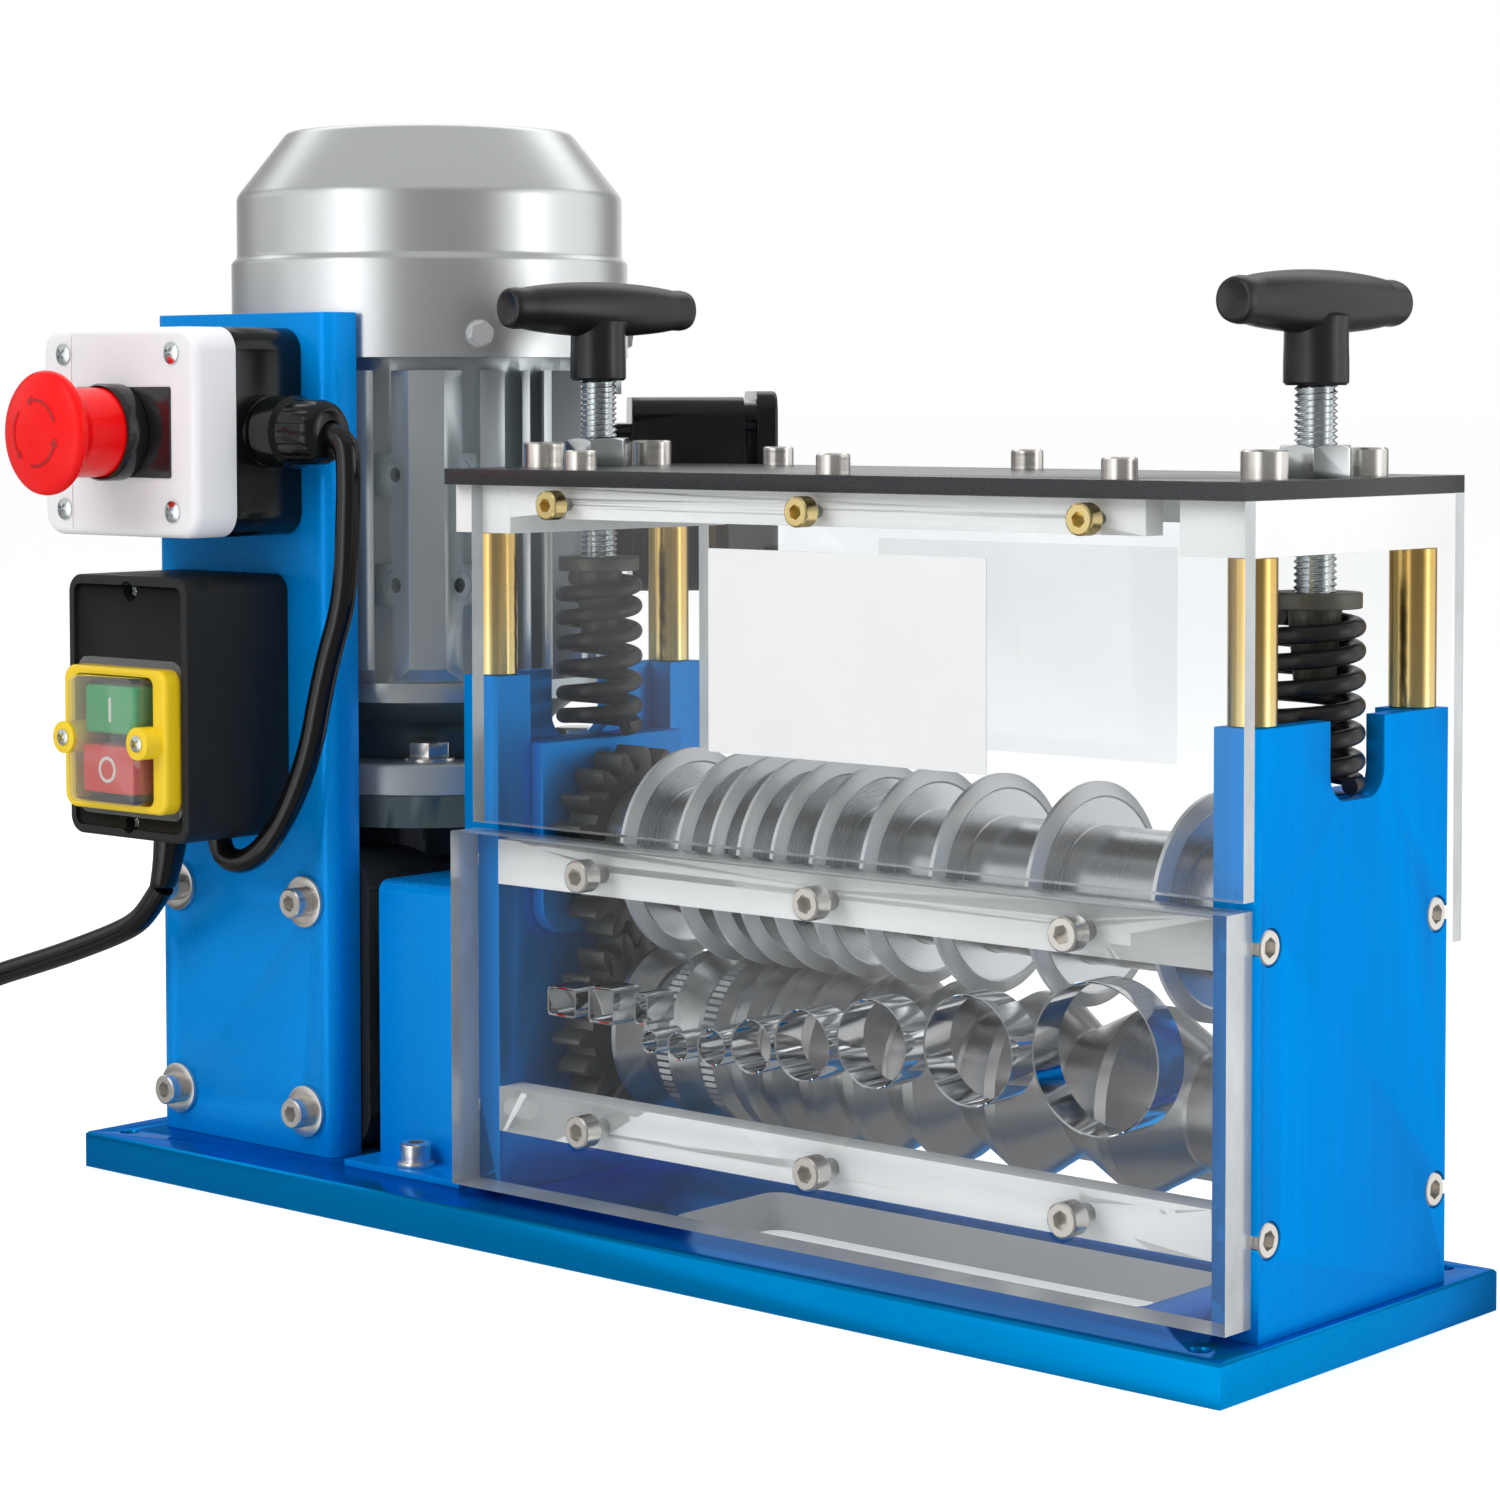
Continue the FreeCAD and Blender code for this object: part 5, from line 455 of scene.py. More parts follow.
BEVEL_STEEL = Finish("bright ground bevel", (0.84, 0.85, 0.86), 0.32, 0.6, Grain.TURNED, (2600, 2600, 0),
                     depth=0.000001, grain_tone=0.05, grain_rough=0.04, centre=(0, 0, 0.1193))
CUTTER_STEEL = Finish("ground steel", (0.68, 0.69, 0.70), 0.26, 0.95, Grain.TURNED, (1600, 1600, 0),
                      depth=0.0000004, grain_tone=0.03, grain_rough=0.02, centre=(0, 0, 0.1193))
FEED_STEEL = Finish("turned steel", (0.52, 0.52, 0.52), 0.28, 0.95, Grain.TURNED, (1400, 1400, 0),
                    depth=0.0000004, grain_tone=0.03, grain_rough=0.02, centre=(0, 0, 0.0623))
GEAR_STEEL = Finish("dark gear steel", (0.12, 0.12, 0.10), 0.4, 0.7, Grain.PEBBLED, pebble=0.0008,
                    depth=0.00003, wear=0.7, wear_colour=(0.34, 0.34, 0.29))
SPRING_STEEL = Finish("black spring steel", (0.012, 0.012, 0.013), 0.26, 0.2, Grain.PEBBLED, pebble=0.0007,
                      depth=0.00001, uneven=0.12)
HANDLE_BLACK = Finish("moulded black handle", (0.010, 0.010, 0.011), 0.3, 0.0, Grain.PEBBLED, pebble=0.0005,
                      depth=0.000012, grain_tone=0.1, grain_rough=0.06, uneven=0.15)
GUIDE_CHROME = Finish("polished guide", (0.88, 0.89, 0.90), 0.05, 1.0, uneven=0.05)
SIGN_WHITE = Finish("bare white plate", (0.80, 0.81, 0.82), 0.35, 0.0, Grain.PEBBLED, pebble=0.0012,
                    depth=0.000004, grain_tone=0.02)
SILVER_PAINT = Finish("silver grey paint", (0.78, 0.80, 0.81), 0.29, 0.9, Grain.PEBBLED, pebble=0.0005,
                      depth=0.000012, grain_tone=0.08, grain_rough=0.05, uneven=0.05)
CAST_GREY = Finish("painted casting", (0.56, 0.61, 0.63), 0.28, 0.75, Grain.PEBBLED, pebble=0.0007,
                   depth=0.00001, grain_tone=0.05, grain_rough=0.05, uneven=0.05, wear=0.2,
                   wear_colour=(0.78, 0.81, 0.83))
CAST_BRIGHT = Finish("machined casting", (0.56, 0.62, 0.65), 0.3, 0.6, Grain.TURNED, (0, 1400, 0),
                     depth=0.00001, centre=(-0.165, 0.03, 0.0), axis=Axis.Z)
CAST_DARK = Finish("dark turned casting", (0.10, 0.145, 0.155), 0.34, 0.4, Grain.TURNED, (0, 1200, 0),
                   depth=0.00001, centre=(-0.165, 0.03, 0.0), axis=Axis.Z)
GEARBOX_PAINT = Finish("dark gearbox paint", (0.035, 0.04, 0.045), 0.33, 0.3, Grain.PEBBLED, pebble=0.0011,
                       depth=0.00004, uneven=0.12, wear=0.4, wear_colour=(0.3, 0.3, 0.32))
BOX_BLACK = Finish("glossy black plastic", (0.004, 0.005, 0.005), 0.16, 0.0, Grain.PEBBLED, pebble=0.0012,
                   depth=0.000008, grain_tone=0.1, grain_rough=0.04, uneven=0.15, shine=0.4)
SWITCH_BLACK = Finish("sparked black plastic", (0.018, 0.020, 0.021), 0.42, 0.0, Grain.PEBBLED, pebble=0.0004,
                      depth=0.00003, grain_tone=0.5, uneven=0.1, shine=0.3)
GLOSS_BLACK = Finish("polished black plastic", (0.010, 0.010, 0.012), 0.18, 0.0, uneven=0.1, coat=0.3)
COVER_WHITE = Finish("light grey plastic", (0.80, 0.81, 0.83), 0.30, 0.0, Grain.PEBBLED, pebble=0.0006,
                     depth=0.000008, grain_tone=0.02, uneven=0.03)
BUTTON_RED = Finish("red stop plastic", (0.86, 0.004, 0.005), 0.24, 0.0, Grain.PEBBLED, pebble=0.001,
                    depth=0.000006, grain_tone=0.04, grain_rough=0.04, shine=0.25)
# The raised arrows are painted a darker red: painted shade on the relief.
ARROW_PAINTED_SHADE = Finish("shaded red arrow", (0.36, 0.004, 0.004), 0.3, 0.0)
KEY_RED = Finish("red key plastic", (0.78, 0.03, 0.02), 0.3, 0.0, uneven=0.05)
KEY_GREEN = Finish("green key plastic", (0.01, 0.42, 0.13), 0.3, 0.0, uneven=0.05)
MARK_WHITE = Finish("white mark", (0.82, 0.82, 0.82), 0.4, 0.0, uneven=0.03)
FRAME_YELLOW = Finish("yellow frame plastic", (0.86, 0.60, 0.01), 0.28, 0.0, Grain.PEBBLED, pebble=0.0009,
                      depth=0.000008, grain_tone=0.03, coat=0.2)
STEM_GREY = Finish("grey stem plastic", (0.35, 0.36, 0.37), 0.4, 0.0)
CORD_BLACK = Finish("black cord jacket", (0.004, 0.004, 0.004), 0.15, 0.0, Grain.PEBBLED, pebble=0.0012,
                    depth=0.000006, grain_rough=0.04, uneven=0.12)
# Near white on the walls of the base's window: painted light that stands for the white backdrop seen through
# the opening.
WINDOW_PAINTED_WHITE = Finish("bright milled cut", (0.95, 0.95, 0.95), 0.5, 0.0, Grain.BRUSHED, (200, 200, 900),
                    depth=0.00001, grain_tone=0.04)
# The clear sheets' rims: an opaque silver grey with brighter edges, partly the frosted look of sawn acrylic
# and partly painted reflection and refraction of the edges.
SHEET_RIM_PAINTED_REFLECTION = Finish("sawn acrylic edge", (0.66, 0.69, 0.70), 0.16, 0.5, Grain.BRUSHED, (60, 60, 30),
                    depth=0.00004, grain_tone=0.35, grain_rough=0.1, wear=0.8, wear_colour=(0.85, 0.9, 0.92))
CLEAR_SHEET = Clear("clear acrylic sheet")
CLEAR_BOOT = Clear("clear soft cover", (0.93, 0.94, 0.93), 0.05, 2.0, 0.06, (0.7, 0.72, 0.72))
FAINT_FILM = Clear("faint pale film", (0.985, 0.985, 0.985), 0.05, 0.6, 0.06, (0.86, 0.86, 0.87))


# Shapes


def new_piece(name: str, shape: bmesh.types.BMesh) -> Piece:
    """Make an object of a mesh in millimetres and put it in the scene."""
    mesh = bpy.data.meshes.new(name)
    shape.to_mesh(mesh)
    shape.free()
    piece = bpy.data.objects.new(name, mesh)
    bpy.context.scene.collection.objects.link(piece)
    return piece


def modifier(piece: Piece, kind: str, **settings: Value) -> bpy.types.Modifier:
    """Add a modifier with its settings."""
    added = piece.modifiers.new(kind.lower(), kind)
    for name, value in settings.items():
        setattr(added, name, value)
    return added


def soften(piece: Piece, width: float, steps: int = 2, angle: float = 32.0) -> Piece:
    """Round a piece's sharp edges.

    Args:
        piece: A piece in millimetres.
        width: How far the rounding reaches from an edge.
        steps: How many faces it has.
        angle: The least angle, in degrees, at which an edge is sharp.

    Returns:
        The same piece.
    """
    modifier(piece, "BEVEL", width=width, segments=steps, limit_method="ANGLE",
             angle_limit=math.radians(angle), use_clamp_overlap=True, miter_outer="MITER_SHARP",
             harden_normals=False)
    return piece


def settle(piece: Piece) -> Piece:
    """Turn a piece with its modifiers into a plain mesh."""
    bpy.context.view_layer.update()
    mesh = bpy.data.meshes.new_from_object(piece.evaluated_get(bpy.context.evaluated_depsgraph_get()))
    piece.modifiers.clear()
    old, piece.data = piece.data, mesh
    mesh.name = piece.name
    bpy.data.meshes.remove(old)
    return piece


def join(name: str, pieces: Sequence[Piece]) -> Piece:
    """Make one piece of several."""
    shape = bmesh.new()
    for piece in pieces:
        settle(piece)
        shape.from_mesh(piece.data)
        bpy.data.objects.remove(piece)
    return new_piece(name, shape)


def carve(piece: Piece, cutter: Piece, operation: str = "DIFFERENCE") -> Piece:
    """Cut one closed piece out of another, or unite the two."""
    modifier(piece, "BOOLEAN", operation=operation, object=cutter, solver="EXACT")
    settle(piece)
    bpy.data.objects.remove(cutter)
    return piece


def deliver(piece: Piece, finish: Union[Finish, Clear], node: str, stands: bool = True,
            sharp: float = 34.0) -> Piece:
    """Finish a piece: plain mesh in metres, material, body and the node it stands for.

    Args:
        piece: The shaped piece, in millimetres.
        finish: What it is dressed in.
        node: The CAD node it belongs to, which gives its body.
        stands: Whether the piece is shown in that node's place.
        sharp: Edges that turn by more than this many degrees stay sharp in the shading.

    Returns:
        The finished piece.
    """
    settle(piece)
    mesh = piece.data
    shape = bmesh.new()
    shape.from_mesh(mesh)
    bmesh.ops.recalc_face_normals(shape, faces=shape.faces)
    shape.to_mesh(mesh)
    shape.free()
    mesh.transform(Matrix.Scale(MM, 4))
    mesh.shade_smooth()
    mesh.set_sharp_from_angle(angle=math.radians(sharp))
    mesh.materials.clear()
    mesh.materials.append(finish.material())
    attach(piece, NODE_BODY[node])
    if stands:
        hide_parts(node)
    LOG.info("%s: %d faces in %s", piece.name, len(mesh.polygons), finish.name)
    return piece


def dress(node: str, finish: Union[Finish, Clear]) -> None:
    """Give a CAD node that keeps its shape a better material."""
    mesh = frame["nodes"][node].data
    mesh.materials.clear()
    mesh.materials.append(finish.material())
    LOG.info("%s keeps its shape, in %s", node, finish.name)


def paint(piece: Piece, finish: Union[Finish, Clear], chosen: Callable[[Vector, Vector], bool]) -> Piece:
    """Give part of a delivered piece a second finish.

    Args:
        piece: The delivered piece.
        finish: The second finish.
        chosen: Says for a face's centre, in millimetres, and its normal whether it is painted.

    Returns:
        The same piece.
    """
    mesh = piece.data
    mesh.materials.append(finish.material())
    for face in mesh.polygons:
        if chosen(face.center / MM, face.normal):
            face.material_index = len(mesh.materials) - 1
    return piece


def copy_of(node: str, name: Optional[str] = None) -> Piece:
    """Return a closed copy of a CAD node in millimetres, its flat faces whole again."""
    shape = bmesh.new()
    shape.from_mesh(frame["nodes"][node].data)
    shape.transform(Matrix.Scale(1 / MM, 4))
    bmesh.ops.remove_doubles(shape, verts=shape.verts, dist=0.002)
    bmesh.ops.dissolve_degenerate(shape, edges=shape.edges, dist=0.002)
    bmesh.ops.dissolve_limit(shape, angle_limit=math.radians(0.6), verts=shape.verts, edges=shape.edges)
    return new_piece(name or node + "_finished", shape)


def turned(name: str, profile: Profile, axis: Axis = Axis.Z, centre: Point = (0, 0, 0), steps: int = 96,
           ripple: Optional[Callable[[int, int], float]] = None) -> Piece:
    """Turn a profile about an axis.

    Args:
        name: The piece's name.
        profile: Pairs of radius and place along the axis. It starts and ends on the axis, or closes on
            itself.
        axis: The axis of the turning.
        centre: A point on the axis.
        steps: Faces round the axis.
        ripple: Gives what is added to the radius for a profile point and a step.

    Returns:
        The turned piece.
    """
    shape = bmesh.new()
    rings: list[list[bmesh.types.BMVert]] = []
    for index, (radius, along) in enumerate(profile):
        if radius < 1e-6:
            rings.append([shape.verts.new((0, 0, along))])
            continue
        ring = []
        for step in range(steps):
            angle = 2 * math.pi * step / steps
            r = radius + (ripple(index, step) if ripple else 0.0)
            ring.append(shape.verts.new((r * math.cos(angle), r * math.sin(angle), along)))
        rings.append(ring)
    closed = len(rings[0]) > 1 and len(rings[-1]) > 1
    for low, high in zip(rings, rings[1:] + ([rings[0]] if closed else [])):
        for step in range(steps):
            after = (step + 1) % steps
            corners = [low[step % len(low)], low[after % len(low)],
                       high[after % len(high)], high[step % len(high)]]
            unique = list(dict.fromkeys(corners))
            if len(unique) > 2:
                shape.faces.new(unique)
    bmesh.ops.recalc_face_normals(shape, faces=shape.faces)
    shape.transform(Matrix.Translation(centre) @ axis.value.to_4x4())
    return new_piece(name, shape)


def slab(name: str, outline: Sequence[tuple[float, float]], low: float, high: float,
         axis: Axis = Axis.Z) -> Piece:
    """Raise a flat outline between two levels on an axis.

    Args:
        name: The new piece's name.
        outline: Pairs that are (x, y) for Z, (x, z) for Y and (y, z) for X.
        low: Where the slab starts on the axis.
        high: Where it ends.
        axis: The way the outline is raised.

    Returns:
        The new piece, closed.
    """
    place = {
        Axis.Z: lambda a, b, level: (a, b, level),
        Axis.Y: lambda a, b, level: (a, level, b),
        Axis.X: lambda a, b, level: (level, a, b),
    }[axis]
    shape = bmesh.new()
    bottom = [shape.verts.new(place(a, b, low)) for a, b in outline]
    top = [shape.verts.new(place(a, b, high)) for a, b in outline]
    shape.faces.new(bottom)
    shape.faces.new(top)
    for i in range(len(outline)):
        j = (i + 1) % len(outline)
        shape.faces.new((bottom[i], bottom[j], top[j], top[i]))
    bmesh.ops.recalc_face_normals(shape, faces=shape.faces)
    return new_piece(name, shape)


def rounded_outline(x: float, y: float, width: float, height: float, radius: float,
                    steps: int = 8) -> list[tuple[float, float]]:
    """Draw a rectangle with round corners.

    Args:
        x: The middle along the first direction.
        y: The middle along the second.
        width: The whole size along the first.
        height: The whole size along the second.
        radius: The corners' radius.
        steps: How many edges a corner has.

    Returns:
        The outline's points, once round.
    """
    points = []
    for quarter, (i, k) in enumerate(((1, 1), (-1, 1), (-1, -1), (1, -1))):
        for step in range(steps + 1):
            angle = math.pi / 2 * (quarter + step / steps)
            points.append((x + i * (width / 2 - radius) + radius * math.cos(angle),
                           y + k * (height / 2 - radius) + radius * math.sin(angle)))
    return points


def fillet(points: Profile, radii: dict[int, float], steps: int = 6) -> list[tuple[float, float]]:
    """Round chosen corners of a profile.

    Args:
        points: The profile.
        radii: The radius for each corner that is rounded, by the corner's number.
        steps: How many edges a corner has.

    Returns:
        The new profile.
    """
    result: list[tuple[float, float]] = []
    for index, point in enumerate(points):
        radius = radii.get(index)
        if not radius:
            result.append(tuple(point))
            continue
        at, before = Vector(point), Vector(points[index - 1])
        after = Vector(points[(index + 1) % len(points)])
        a, b = (before - at).normalized(), (after - at).normalized()
        half = a.angle(b) / 2
        reach = radius / math.tan(half)
        middle = at + (a + b).normalized() * (radius / math.sin(half))
        start, end = at + a * reach - middle, at + b * reach - middle
        for step in range(steps + 1):
            mixed = start.lerp(end, step / steps)
            result.append(tuple(middle + mixed.normalized() * radius))
    return result


# Geometry Nodes for what repeats or follows a rule


class Tree:
    """A Geometry Nodes tree with named inputs, and the modifier that runs it on a piece."""

    def __init__(self, name: str, inputs: dict[str, Value]) -> None:
        """Build the tree's sockets; the type of each default says what kind of socket it is."""
        self.tree = bpy.data.node_groups.new(name, "GeometryNodeTree")
        self.tree.is_modifier = True
        kinds = {float: "NodeSocketFloat", int: "NodeSocketInt", tuple: "NodeSocketVector", str: "NodeSocket"}
        self.tree.interface.new_socket("Geometry", in_out="INPUT", socket_type="NodeSocketGeometry")
        self.tree.interface.new_socket("Geometry", in_out="OUTPUT", socket_type="NodeSocketGeometry")
        self.keys: dict[str, str] = {}
        for title, default in {**inputs, "Finish": "Material"}.items():
            kind = kinds[type(default)] + (default if isinstance(default, str) else "")
            socket = self.tree.interface.new_socket(title, in_out="INPUT", socket_type=kind)
            if not isinstance(default, str):
                socket.default_value = default
            self.keys[title] = socket.identifier
        self.graph = Graph(self.tree)
        self.given = self.graph.add("NodeGroupInput").outputs
        self.sink = self.graph.add("NodeGroupOutput")

    def end(self, geometry: Value) -> "Tree":
        """Realize the instances, set the material and close the tree."""
        real = self.graph.add("GeometryNodeRealizeInstances", None, Geometry=geometry).outputs[0]
        done = self.graph.add("GeometryNodeSetMaterial", None, Geometry=real, Material=self.given["Finish"])
        self.graph.put(self.sink.inputs[0], done.outputs[0])
        return self

    def run(self, piece: Piece, finish: Union[Finish, Clear], **values: Value) -> Piece:
        """Run the tree on a piece and keep the result as its plain mesh."""
        added = piece.modifiers.new(self.tree.name, "NODES")
        added.node_group = self.tree
        added[self.keys["Finish"]] = finish.material()
        for title, value in values.items():
            added[self.keys[title.replace("_", " ")]] = value
        return settle(piece)


@dataclass(frozen=True)
class Place:
    """Where one copy goes: its point, the way its Z axis looks, its turn in degrees and its size."""

    at: Point
    aim: Point = UP
    spin: float = 0.0
    size: Point = (1.0, 1.0, 1.0)


def points_for(name: str, places: Sequence[Place]) -> Piece:
    """Make the loose points that a tree puts its copies on.

    Args:
        name: The new object's name.
        places: Where the copies go.

    Returns:
        The object, whose points carry each place's aim, spin and size.
    """
    mesh = bpy.data.meshes.new(name)
    mesh.from_pydata([p.at for p in places], [], [])
    for title, kind, values in (
        ("aim", "FLOAT_VECTOR", [c for p in places for c in p.aim]),
        ("size", "FLOAT_VECTOR", [c for p in places for c in p.size]),
        ("spin", "FLOAT", [math.radians(p.spin) for p in places]),
    ):
        data = mesh.attributes.new(title, kind, "POINT").data
        data.foreach_set("vector" if kind == "FLOAT_VECTOR" else "value", values)
    piece = bpy.data.objects.new(name, mesh)
    bpy.context.scene.collection.objects.link(piece)
    return piece


def put_copies(graph: Graph, points: Value, instance: Value) -> Value:
    """Add the nodes that put a copy on every point, aimed, turned and sized as the point says.

    Args:
        graph: The tree's nodes.
        points: The geometry of the points.
        instance: The geometry of one copy, which stands on its XY plane.

    Returns:
        The copies.
    """

    def named(title: str, kind: str) -> Value:
        """Return a named attribute's socket."""
        node = graph.add("GeometryNodeInputNamedAttribute", {"data_type": kind}, Name=title)
        return node.outputs["Attribute"]

    aim = graph.add("FunctionNodeAlignRotationToVector", {"axis": "Z"}, Vector=named("aim", "FLOAT_VECTOR"))
    turn = graph.add("FunctionNodeAxisAngleToRotation", None, Axis=(0, 0, 1), Angle=named("spin", "FLOAT"))
    both = graph.add("FunctionNodeRotateRotation", {"rotation_space": "LOCAL"}, Rotation=aim.outputs[0],
                     Rotate_By=turn.outputs[0])
    node = graph.add("GeometryNodeInstanceOnPoints", None, Points=points, Instance=instance,
                     Rotation=both.outputs[0], Scale=named("size", "FLOAT_VECTOR"))
    return node.outputs[0]


class Repeats:
    """The trees that make the machine's repeated and rule-shaped pieces."""

    def __init__(self) -> None:
        """Build the trees."""
        self.copies = self.build_copies()
        self.socket_screw = self.build_socket_screw()
        self.cross_screw = self.build_cross_screw()
        self.hex_bolt = self.build_hex_bolt()
        self.thread = self.build_thread()
        self.wound_wire = self.build_wound_wire()

    @staticmethod
    def build_copies() -> Tree:
        """Return the tree that puts copies of another object on a piece's points."""
        tree = Tree("place copies", {"Source": "Object"})
        source = tree.graph.add("GeometryNodeObjectInfo", {"transform_space": "ORIGINAL"},
                                Object=tree.given["Source"], As_Instance=True)
        return tree.end(put_copies(tree.graph, tree.given["Geometry"], source.outputs["Geometry"]))

    @staticmethod
    def build_socket_screw() -> Tree:
        """Return the tree for knurled socket heads that stand on the points."""
        tree = Tree("socket head screws", {
            "Head Radius": 5.0, "Head Height": 6.0, "Socket Flats": 5.0, "Socket Depth": 3.0,
            "Knurls": 36, "Knurl Depth": 0.06, "Edge": 0.6,
        })
        graph, given = tree.graph, tree.given
        height, radius = given["Head Height"], given["Head Radius"]
        around = graph.math("MULTIPLY", given["Knurls"], 2.0)
        head = graph.add("GeometryNodeMeshCylinder", None, Vertices=around, Side_Segments=14, Radius=radius,
                         Depth=height).outputs["Mesh"]
        position = graph.add("GeometryNodeInputPosition").outputs[0]
        level = graph.math("ADD", graph.math("DIVIDE", graph.split(position)[2], height), 0.5)
        odd = graph.math("MODULO", graph.add("GeometryNodeInputIndex").outputs[0], 2.0)
        inside = graph.math("MULTIPLY", graph.math("GREATER_THAN", level, 0.1),
                            graph.math("LESS_THAN", level, 0.76))
        groove = graph.math("MULTIPLY", graph.math("MULTIPLY", odd, inside), given["Knurl Depth"])
        edge_start = graph.math("SUBTRACT", 1.0, graph.math("DIVIDE", given["Edge"], height))
        top = graph.math("SUBTRACT", level, edge_start)
        round_off = graph.math("MULTIPLY", graph.math("MAXIMUM", top, 0.0), height)
        share = graph.math("DIVIDE", round_off, given["Edge"])
        cut = graph.math("MULTIPLY", graph.math("POWER", share, 2.2), given["Edge"])
        less = graph.math("DIVIDE", graph.math("SUBTRACT", radius, graph.math("ADD", groove, cut)), radius)
        moved = graph.vector_math("MULTIPLY", position, graph.compose(less, less, 1.0))
        head = graph.add("GeometryNodeSetPosition", None, Geometry=head, Position=moved).outputs[0]
        lift = graph.compose(0.0, 0.0, graph.math("DIVIDE", height, 2.0))
        head = graph.add("GeometryNodeTransform", None, Geometry=head, Translation=lift).outputs[0]
        key = graph.add("GeometryNodeMeshCylinder", None, Vertices=6,
                        Radius=graph.math("DIVIDE", given["Socket Flats"], math.sqrt(3)),
                        Depth=graph.math("MULTIPLY", given["Socket Depth"], 2.0)).outputs["Mesh"]
        key = graph.add("GeometryNodeTransform", None, Geometry=key,
                        Translation=graph.compose(0.0, 0.0, height)).outputs[0]
        hollow = graph.add("GeometryNodeMeshBoolean", {"operation": "DIFFERENCE", "solver": "EXACT"})
        graph.put(hollow.inputs["Mesh 1"], head)
        graph.put(hollow.inputs["Mesh 2"], key)
        return tree.end(put_copies(graph, given["Geometry"], hollow.outputs[0]))

    @staticmethod
    def build_cross_screw() -> Tree:
        """Return the tree for domed cross-head screws that stand on the points."""
        tree = Tree("cross head screws", {"Head Radius": 3.5, "Head Height": 1.6, "Dome": 1.0,
                                          "Cross Length": 3.6, "Cross Width": 0.8})
        graph, given = tree.graph, tree.given
        height, radius = given["Head Height"], given["Head Radius"]
        head = graph.add("GeometryNodeMeshCylinder", {"fill_type": "TRIANGLE_FAN"}, Vertices=40,
                         Fill_Segments=5, Radius=radius, Depth=height).outputs["Mesh"]
        x, y, z = graph.split(graph.add("GeometryNodeInputPosition").outputs[0])
        squares = graph.math("ADD", graph.math("MULTIPLY", x, x), graph.math("MULTIPLY", y, y))
        out = graph.math("DIVIDE", graph.math("SQRT", squares), radius)
        fall = graph.math("MULTIPLY", graph.math("MULTIPLY", out, out), given["Dome"])
        drop = graph.math("MULTIPLY", fall, graph.math("GREATER_THAN", z, 0.0))
        offset = graph.compose(0.0, 0.0, graph.math("MULTIPLY", drop, -1.0))
        head = graph.add("GeometryNodeSetPosition", None, Geometry=head, Offset=offset).outputs[0]
        lift = graph.compose(0.0, 0.0, graph.math("DIVIDE", height, 2.0))
        head = graph.add("GeometryNodeTransform", None, Geometry=head, Translation=lift).outputs[0]
        cross = graph.add("GeometryNodeMeshBoolean", {"operation": "DIFFERENCE", "solver": "EXACT"})
        graph.put(cross.inputs["Mesh 1"], head)
        length, width = given["Cross Length"], given["Cross Width"]
        for size in ((length, width), (width, length)):
            bar = graph.add("GeometryNodeMeshCube", None, Size=graph.compose(*size, 2.2)).outputs["Mesh"]
            lift = graph.compose(0.0, 0.0, graph.math("ADD", height, 0.1))
            bar = graph.add("GeometryNodeTransform", None, Geometry=bar, Translation=lift).outputs[0]
            graph.put(cross.inputs["Mesh 2"], bar)
        return tree.end(put_copies(graph, given["Geometry"], cross.outputs[0]))

    @staticmethod
    def build_hex_bolt() -> Tree:
        """Return the tree for six-sided heads, each on its washer."""
        tree = Tree("hexagon heads", {"Flats": 13.0, "Head Height": 5.3, "Washer Radius": 8.5,
                                      "Washer Height": 1.5})
        graph, given = tree.graph, tree.given
        washer = graph.add("GeometryNodeMeshCylinder", None, Vertices=48, Radius=given["Washer Radius"],
                           Depth=given["Washer Height"]).outputs["Mesh"]
        lift = graph.compose(0.0, 0.0, graph.math("DIVIDE", given["Washer Height"], 2.0))
        washer = graph.add("GeometryNodeTransform", None, Geometry=washer, Translation=lift).outputs[0]
        head = graph.add("GeometryNodeMeshCylinder", None, Vertices=6, Depth=given["Head Height"],
                         Radius=graph.math("DIVIDE", given["Flats"], math.sqrt(3))).outputs["Mesh"]
        lift = graph.math("ADD", given["Washer Height"], graph.math("DIVIDE", given["Head Height"], 2.0))
        head = graph.add("GeometryNodeTransform", None, Geometry=head,
                         Translation=graph.compose(0.0, 0.0, lift)).outputs[0]
        both = graph.add("GeometryNodeJoinGeometry")
        graph.put(both.inputs[0], head)
        graph.put(both.inputs[0], washer)
        return tree.end(put_copies(graph, given["Geometry"], both.outputs[0]))

    @staticmethod
    def build_thread() -> Tree:
        """Return the tree for a threaded rod along Z, which winds a grid round the axis."""
        tree = Tree("threaded rod", {"Radius": 6.0, "Length": 70.0, "Pitch": 1.75, "Depth": 0.9, "Around": 40,
                                     "Rows": 300})
        graph, given = tree.graph, tree.given
        grid = graph.add("GeometryNodeMeshGrid", None, Size_X=1.0, Size_Y=1.0, Vertices_X=given["Around"],
                         Vertices_Y=given["Rows"]).outputs["Mesh"]
        x, y, _ = graph.split(graph.add("GeometryNodeInputPosition").outputs[0])
        turn, level = graph.math("ADD", x, 0.5), graph.math("ADD", y, 0.5)
        height = graph.math("MULTIPLY", level, given["Length"])
        turns_up = graph.math("DIVIDE", height, given["Pitch"])
        phase = graph.math("FRACT", graph.math("SUBTRACT", turns_up, turn))
        flank = graph.math("ABSOLUTE", graph.math("SUBTRACT", graph.math("MULTIPLY", phase, 2.0), 1.0))
        crest = graph.spread(flank, 0.08, 0.9, 0.0, 1.0)
        radius = graph.math("SUBTRACT", given["Radius"], graph.math("MULTIPLY", crest, given["Depth"]))
        solid = graph.math("MULTIPLY", graph.math("GREATER_THAN", level, 0.0001),
                           graph.math("LESS_THAN", level, 0.9999))
        radius = graph.math("MULTIPLY", radius, solid)
        angle = graph.math("MULTIPLY", turn, 2 * math.pi)
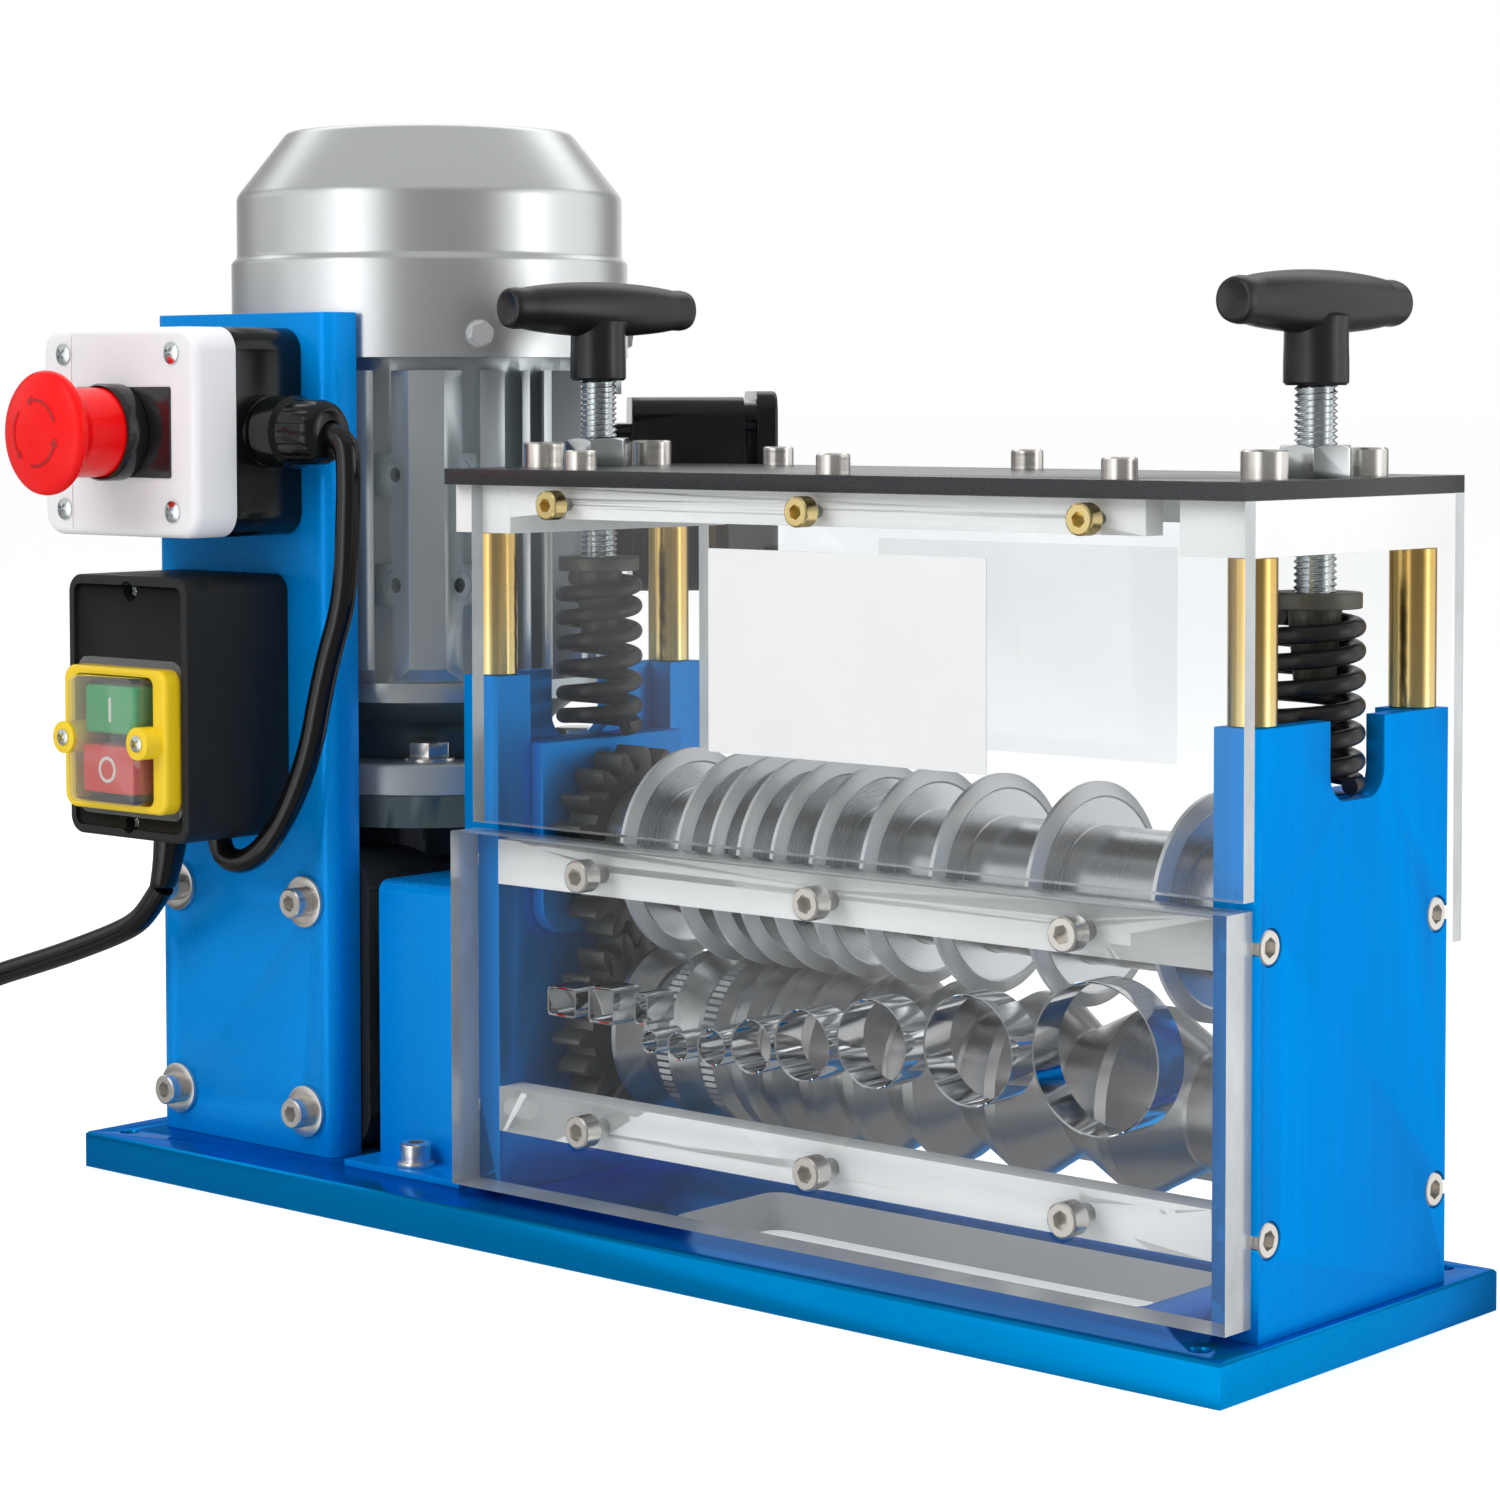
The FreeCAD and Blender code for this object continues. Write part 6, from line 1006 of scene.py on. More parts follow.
        place = graph.compose(graph.math("MULTIPLY", radius, graph.math("COSINE", angle)),
                              graph.math("MULTIPLY", radius, graph.math("SINE", angle)), height)
        rod = graph.add("GeometryNodeSetPosition", None, Geometry=grid, Position=place).outputs[0]
        rod = graph.add("GeometryNodeMergeByDistance", None, Geometry=rod, Distance=0.01).outputs[0]
        return tree.end(put_copies(graph, given["Geometry"], rod))

    @staticmethod
    def build_wound_wire() -> Tree:
        """Return the tree for part of a pressure spring about Z, with close end turns."""
        tree = Tree("wound wire", {"Radius": 11.5, "Wire": 5.0, "Low": 0.0, "High": 50.0, "Turns": 6.5,
                                   "End Pitch": 5.8, "From": 0.0, "To": 6.5, "Points": 300})
        graph, given = tree.graph, tree.given
        line = graph.add("GeometryNodeCurvePrimitiveLine").outputs[0]
        line = graph.add("GeometryNodeResampleCurve", None, Curve=line, Count=given["Points"]).outputs[0]
        factor = graph.add("GeometryNodeSplineParameter").outputs["Factor"]
        turn = graph.math("ADD", given["From"],
                          graph.math("MULTIPLY", factor, graph.math("SUBTRACT", given["To"], given["From"])))
        middle_turns = graph.math("SUBTRACT", given["Turns"], 2.0)
        rise = graph.math("SUBTRACT", graph.math("SUBTRACT", given["High"], given["Low"]),
                          graph.math("MULTIPLY", given["End Pitch"], 2.0))
        pitch = graph.math("DIVIDE", rise, middle_turns)
        past_middle = graph.math("SUBTRACT", turn, graph.math("ADD", middle_turns, 1.0))
        ends = graph.math("ADD", graph.math("MINIMUM", turn, 1.0), graph.math("MAXIMUM", past_middle, 0.0))
        past_end = graph.math("MAXIMUM", graph.math("SUBTRACT", turn, 1.0), 0.0)
        middle = graph.math("MINIMUM", past_end, middle_turns)
        climb = graph.math("ADD", graph.math("MULTIPLY", ends, given["End Pitch"]),
                           graph.math("MULTIPLY", middle, pitch))
        height = graph.math("ADD", given["Low"], climb)
        angle = graph.math("MULTIPLY", turn, 2 * math.pi)
        place = graph.compose(graph.math("MULTIPLY", given["Radius"], graph.math("COSINE", angle)),
                              graph.math("MULTIPLY", given["Radius"], graph.math("SINE", angle)), height)
        line = graph.add("GeometryNodeSetPosition", None, Geometry=line, Position=place).outputs[0]
        ring = graph.add("GeometryNodeCurvePrimitiveCircle", None, Resolution=18,
                         Radius=graph.math("DIVIDE", given["Wire"], 2.0)).outputs[0]
        wire = graph.add("GeometryNodeCurveToMesh", None, Curve=line, Profile_Curve=ring, Fill_Caps=True)
        return tree.end(put_copies(graph, given["Geometry"], wire.outputs[0]))


# Cords


@dataclass
class Cords:
    """The link cable, the mains cord with its put-away coil, the strain relief and the plug."""

    diameter: float = 8.0
    coil_centre_x: float = -420.0
    coil_start_y: float = -62.0
    outer_radius: float = 54.0
    radius_step: float = 4.3
    layer: float = 8.6
    floor_z: float = 4.0
    half_turns: int = 5
    points_per_half: int = 8
    lead_in: float = 5.0
    plug_leads: tuple[float, float] = (12.0, 26.5)
    relief_x: float = -194.5
    relief_top: float = 118.0
    relief_length: float = 20.0
    relief_bend: float = 1.8
    exit_x: float = -199.0
    link_route: Sequence[Point] = (
        (-123.0, -61.0, 251.0), (-108.5, -61.0, 251.0), (-107.4, -61.0, 236.5), (-108.2, -61.0, 222.0),
        (-108.9, -61.0, 207.3), (-111.4, -61.0, 193.7), (-117.1, -61.0, 180.5), (-122.0, -61.0, 165.5),
        (-126.1, -61.0, 149.9), (-133.5, -61.0, 134.7), (-142.3, -61.8, 121.1), (-152.5, -62.9, 111.3),
        (-161.9, -63.8, 109.4), (-168.5, -64.0, 113.6), (-168.5, -64.0, 121.2),
    )
    mains_route: Sequence[Point] = (
        (-199.0, -63.0, 98.0), (-205.0, -63.0, 91.0), (-212.5, -62.9, 84.6), (-224.6, -62.8, 79.6),
        (-238.4, -62.6, 74.9), (-254.6, -62.4, 69.6), (-271.9, -62.3, 64.4), (-293.9, -62.3, 57.9),
        (-315.9, -62.3, 49.2), (-336.9, -62.2, 37.6), (-356.9, -62.1, 24.0), (-376.4, -62.0, 11.6),
        (-393.0, -62.0, 4.0), (-410.0, -62.0, 4.0),
    )

    def spline(self, name: str, route: Iterable[Point], node: str, *others: str) -> Piece:
        """Lay a cord along its control points and hang it on the machine.

        Args:
            name: The piece's name.
            route: The control points in millimetres.
            node: The CAD node it stands for.
            others: More nodes it stands for.

        Returns:
            The curve object.
        """
        curve = bpy.data.curves.new(name, "CURVE")
        curve.dimensions = "3D"
        curve.bevel_depth = self.diameter / 2 * MM
        curve.bevel_resolution = 6
        curve.resolution_u = 10
        curve.use_fill_caps = True
        points = list(route)
        line = curve.splines.new("NURBS")
        line.points.add(len(points) - 1)
        for control, point in zip(line.points, points):
            control.co = (*(c * MM for c in point), 1.0)
        line.order_u = 3
        line.use_endpoint_u = True
        curve.materials.append(CORD_BLACK.material())
        piece = bpy.data.objects.new(name, curve)
        bpy.context.scene.collection.objects.link(piece)
        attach(piece, NODE_BODY[node])
        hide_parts(node, *others)
        LOG.info("%s: %d control points", name, len(points))
        return piece

    def coil_route(self) -> list[Point]:
        """Return the coil's control points: half turns that spiral in, climb a layer and spiral out."""
        points: list[Point] = [(self.coil_centre_x + self.lead_in, self.coil_start_y, self.floor_z)]
        count, innermost = self.points_per_half, self.half_turns
        radii = [self.outer_radius - self.radius_step * i for i in range(innermost)]
        radii = radii + [self.outer_radius - self.radius_step * innermost] + radii[::-1]
        y = self.coil_start_y
        for index, radius in enumerate(radii):
            side = -1 if index % 2 == 0 else 1
            middle = y + radius * side
            for step in range(1, count + 1):
                angle = math.pi * (step - 0.5) / count
                climb = (step - 0.5) / count if index == innermost else float(index > innermost)
                wide = radius / math.cos(math.pi / count / 2) ** 0.5
                points.append((self.coil_centre_x + side * wide * math.sin(angle),
                               middle - side * wide * math.cos(angle), self.floor_z + self.layer * climb))
            y = y + 2 * radius * side
        end_z = self.floor_z + self.layer
        return points + [(self.coil_centre_x + lead, y, end_z) for lead in self.plug_leads]

    def build(self) -> None:
        """Lay both cords and finish the pieces on them."""
        link = self.spline("link_cable_jacket", self.link_route, "link_cable")
        relief = deliver(self.strain_relief(), CORD_BLACK, "strain_relief")
        plug = deliver(soften(copy_of("mains_plug"), 0.5), CORD_BLACK, "mains_plug")
        mains = self.spline("mains_cord_jacket", list(self.mains_route) + self.coil_route(), "power_cord",
                            "cord_coil")

    def strain_relief(self) -> Piece:
        """Return the slim tapered sleeve, a little bent towards the cord."""
        profile = [(0.0, 118.0), (7.0, 118.0), (7.0, 116.4), (5.6, 115.6), (5.5, 112.0), (5.2, 108.0),
                   (4.9, 104.0), (4.6, 100.0), (4.45, 98.4), (4.2, 98.0), (0.0, 98.0)]
        sleeve = turned("strain_relief_sleeve", profile, Axis.Z, (self.relief_x, -63, 0), 48)
        for vertex in sleeve.data.vertices:
            share = (self.relief_top - vertex.co.z) / self.relief_length
            vertex.co.x -= (self.relief_x - self.exit_x) * share ** self.relief_bend
        return soften(sleeve, 0.25)


# The frame


@dataclass
class MachineFrame:
    """Base plate, side plates, posts, deck, bars, covers and the bracket."""

    post_radius: float = 6.7
    post_low: float = 175.0
    post_high: float = 220.0
    post_shoulder: float = 0.4
    post_xs: tuple[float, float] = (-62.5, 221.5)
    post_ys: tuple[float, float] = (-40.0, 40.0)
    window_xs: tuple[float, float] = (0.0, 190.0)
    window_ys: tuple[float, float] = (-40.0, 20.0)

    def build(self, repeats: Repeats) -> None:
        """Make and dress the plates, the posts and the folded covers."""
        for node, finish, width in (
            ("base_plate", BLUE_BASE, 0.35), ("left_side_plate", BLUE_PLATE, 0.45),
            ("right_side_plate", BLUE_PLATE, 0.45), ("cross_bars", WHITE_BAR, 0.5),
            ("cross_blocks", WHITE_BAR, 0.5), ("guard_bars", WHITE_BAR, 0.5), ("top_plate", DECK_BLACK, 0.4),
            ("motor_bracket", BLUE_SHEET, 0.35), ("gear_cover", BLUE_SHEET, 0.3),
            ("bearing_blocks", BLUE_PLATE, 0.5),
        ):
            piece = deliver(soften(copy_of(node), width), finish, node)
            if node == "base_plate":
                # The window walls get near white: painted light for the backdrop seen through the window.
                paint(piece, WINDOW_PAINTED_WHITE, self.in_window)
        self.posts(repeats)

    def in_window(self, centre: Vector, normal: Vector) -> bool:
        """Say whether a face of the base is a wall of its window."""
        (left, right), (front, back) = self.window_xs, self.window_ys
        return abs(normal.z) < 0.5 and left < centre.x < right and front < centre.y < back

    def posts(self, repeats: Repeats) -> None:
        """Make the four plated posts, each with a turned shoulder at both ends."""
        r, low, high, e = self.post_radius, self.post_low, self.post_high, self.post_shoulder
        profile = [(0, low), (r - e, low), (r, low + e), (r, high - e), (r - e, high), (0, high)]
        post = turned("post_pattern", [(a, b - low) for a, b in profile], steps=64)
        places = [Place((x, y, low)) for x in self.post_xs for y in self.post_ys]
        row = repeats.copies.run(points_for("plated_posts", places), GOLD_POST, Source=post)
        bpy.data.objects.remove(post)
        deliver(row, GOLD_POST, "top_posts")


@dataclass
class ClearGuards:
    """The clear upper guards, the thick front panel, its guides and the bare plates."""

    guide_low_y: float = -59.0
    guide_high_y: float = -47.0
    wall: float = 0.6
    rim_xs: tuple[float, float] = (-57.5, 225.0)
    rim_zs: tuple[float, float] = (18.0, 126.0)
    round_guides: Sequence[Point] = (
        (20.5, 70.3, 7.0), (32.0, 70.3, 8.5), (45.3, 71.4, 11.2), (60.8, 73.5, 16.0), (80.2, 76.1, 21.0),
        (106.1, 79.5, 25.6), (140.7, 81.6, 31.4), (184.0, 84.3, 42.3),
    )
    flat_guides: Sequence[tuple[float, float, float, float]] = (
        (-16.0, 78.3, 12.0, 9.0), (0.5, 79.0, 10.5, 11.0), (17.0, 79.7, 5.6, 9.4),
    )

    def build(self) -> None:
        """Make the clear sheets, the guides and the plates."""
        for node, width in (("upper_guards", 0.3), ("front_panel", 0.35)):
            sheet = deliver(soften(copy_of(node), width, 1), CLEAR_SHEET, node)
            # The rims get the opaque grey: partly sawn acrylic, partly painted reflection and refraction with
            # painted highlights on their edges.
            paint(sheet, SHEET_RIM_PAINTED_REFLECTION, self.on_rim)
        self.guides()
        for name, finish, x0, x1, z0, z1, y, out in (
            ("front_bare_plate", SIGN_WHITE, 41.5, 144.5, 158.2, 218.0, -55.05, -0.5),
            ("rear_bare_plate", FAINT_FILM, 15.0, 131.0, 151.6, 217.0, 55.05, 0.5),
        ):
            outline = rounded_outline((x0 + x1) / 2, (z0 + z1) / 2, x1 - x0, z1 - z0, 0.6)
            plate = slab(name, outline, min(y, y + out), max(y, y + out), Axis.Y)
            deliver(soften(plate, 0.12, 1), finish, "upper_guards", stands=False)

    def on_rim(self, centre: Vector, normal: Vector) -> bool:
        """Say whether a face of a sheet is on its outer rim."""
        (left, right), (low, high) = self.rim_xs, self.rim_zs
        upright = abs(normal.x) > 0.9 and not left <= centre.x <= right
        level = abs(normal.z) > 0.9 and not low <= centre.z <= high
        return abs(normal.y) < 0.5 and (upright or level)

    def guides(self) -> None:
        """Make the polished liners, each with a rolled lip at both ends."""
        low, high, w = self.guide_low_y, self.guide_high_y, self.wall
        section = [(0.0, low + 0.2), (w * 0.35, low), (w, low + 0.35), (w, high - 0.35), (w * 0.35, high),
                   (0.0, high - 0.2)]
        rings = [turned("ring", [(diameter / 2 - inset, y) for inset, y in section], Axis.Y, (x, 0, z), 80)
                 for x, z, diameter in self.round_guides]
        for x, z, width, height in self.flat_guides:
            shape = bmesh.new()
            loops = []
            for inset, y in section:
                outline = rounded_outline(x, z, width - 2 * inset, height - 2 * inset, 1.4 - inset * 0.9, 4)
                loops.append([shape.verts.new((a, y, b)) for a, b in outline])
            for inner, outer in zip(loops, loops[1:] + loops[:1]):
                for i in range(len(inner)):
                    j = (i + 1) % len(inner)
                    shape.faces.new((inner[i], inner[j], outer[j], outer[i]))
            bmesh.ops.remove_doubles(shape, verts=shape.verts, dist=0.001)
            rings.append(new_piece("ring", shape))
        deliver(join("polished_guides", rings), GUIDE_CHROME, "wire_guides")


# The cutting head


@dataclass
class CuttingHead:
    """Both shafts with their discs, ridges, gears and bearings."""

    disc_xs: Sequence[float] = (-16.0, 7.0, 20.5, 32.0, 45.3, 60.8, 80.2, 106.1, 140.7, 184.0)
    cutter_z: float = 119.3
    feed_z: float = 62.3
    disc_radius: float = 32.5
    half_width: float = 2.5
    tip: float = 0.75
    bevel_radius: float = 28.5
    ridge_radius: float = 26.8
    ridge_half: float = 2.2
    knurled_ridges: tuple[int, int] = (1, 2)
    knurl_depth: float = 0.7

    def build(self, repeats: Repeats) -> None:
        """Make both shafts."""
        self.discs(repeats)
        self.spacers()
        self.roller()
        for node in ("upper_gear", "lower_gear"):
            deliver(soften(copy_of(node), 0.35), GEAR_STEEL, node)
        shaft = [(0, -62.0), (9.4, -62.0), (10, -61.4), (10, -47.5), (11, -47.5), (11, 205), (18, 205),
                 (18, 208), (10, 208), (10, 220.4), (9.4, 221.0), (0, 221.0)]
        shaft_piece = turned("cutter_shaft_turned", shaft, Axis.X, (0, 0, self.cutter_z))
        deliver(shaft_piece, CUTTER_STEEL, "upper_shaft")
        for node in ("upper_bearings", "lower_bearings"):
            deliver(soften(copy_of(node), 0.25), NICKEL, node)

    def discs(self, repeats: Repeats) -> None:
        """Make the cutter discs: a hollow-ground bevel and a narrow land at the rim."""
        r, w, t = self.disc_radius, self.half_width, self.tip
        half = [(11.0, w), (19.8, w), (20.3, w - 0.25), (27.9, w - 0.25), (self.bevel_radius, w),
                (r - 0.25, t + 0.1), (r, t - 0.1)]
        profile = [(a, -b) for a, b in half] + [(a, b) for a, b in reversed(half)]
        disc = turned("disc_pattern", profile, steps=128)
        places = [Place((x, 0, self.cutter_z), RIGHT) for x in self.disc_xs]
        row = repeats.copies.run(points_for("cutter_discs_ground", places), CUTTER_STEEL, Source=disc)
        bpy.data.objects.remove(disc)
        paint(deliver(row, CUTTER_STEEL, "cutter_discs", sharp=20), BEVEL_STEEL, self.on_bevel)

    def on_bevel(self, centre: Vector, normal: Vector) -> bool:
        """Say whether a face belongs to a disc's ground bevel."""
        return math.hypot(centre.y, centre.z - self.cutter_z) > self.bevel_radius

    def spacers(self) -> None:
        """Make the spacer sleeves between the discs, each with broken edges."""
        sleeves = []
        starts = [-35.5] + [x + self.half_width for x in self.disc_xs]
        stops = [x - self.half_width for x in self.disc_xs] + [205.0]
        for low, high in zip(starts, stops):
            profile = [(11.0, low), (19.5, low), (20.0, low + 0.5), (20.0, high - 0.5), (19.5, high),
                       (11.0, high)]
            sleeves.append(turned("sleeve", profile, Axis.X, (0, 0, self.cutter_z)))
        deliver(join("spacer_sleeves", sleeves), CUTTER_STEEL, "disc_spacers", sharp=25)

    def roller(self) -> None:
        """Make the feed roller: worked grooves, and knurls on the ridges that grip thin wire."""
        ridge, half = self.ridge_radius, self.ridge_half
        between = [(a + b) / 2 for a, b in zip(self.disc_xs, self.disc_xs[1:])]
        lefts = [-26.0 + half] + [x + half for x in between]
        rights = [x - half for x in between] + [205.5 - half]
        profile = [(0, -150.0), (9.5, -150.0), (10, -149.5), (10, -35.5), (15, -35.5), (15, -26.0),
                   (ridge - 0.4, -26.0)]
        knurled: set[int] = set()
        for index, (left, x, right) in enumerate(zip(lefts, self.disc_xs, rights)):
            depth = (right - left) * 0.22 + 1.5
            start = len(profile)
            profile += [(ridge, left - 2 * half + 0.4) if index else (ridge, -25.6), (ridge, left - 0.1),
                        (ridge - 0.35, left + 0.25)]
            if index in self.knurled_ridges:
                knurled |= {start, start + 1}
            profile += [(ridge - depth, x - 0.8), (ridge - depth, x + 0.8), (ridge - 0.35, right - 0.25)]
        profile += [(ridge, right + 0.1), (ridge, 205.1), (ridge - 0.4, 205.5), (10, 205.5), (10, 220.5),
                    (9.5, 221.0), (0, 221.0)]

        def ripple(point: int, step: int) -> float:
            """Return the depth of a knurl at every other step of the knurled ridges."""
            return -self.knurl_depth if point in knurled and step % 2 else 0.0

        piece = turned("feed_roller_turned", profile, Axis.X, (0, 0, self.feed_z), 144, ripple)
        deliver(piece, FEED_STEEL, "feed_roller", sharp=25)


@dataclass
class PressureScrew:
    """One T-handled screw with its seat and its spring."""

    side: str
    x: float
    seat_top: float
    turn: float
    screw_length: float = 72.45
    screw_foot: float = 2.45
    bar_lift: float = 79.2
    block_top: float = 153.5
    seat_height: float = 4.4
    wire: float = 5.0
    wire_gap: float = 0.15
    turns: float = 6.5

    def build(self, repeats: Repeats) -> None:
        """Make the thread, the handle, the seat and the two halves of the spring."""
        foot = points_for(self.side + "_thread", [Place((self.x, 0, self.seat_top - self.screw_foot))])
        rod = repeats.thread.run(foot, ZINC, Length=self.screw_length, Rows=330)
        deliver(rod, ZINC, self.side + "_t_screw", sharp=50)
        deliver(self.handle(), HANDLE_BLACK, self.side + "_t_handle", sharp=40)
        seat = soften(copy_of(self.side + "_spring_seat"), 0.4)
        deliver(seat, GEAR_STEEL, self.side + "_spring_seat")
        self.spring(repeats)

    def handle(self) -> Piece:
        """Return the moulded T-handle: a barrel bar and a hub that grows out of it."""
        axis = self.seat_top + self.bar_lift
        bar = [(0, -34.6), (3.6, -35.3), (5.2, -36.0), (6.0, -35.6), (6.35, -34.6), (6.6, -33.0)]
        bar += [(6.5 + 2.25 * (1 - (t / 30) ** 2) ** 0.9, float(t)) for t in range(-30, 31, 3)]
        bar += [(r, -t) for r, t in reversed(bar[:6])]
        across = turned("bar", bar, Axis.X, steps=64)
        hub = [(0, -22.8), (8.2, -22.8), (9.0, -22.0), (9.0, -17.0), (8.85, -12.0), (8.8, -7.0),
               (9.3, -4.0), (0, 0)]
        down = turned("hub", hub, steps=64)
        piece = carve(across, down, "UNION")
        piece.name = self.side + "_t_handle_moulded"
        turn = Matrix.Rotation(math.radians(self.turn), 4, "Z")
        piece.data.transform(Matrix.Translation((self.x, 0, axis)) @ turn)
        return soften(piece, 1.6, 4, 42)

    def spring(self, repeats: Repeats) -> None:
        """Make the spring in two halves; the upper one is then taken off the body and baked in place."""
        low = self.block_top + self.wire_gap + self.wire / 2
        high = self.seat_top - self.seat_height - self.wire_gap - self.wire / 2
        node, common = self.side + "_spring", {"Low": low, "High": high, "Points": 200}
        halves = []
        for name, first, last in (("lower", 0.0, self.turns / 2), ("upper", self.turns / 2, self.turns)):
            places = points_for("%s_%s_coils" % (node, name), [Place((self.x, 0, 0))])
            half = repeats.wound_wire.run(places, SPRING_STEEL, From=first, To=last, **common)
            halves.append(deliver(half, SPRING_STEEL, node))
        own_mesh(halves[0])
        halves[1].parent = None
        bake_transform(halves[1])


# Fasteners


@dataclass
class Fasteners:
    """All screws and nuts in sight, made by the trees of Repeats.

    A size is a head's radius, its height and the flats of its socket.
    """

    m8: tuple[float, float, float] = (6.5, 8.0, 6.0)
    m6: tuple[float, float, float] = (5.0, 6.0, 5.0)
    guard: tuple[float, float, float] = (4.5, 5.0, 4.0)
    washer_radius: float = 8.5
    small_washer_radius: float = 6.25
    washer_hole: float = 3.2
    washer_thickness: float = 1.5
    deck_z: float = 240.0
    large_xs: Sequence[float] = (-56.0, 215.0)
    large_ys: Sequence[float] = (-25.0, 25.0)
    small_xs: Sequence[float] = (-19.5, 81.5, 182.5)
    small_ys: Sequence[float] = (-46.0, 46.0)
    guard_xs: Sequence[float] = (-21.0, 79.0, 179.0)
    guard_y: float = 55.0
    guard_z: float = 229.4
    bar_zs: Sequence[float] = (117.0, 39.0)
    panel_xs: Sequence[float] = (-10.0, 81.5, 173.0)
    panel_y: float = -53.0
    right_x: float = 222.8
    left_x: float = -63.8
    side_ys: Sequence[float] = (-42.0, 42.0)
    bracket_xs: Sequence[float] = (-210.25, -145.75)
    bracket_y: float = -46.5
    bracket_zs: Sequence[float] = (96.2, 26.6)
    foot_at: Point = (-99.5, -41.0, 14.0)
    cover_middle: Point = (-185.0, -91.5, 251.0)
    cover_reach: tuple[float, float] = (27.5, 25.5)
    sunk_middle: Point = (-183.75, -84.6, 161.0)
    sunk_reach: float = 38.0
    lug_middle: Point = (-183.5, -101.4, 151.0)
    lug_reach: float = 18.8
    sharp: float = 28.0
    seed: int = SEED

    def heads(self, repeats: Repeats, name: str, places: Sequence[Place], size: tuple[float, float, float],
              finish: Finish) -> Piece:
        """Return socket heads of one size on their places."""
        radius, height, flats = size
        return repeats.socket_screw.run(points_for(name, places), finish, Head_Radius=radius,
                                        Head_Height=height, Socket_Flats=flats)

    def turned_places(self, points: Iterable[Point], aim: Point) -> list[Place]:
        """Return places that look one way, each with a turn of its own."""
        chance = random.Random(self.seed)
        return [Place(point, aim, chance.uniform(0, 60)) for point in points]

    def washers(self, points: Iterable[Point], axis: Axis, outward: float, radius: float) -> list[Piece]:
        """Make plain washers.

        Args:
            points: Where each washer's lower face has its middle.
            axis: The way the washers look, Y or Z.
            outward: 1.0 or -1.0, the way along it that they rise.
            radius: Their outer radius.

        Returns:
            The washers.
        """
        made = []
        for x, y, z in points:
            near = {Axis.Y: y, Axis.Z: z}[axis]
            far = near + self.washer_thickness * outward
            hole = self.washer_hole
            profile = [(hole, near), (radius, near), (radius, far), (hole, far)]
            centre = (x, 0, z) if axis is Axis.Y else (x, y, 0)
            made.append(soften(turned("washer", profile, axis, centre, 48), 0.2))
        return made

    def build(self, repeats: Repeats) -> None:
        """Make every group of screws."""
        self.deck_screws(repeats)
        self.guard_screws(repeats)
        self.frame_screws(repeats)
        self.foot_screws(repeats)
        deliver(soften(copy_of("lock_nuts"), 0.3), ZINC, "lock_nuts")
        self.cross_heads(repeats)

    def deck_screws(self, repeats: Repeats) -> None:
        """Make the socket screws that stand on the deck."""
        large = self.turned_places([(x, y, self.deck_z) for x in self.large_xs for y in self.large_ys], UP)
        small = self.turned_places([(x, y, self.deck_z) for x in self.small_xs for y in self.small_ys], UP)
        top = [self.heads(repeats, "large", large, self.m8, NICKEL),
               self.heads(repeats, "small", small, self.m6, NICKEL)]
        deliver(join("deck_screws", top), NICKEL, "top_screws", sharp=self.sharp)

    def guard_screws(self, repeats: Repeats) -> None:
        """Make the plated screws that hold both clear guards."""
        gold = self.turned_places([(x, -self.guard_y, self.guard_z) for x in self.guard_xs], FRONT)
        gold += self.turned_places([(x, self.guard_y, self.guard_z) for x in self.guard_xs], BACK)
        heads = self.heads(repeats, "gold_guard_screws", gold, self.guard, GOLD_SCREW)
        deliver(heads, GOLD_SCREW, "guard_screws", sharp=self.sharp)

    def frame_screws(self, repeats: Repeats) -> None:
        """Make the screws of the front panel and the side plates."""
        places = self.turned_places([(x, self.panel_y, z) for x in self.panel_xs for z in self.bar_zs], FRONT)
        for x, aim in ((self.right_x, RIGHT), (self.left_x, LEFT)):
            places += self.turned_places([(x, y, z) for y in self.side_ys for z in self.bar_zs], aim)
        heads = self.heads(repeats, "frame_socket_screws", places, self.m6, NICKEL)
        deliver(heads, NICKEL, "frame_screws", sharp=self.sharp)

    def foot_screws(self, repeats: Repeats) -> None:
        """Make the washers and screws of the bracket and of the gear cover's foot."""
        bracket = [(x, self.bracket_y, z) for x in self.bracket_xs for z in self.bracket_zs]
        x, y, z = self.foot_at
        feet = self.turned_places([(a, b - self.washer_thickness, c) for a, b, c in bracket], FRONT)
        feet += self.turned_places([(x, y, z + self.washer_thickness)], UP)
        pieces = [self.heads(repeats, "feet", feet, self.m6, NICKEL)]
        pieces += self.washers(bracket, Axis.Y, -1.0, self.washer_radius)
        pieces += self.washers([self.foot_at], Axis.Z, 1.0, self.small_washer_radius)
        deliver(join("foot_screws_on_washers", pieces), NICKEL, "foot_screws", sharp=self.sharp)

    def cross_heads(self, repeats: Repeats) -> None:
        """Make the cross-head screws of both control boxes."""
        (x, y, z), (wide, high) = self.cover_middle, self.cover_reach
        cover = [(x + wide * i, y, z + high * k) for i in (-1, 1) for k in (-1, 1)]
        x, y, z = self.sunk_middle
        sunk = [(x, y, z + self.sunk_reach * i) for i in (-1, 1)]
        x, y, z = self.lug_middle
        lugs = [(x + self.lug_reach * i, y, z) for i in (-1, 1)]
        pieces = []
        for name, points, radius, height in (("cover", cover, 3.5, 1.6), ("sunk", sunk, 3.1, 1.6),
                                             ("lugs", lugs, 2.7, 1.0)):
            places = points_for(name, self.turned_places(points, FRONT))
            pieces.append(repeats.cross_screw.run(
                places, ZINC, Head_Radius=radius, Head_Height=height, Dome=height * 0.6,
                Cross_Length=radius * 1.2, Cross_Width=radius * 0.26))
        deliver(join("cross_head_screws", pieces), ZINC, "enclosure_screws", sharp=self.sharp)


# Motor


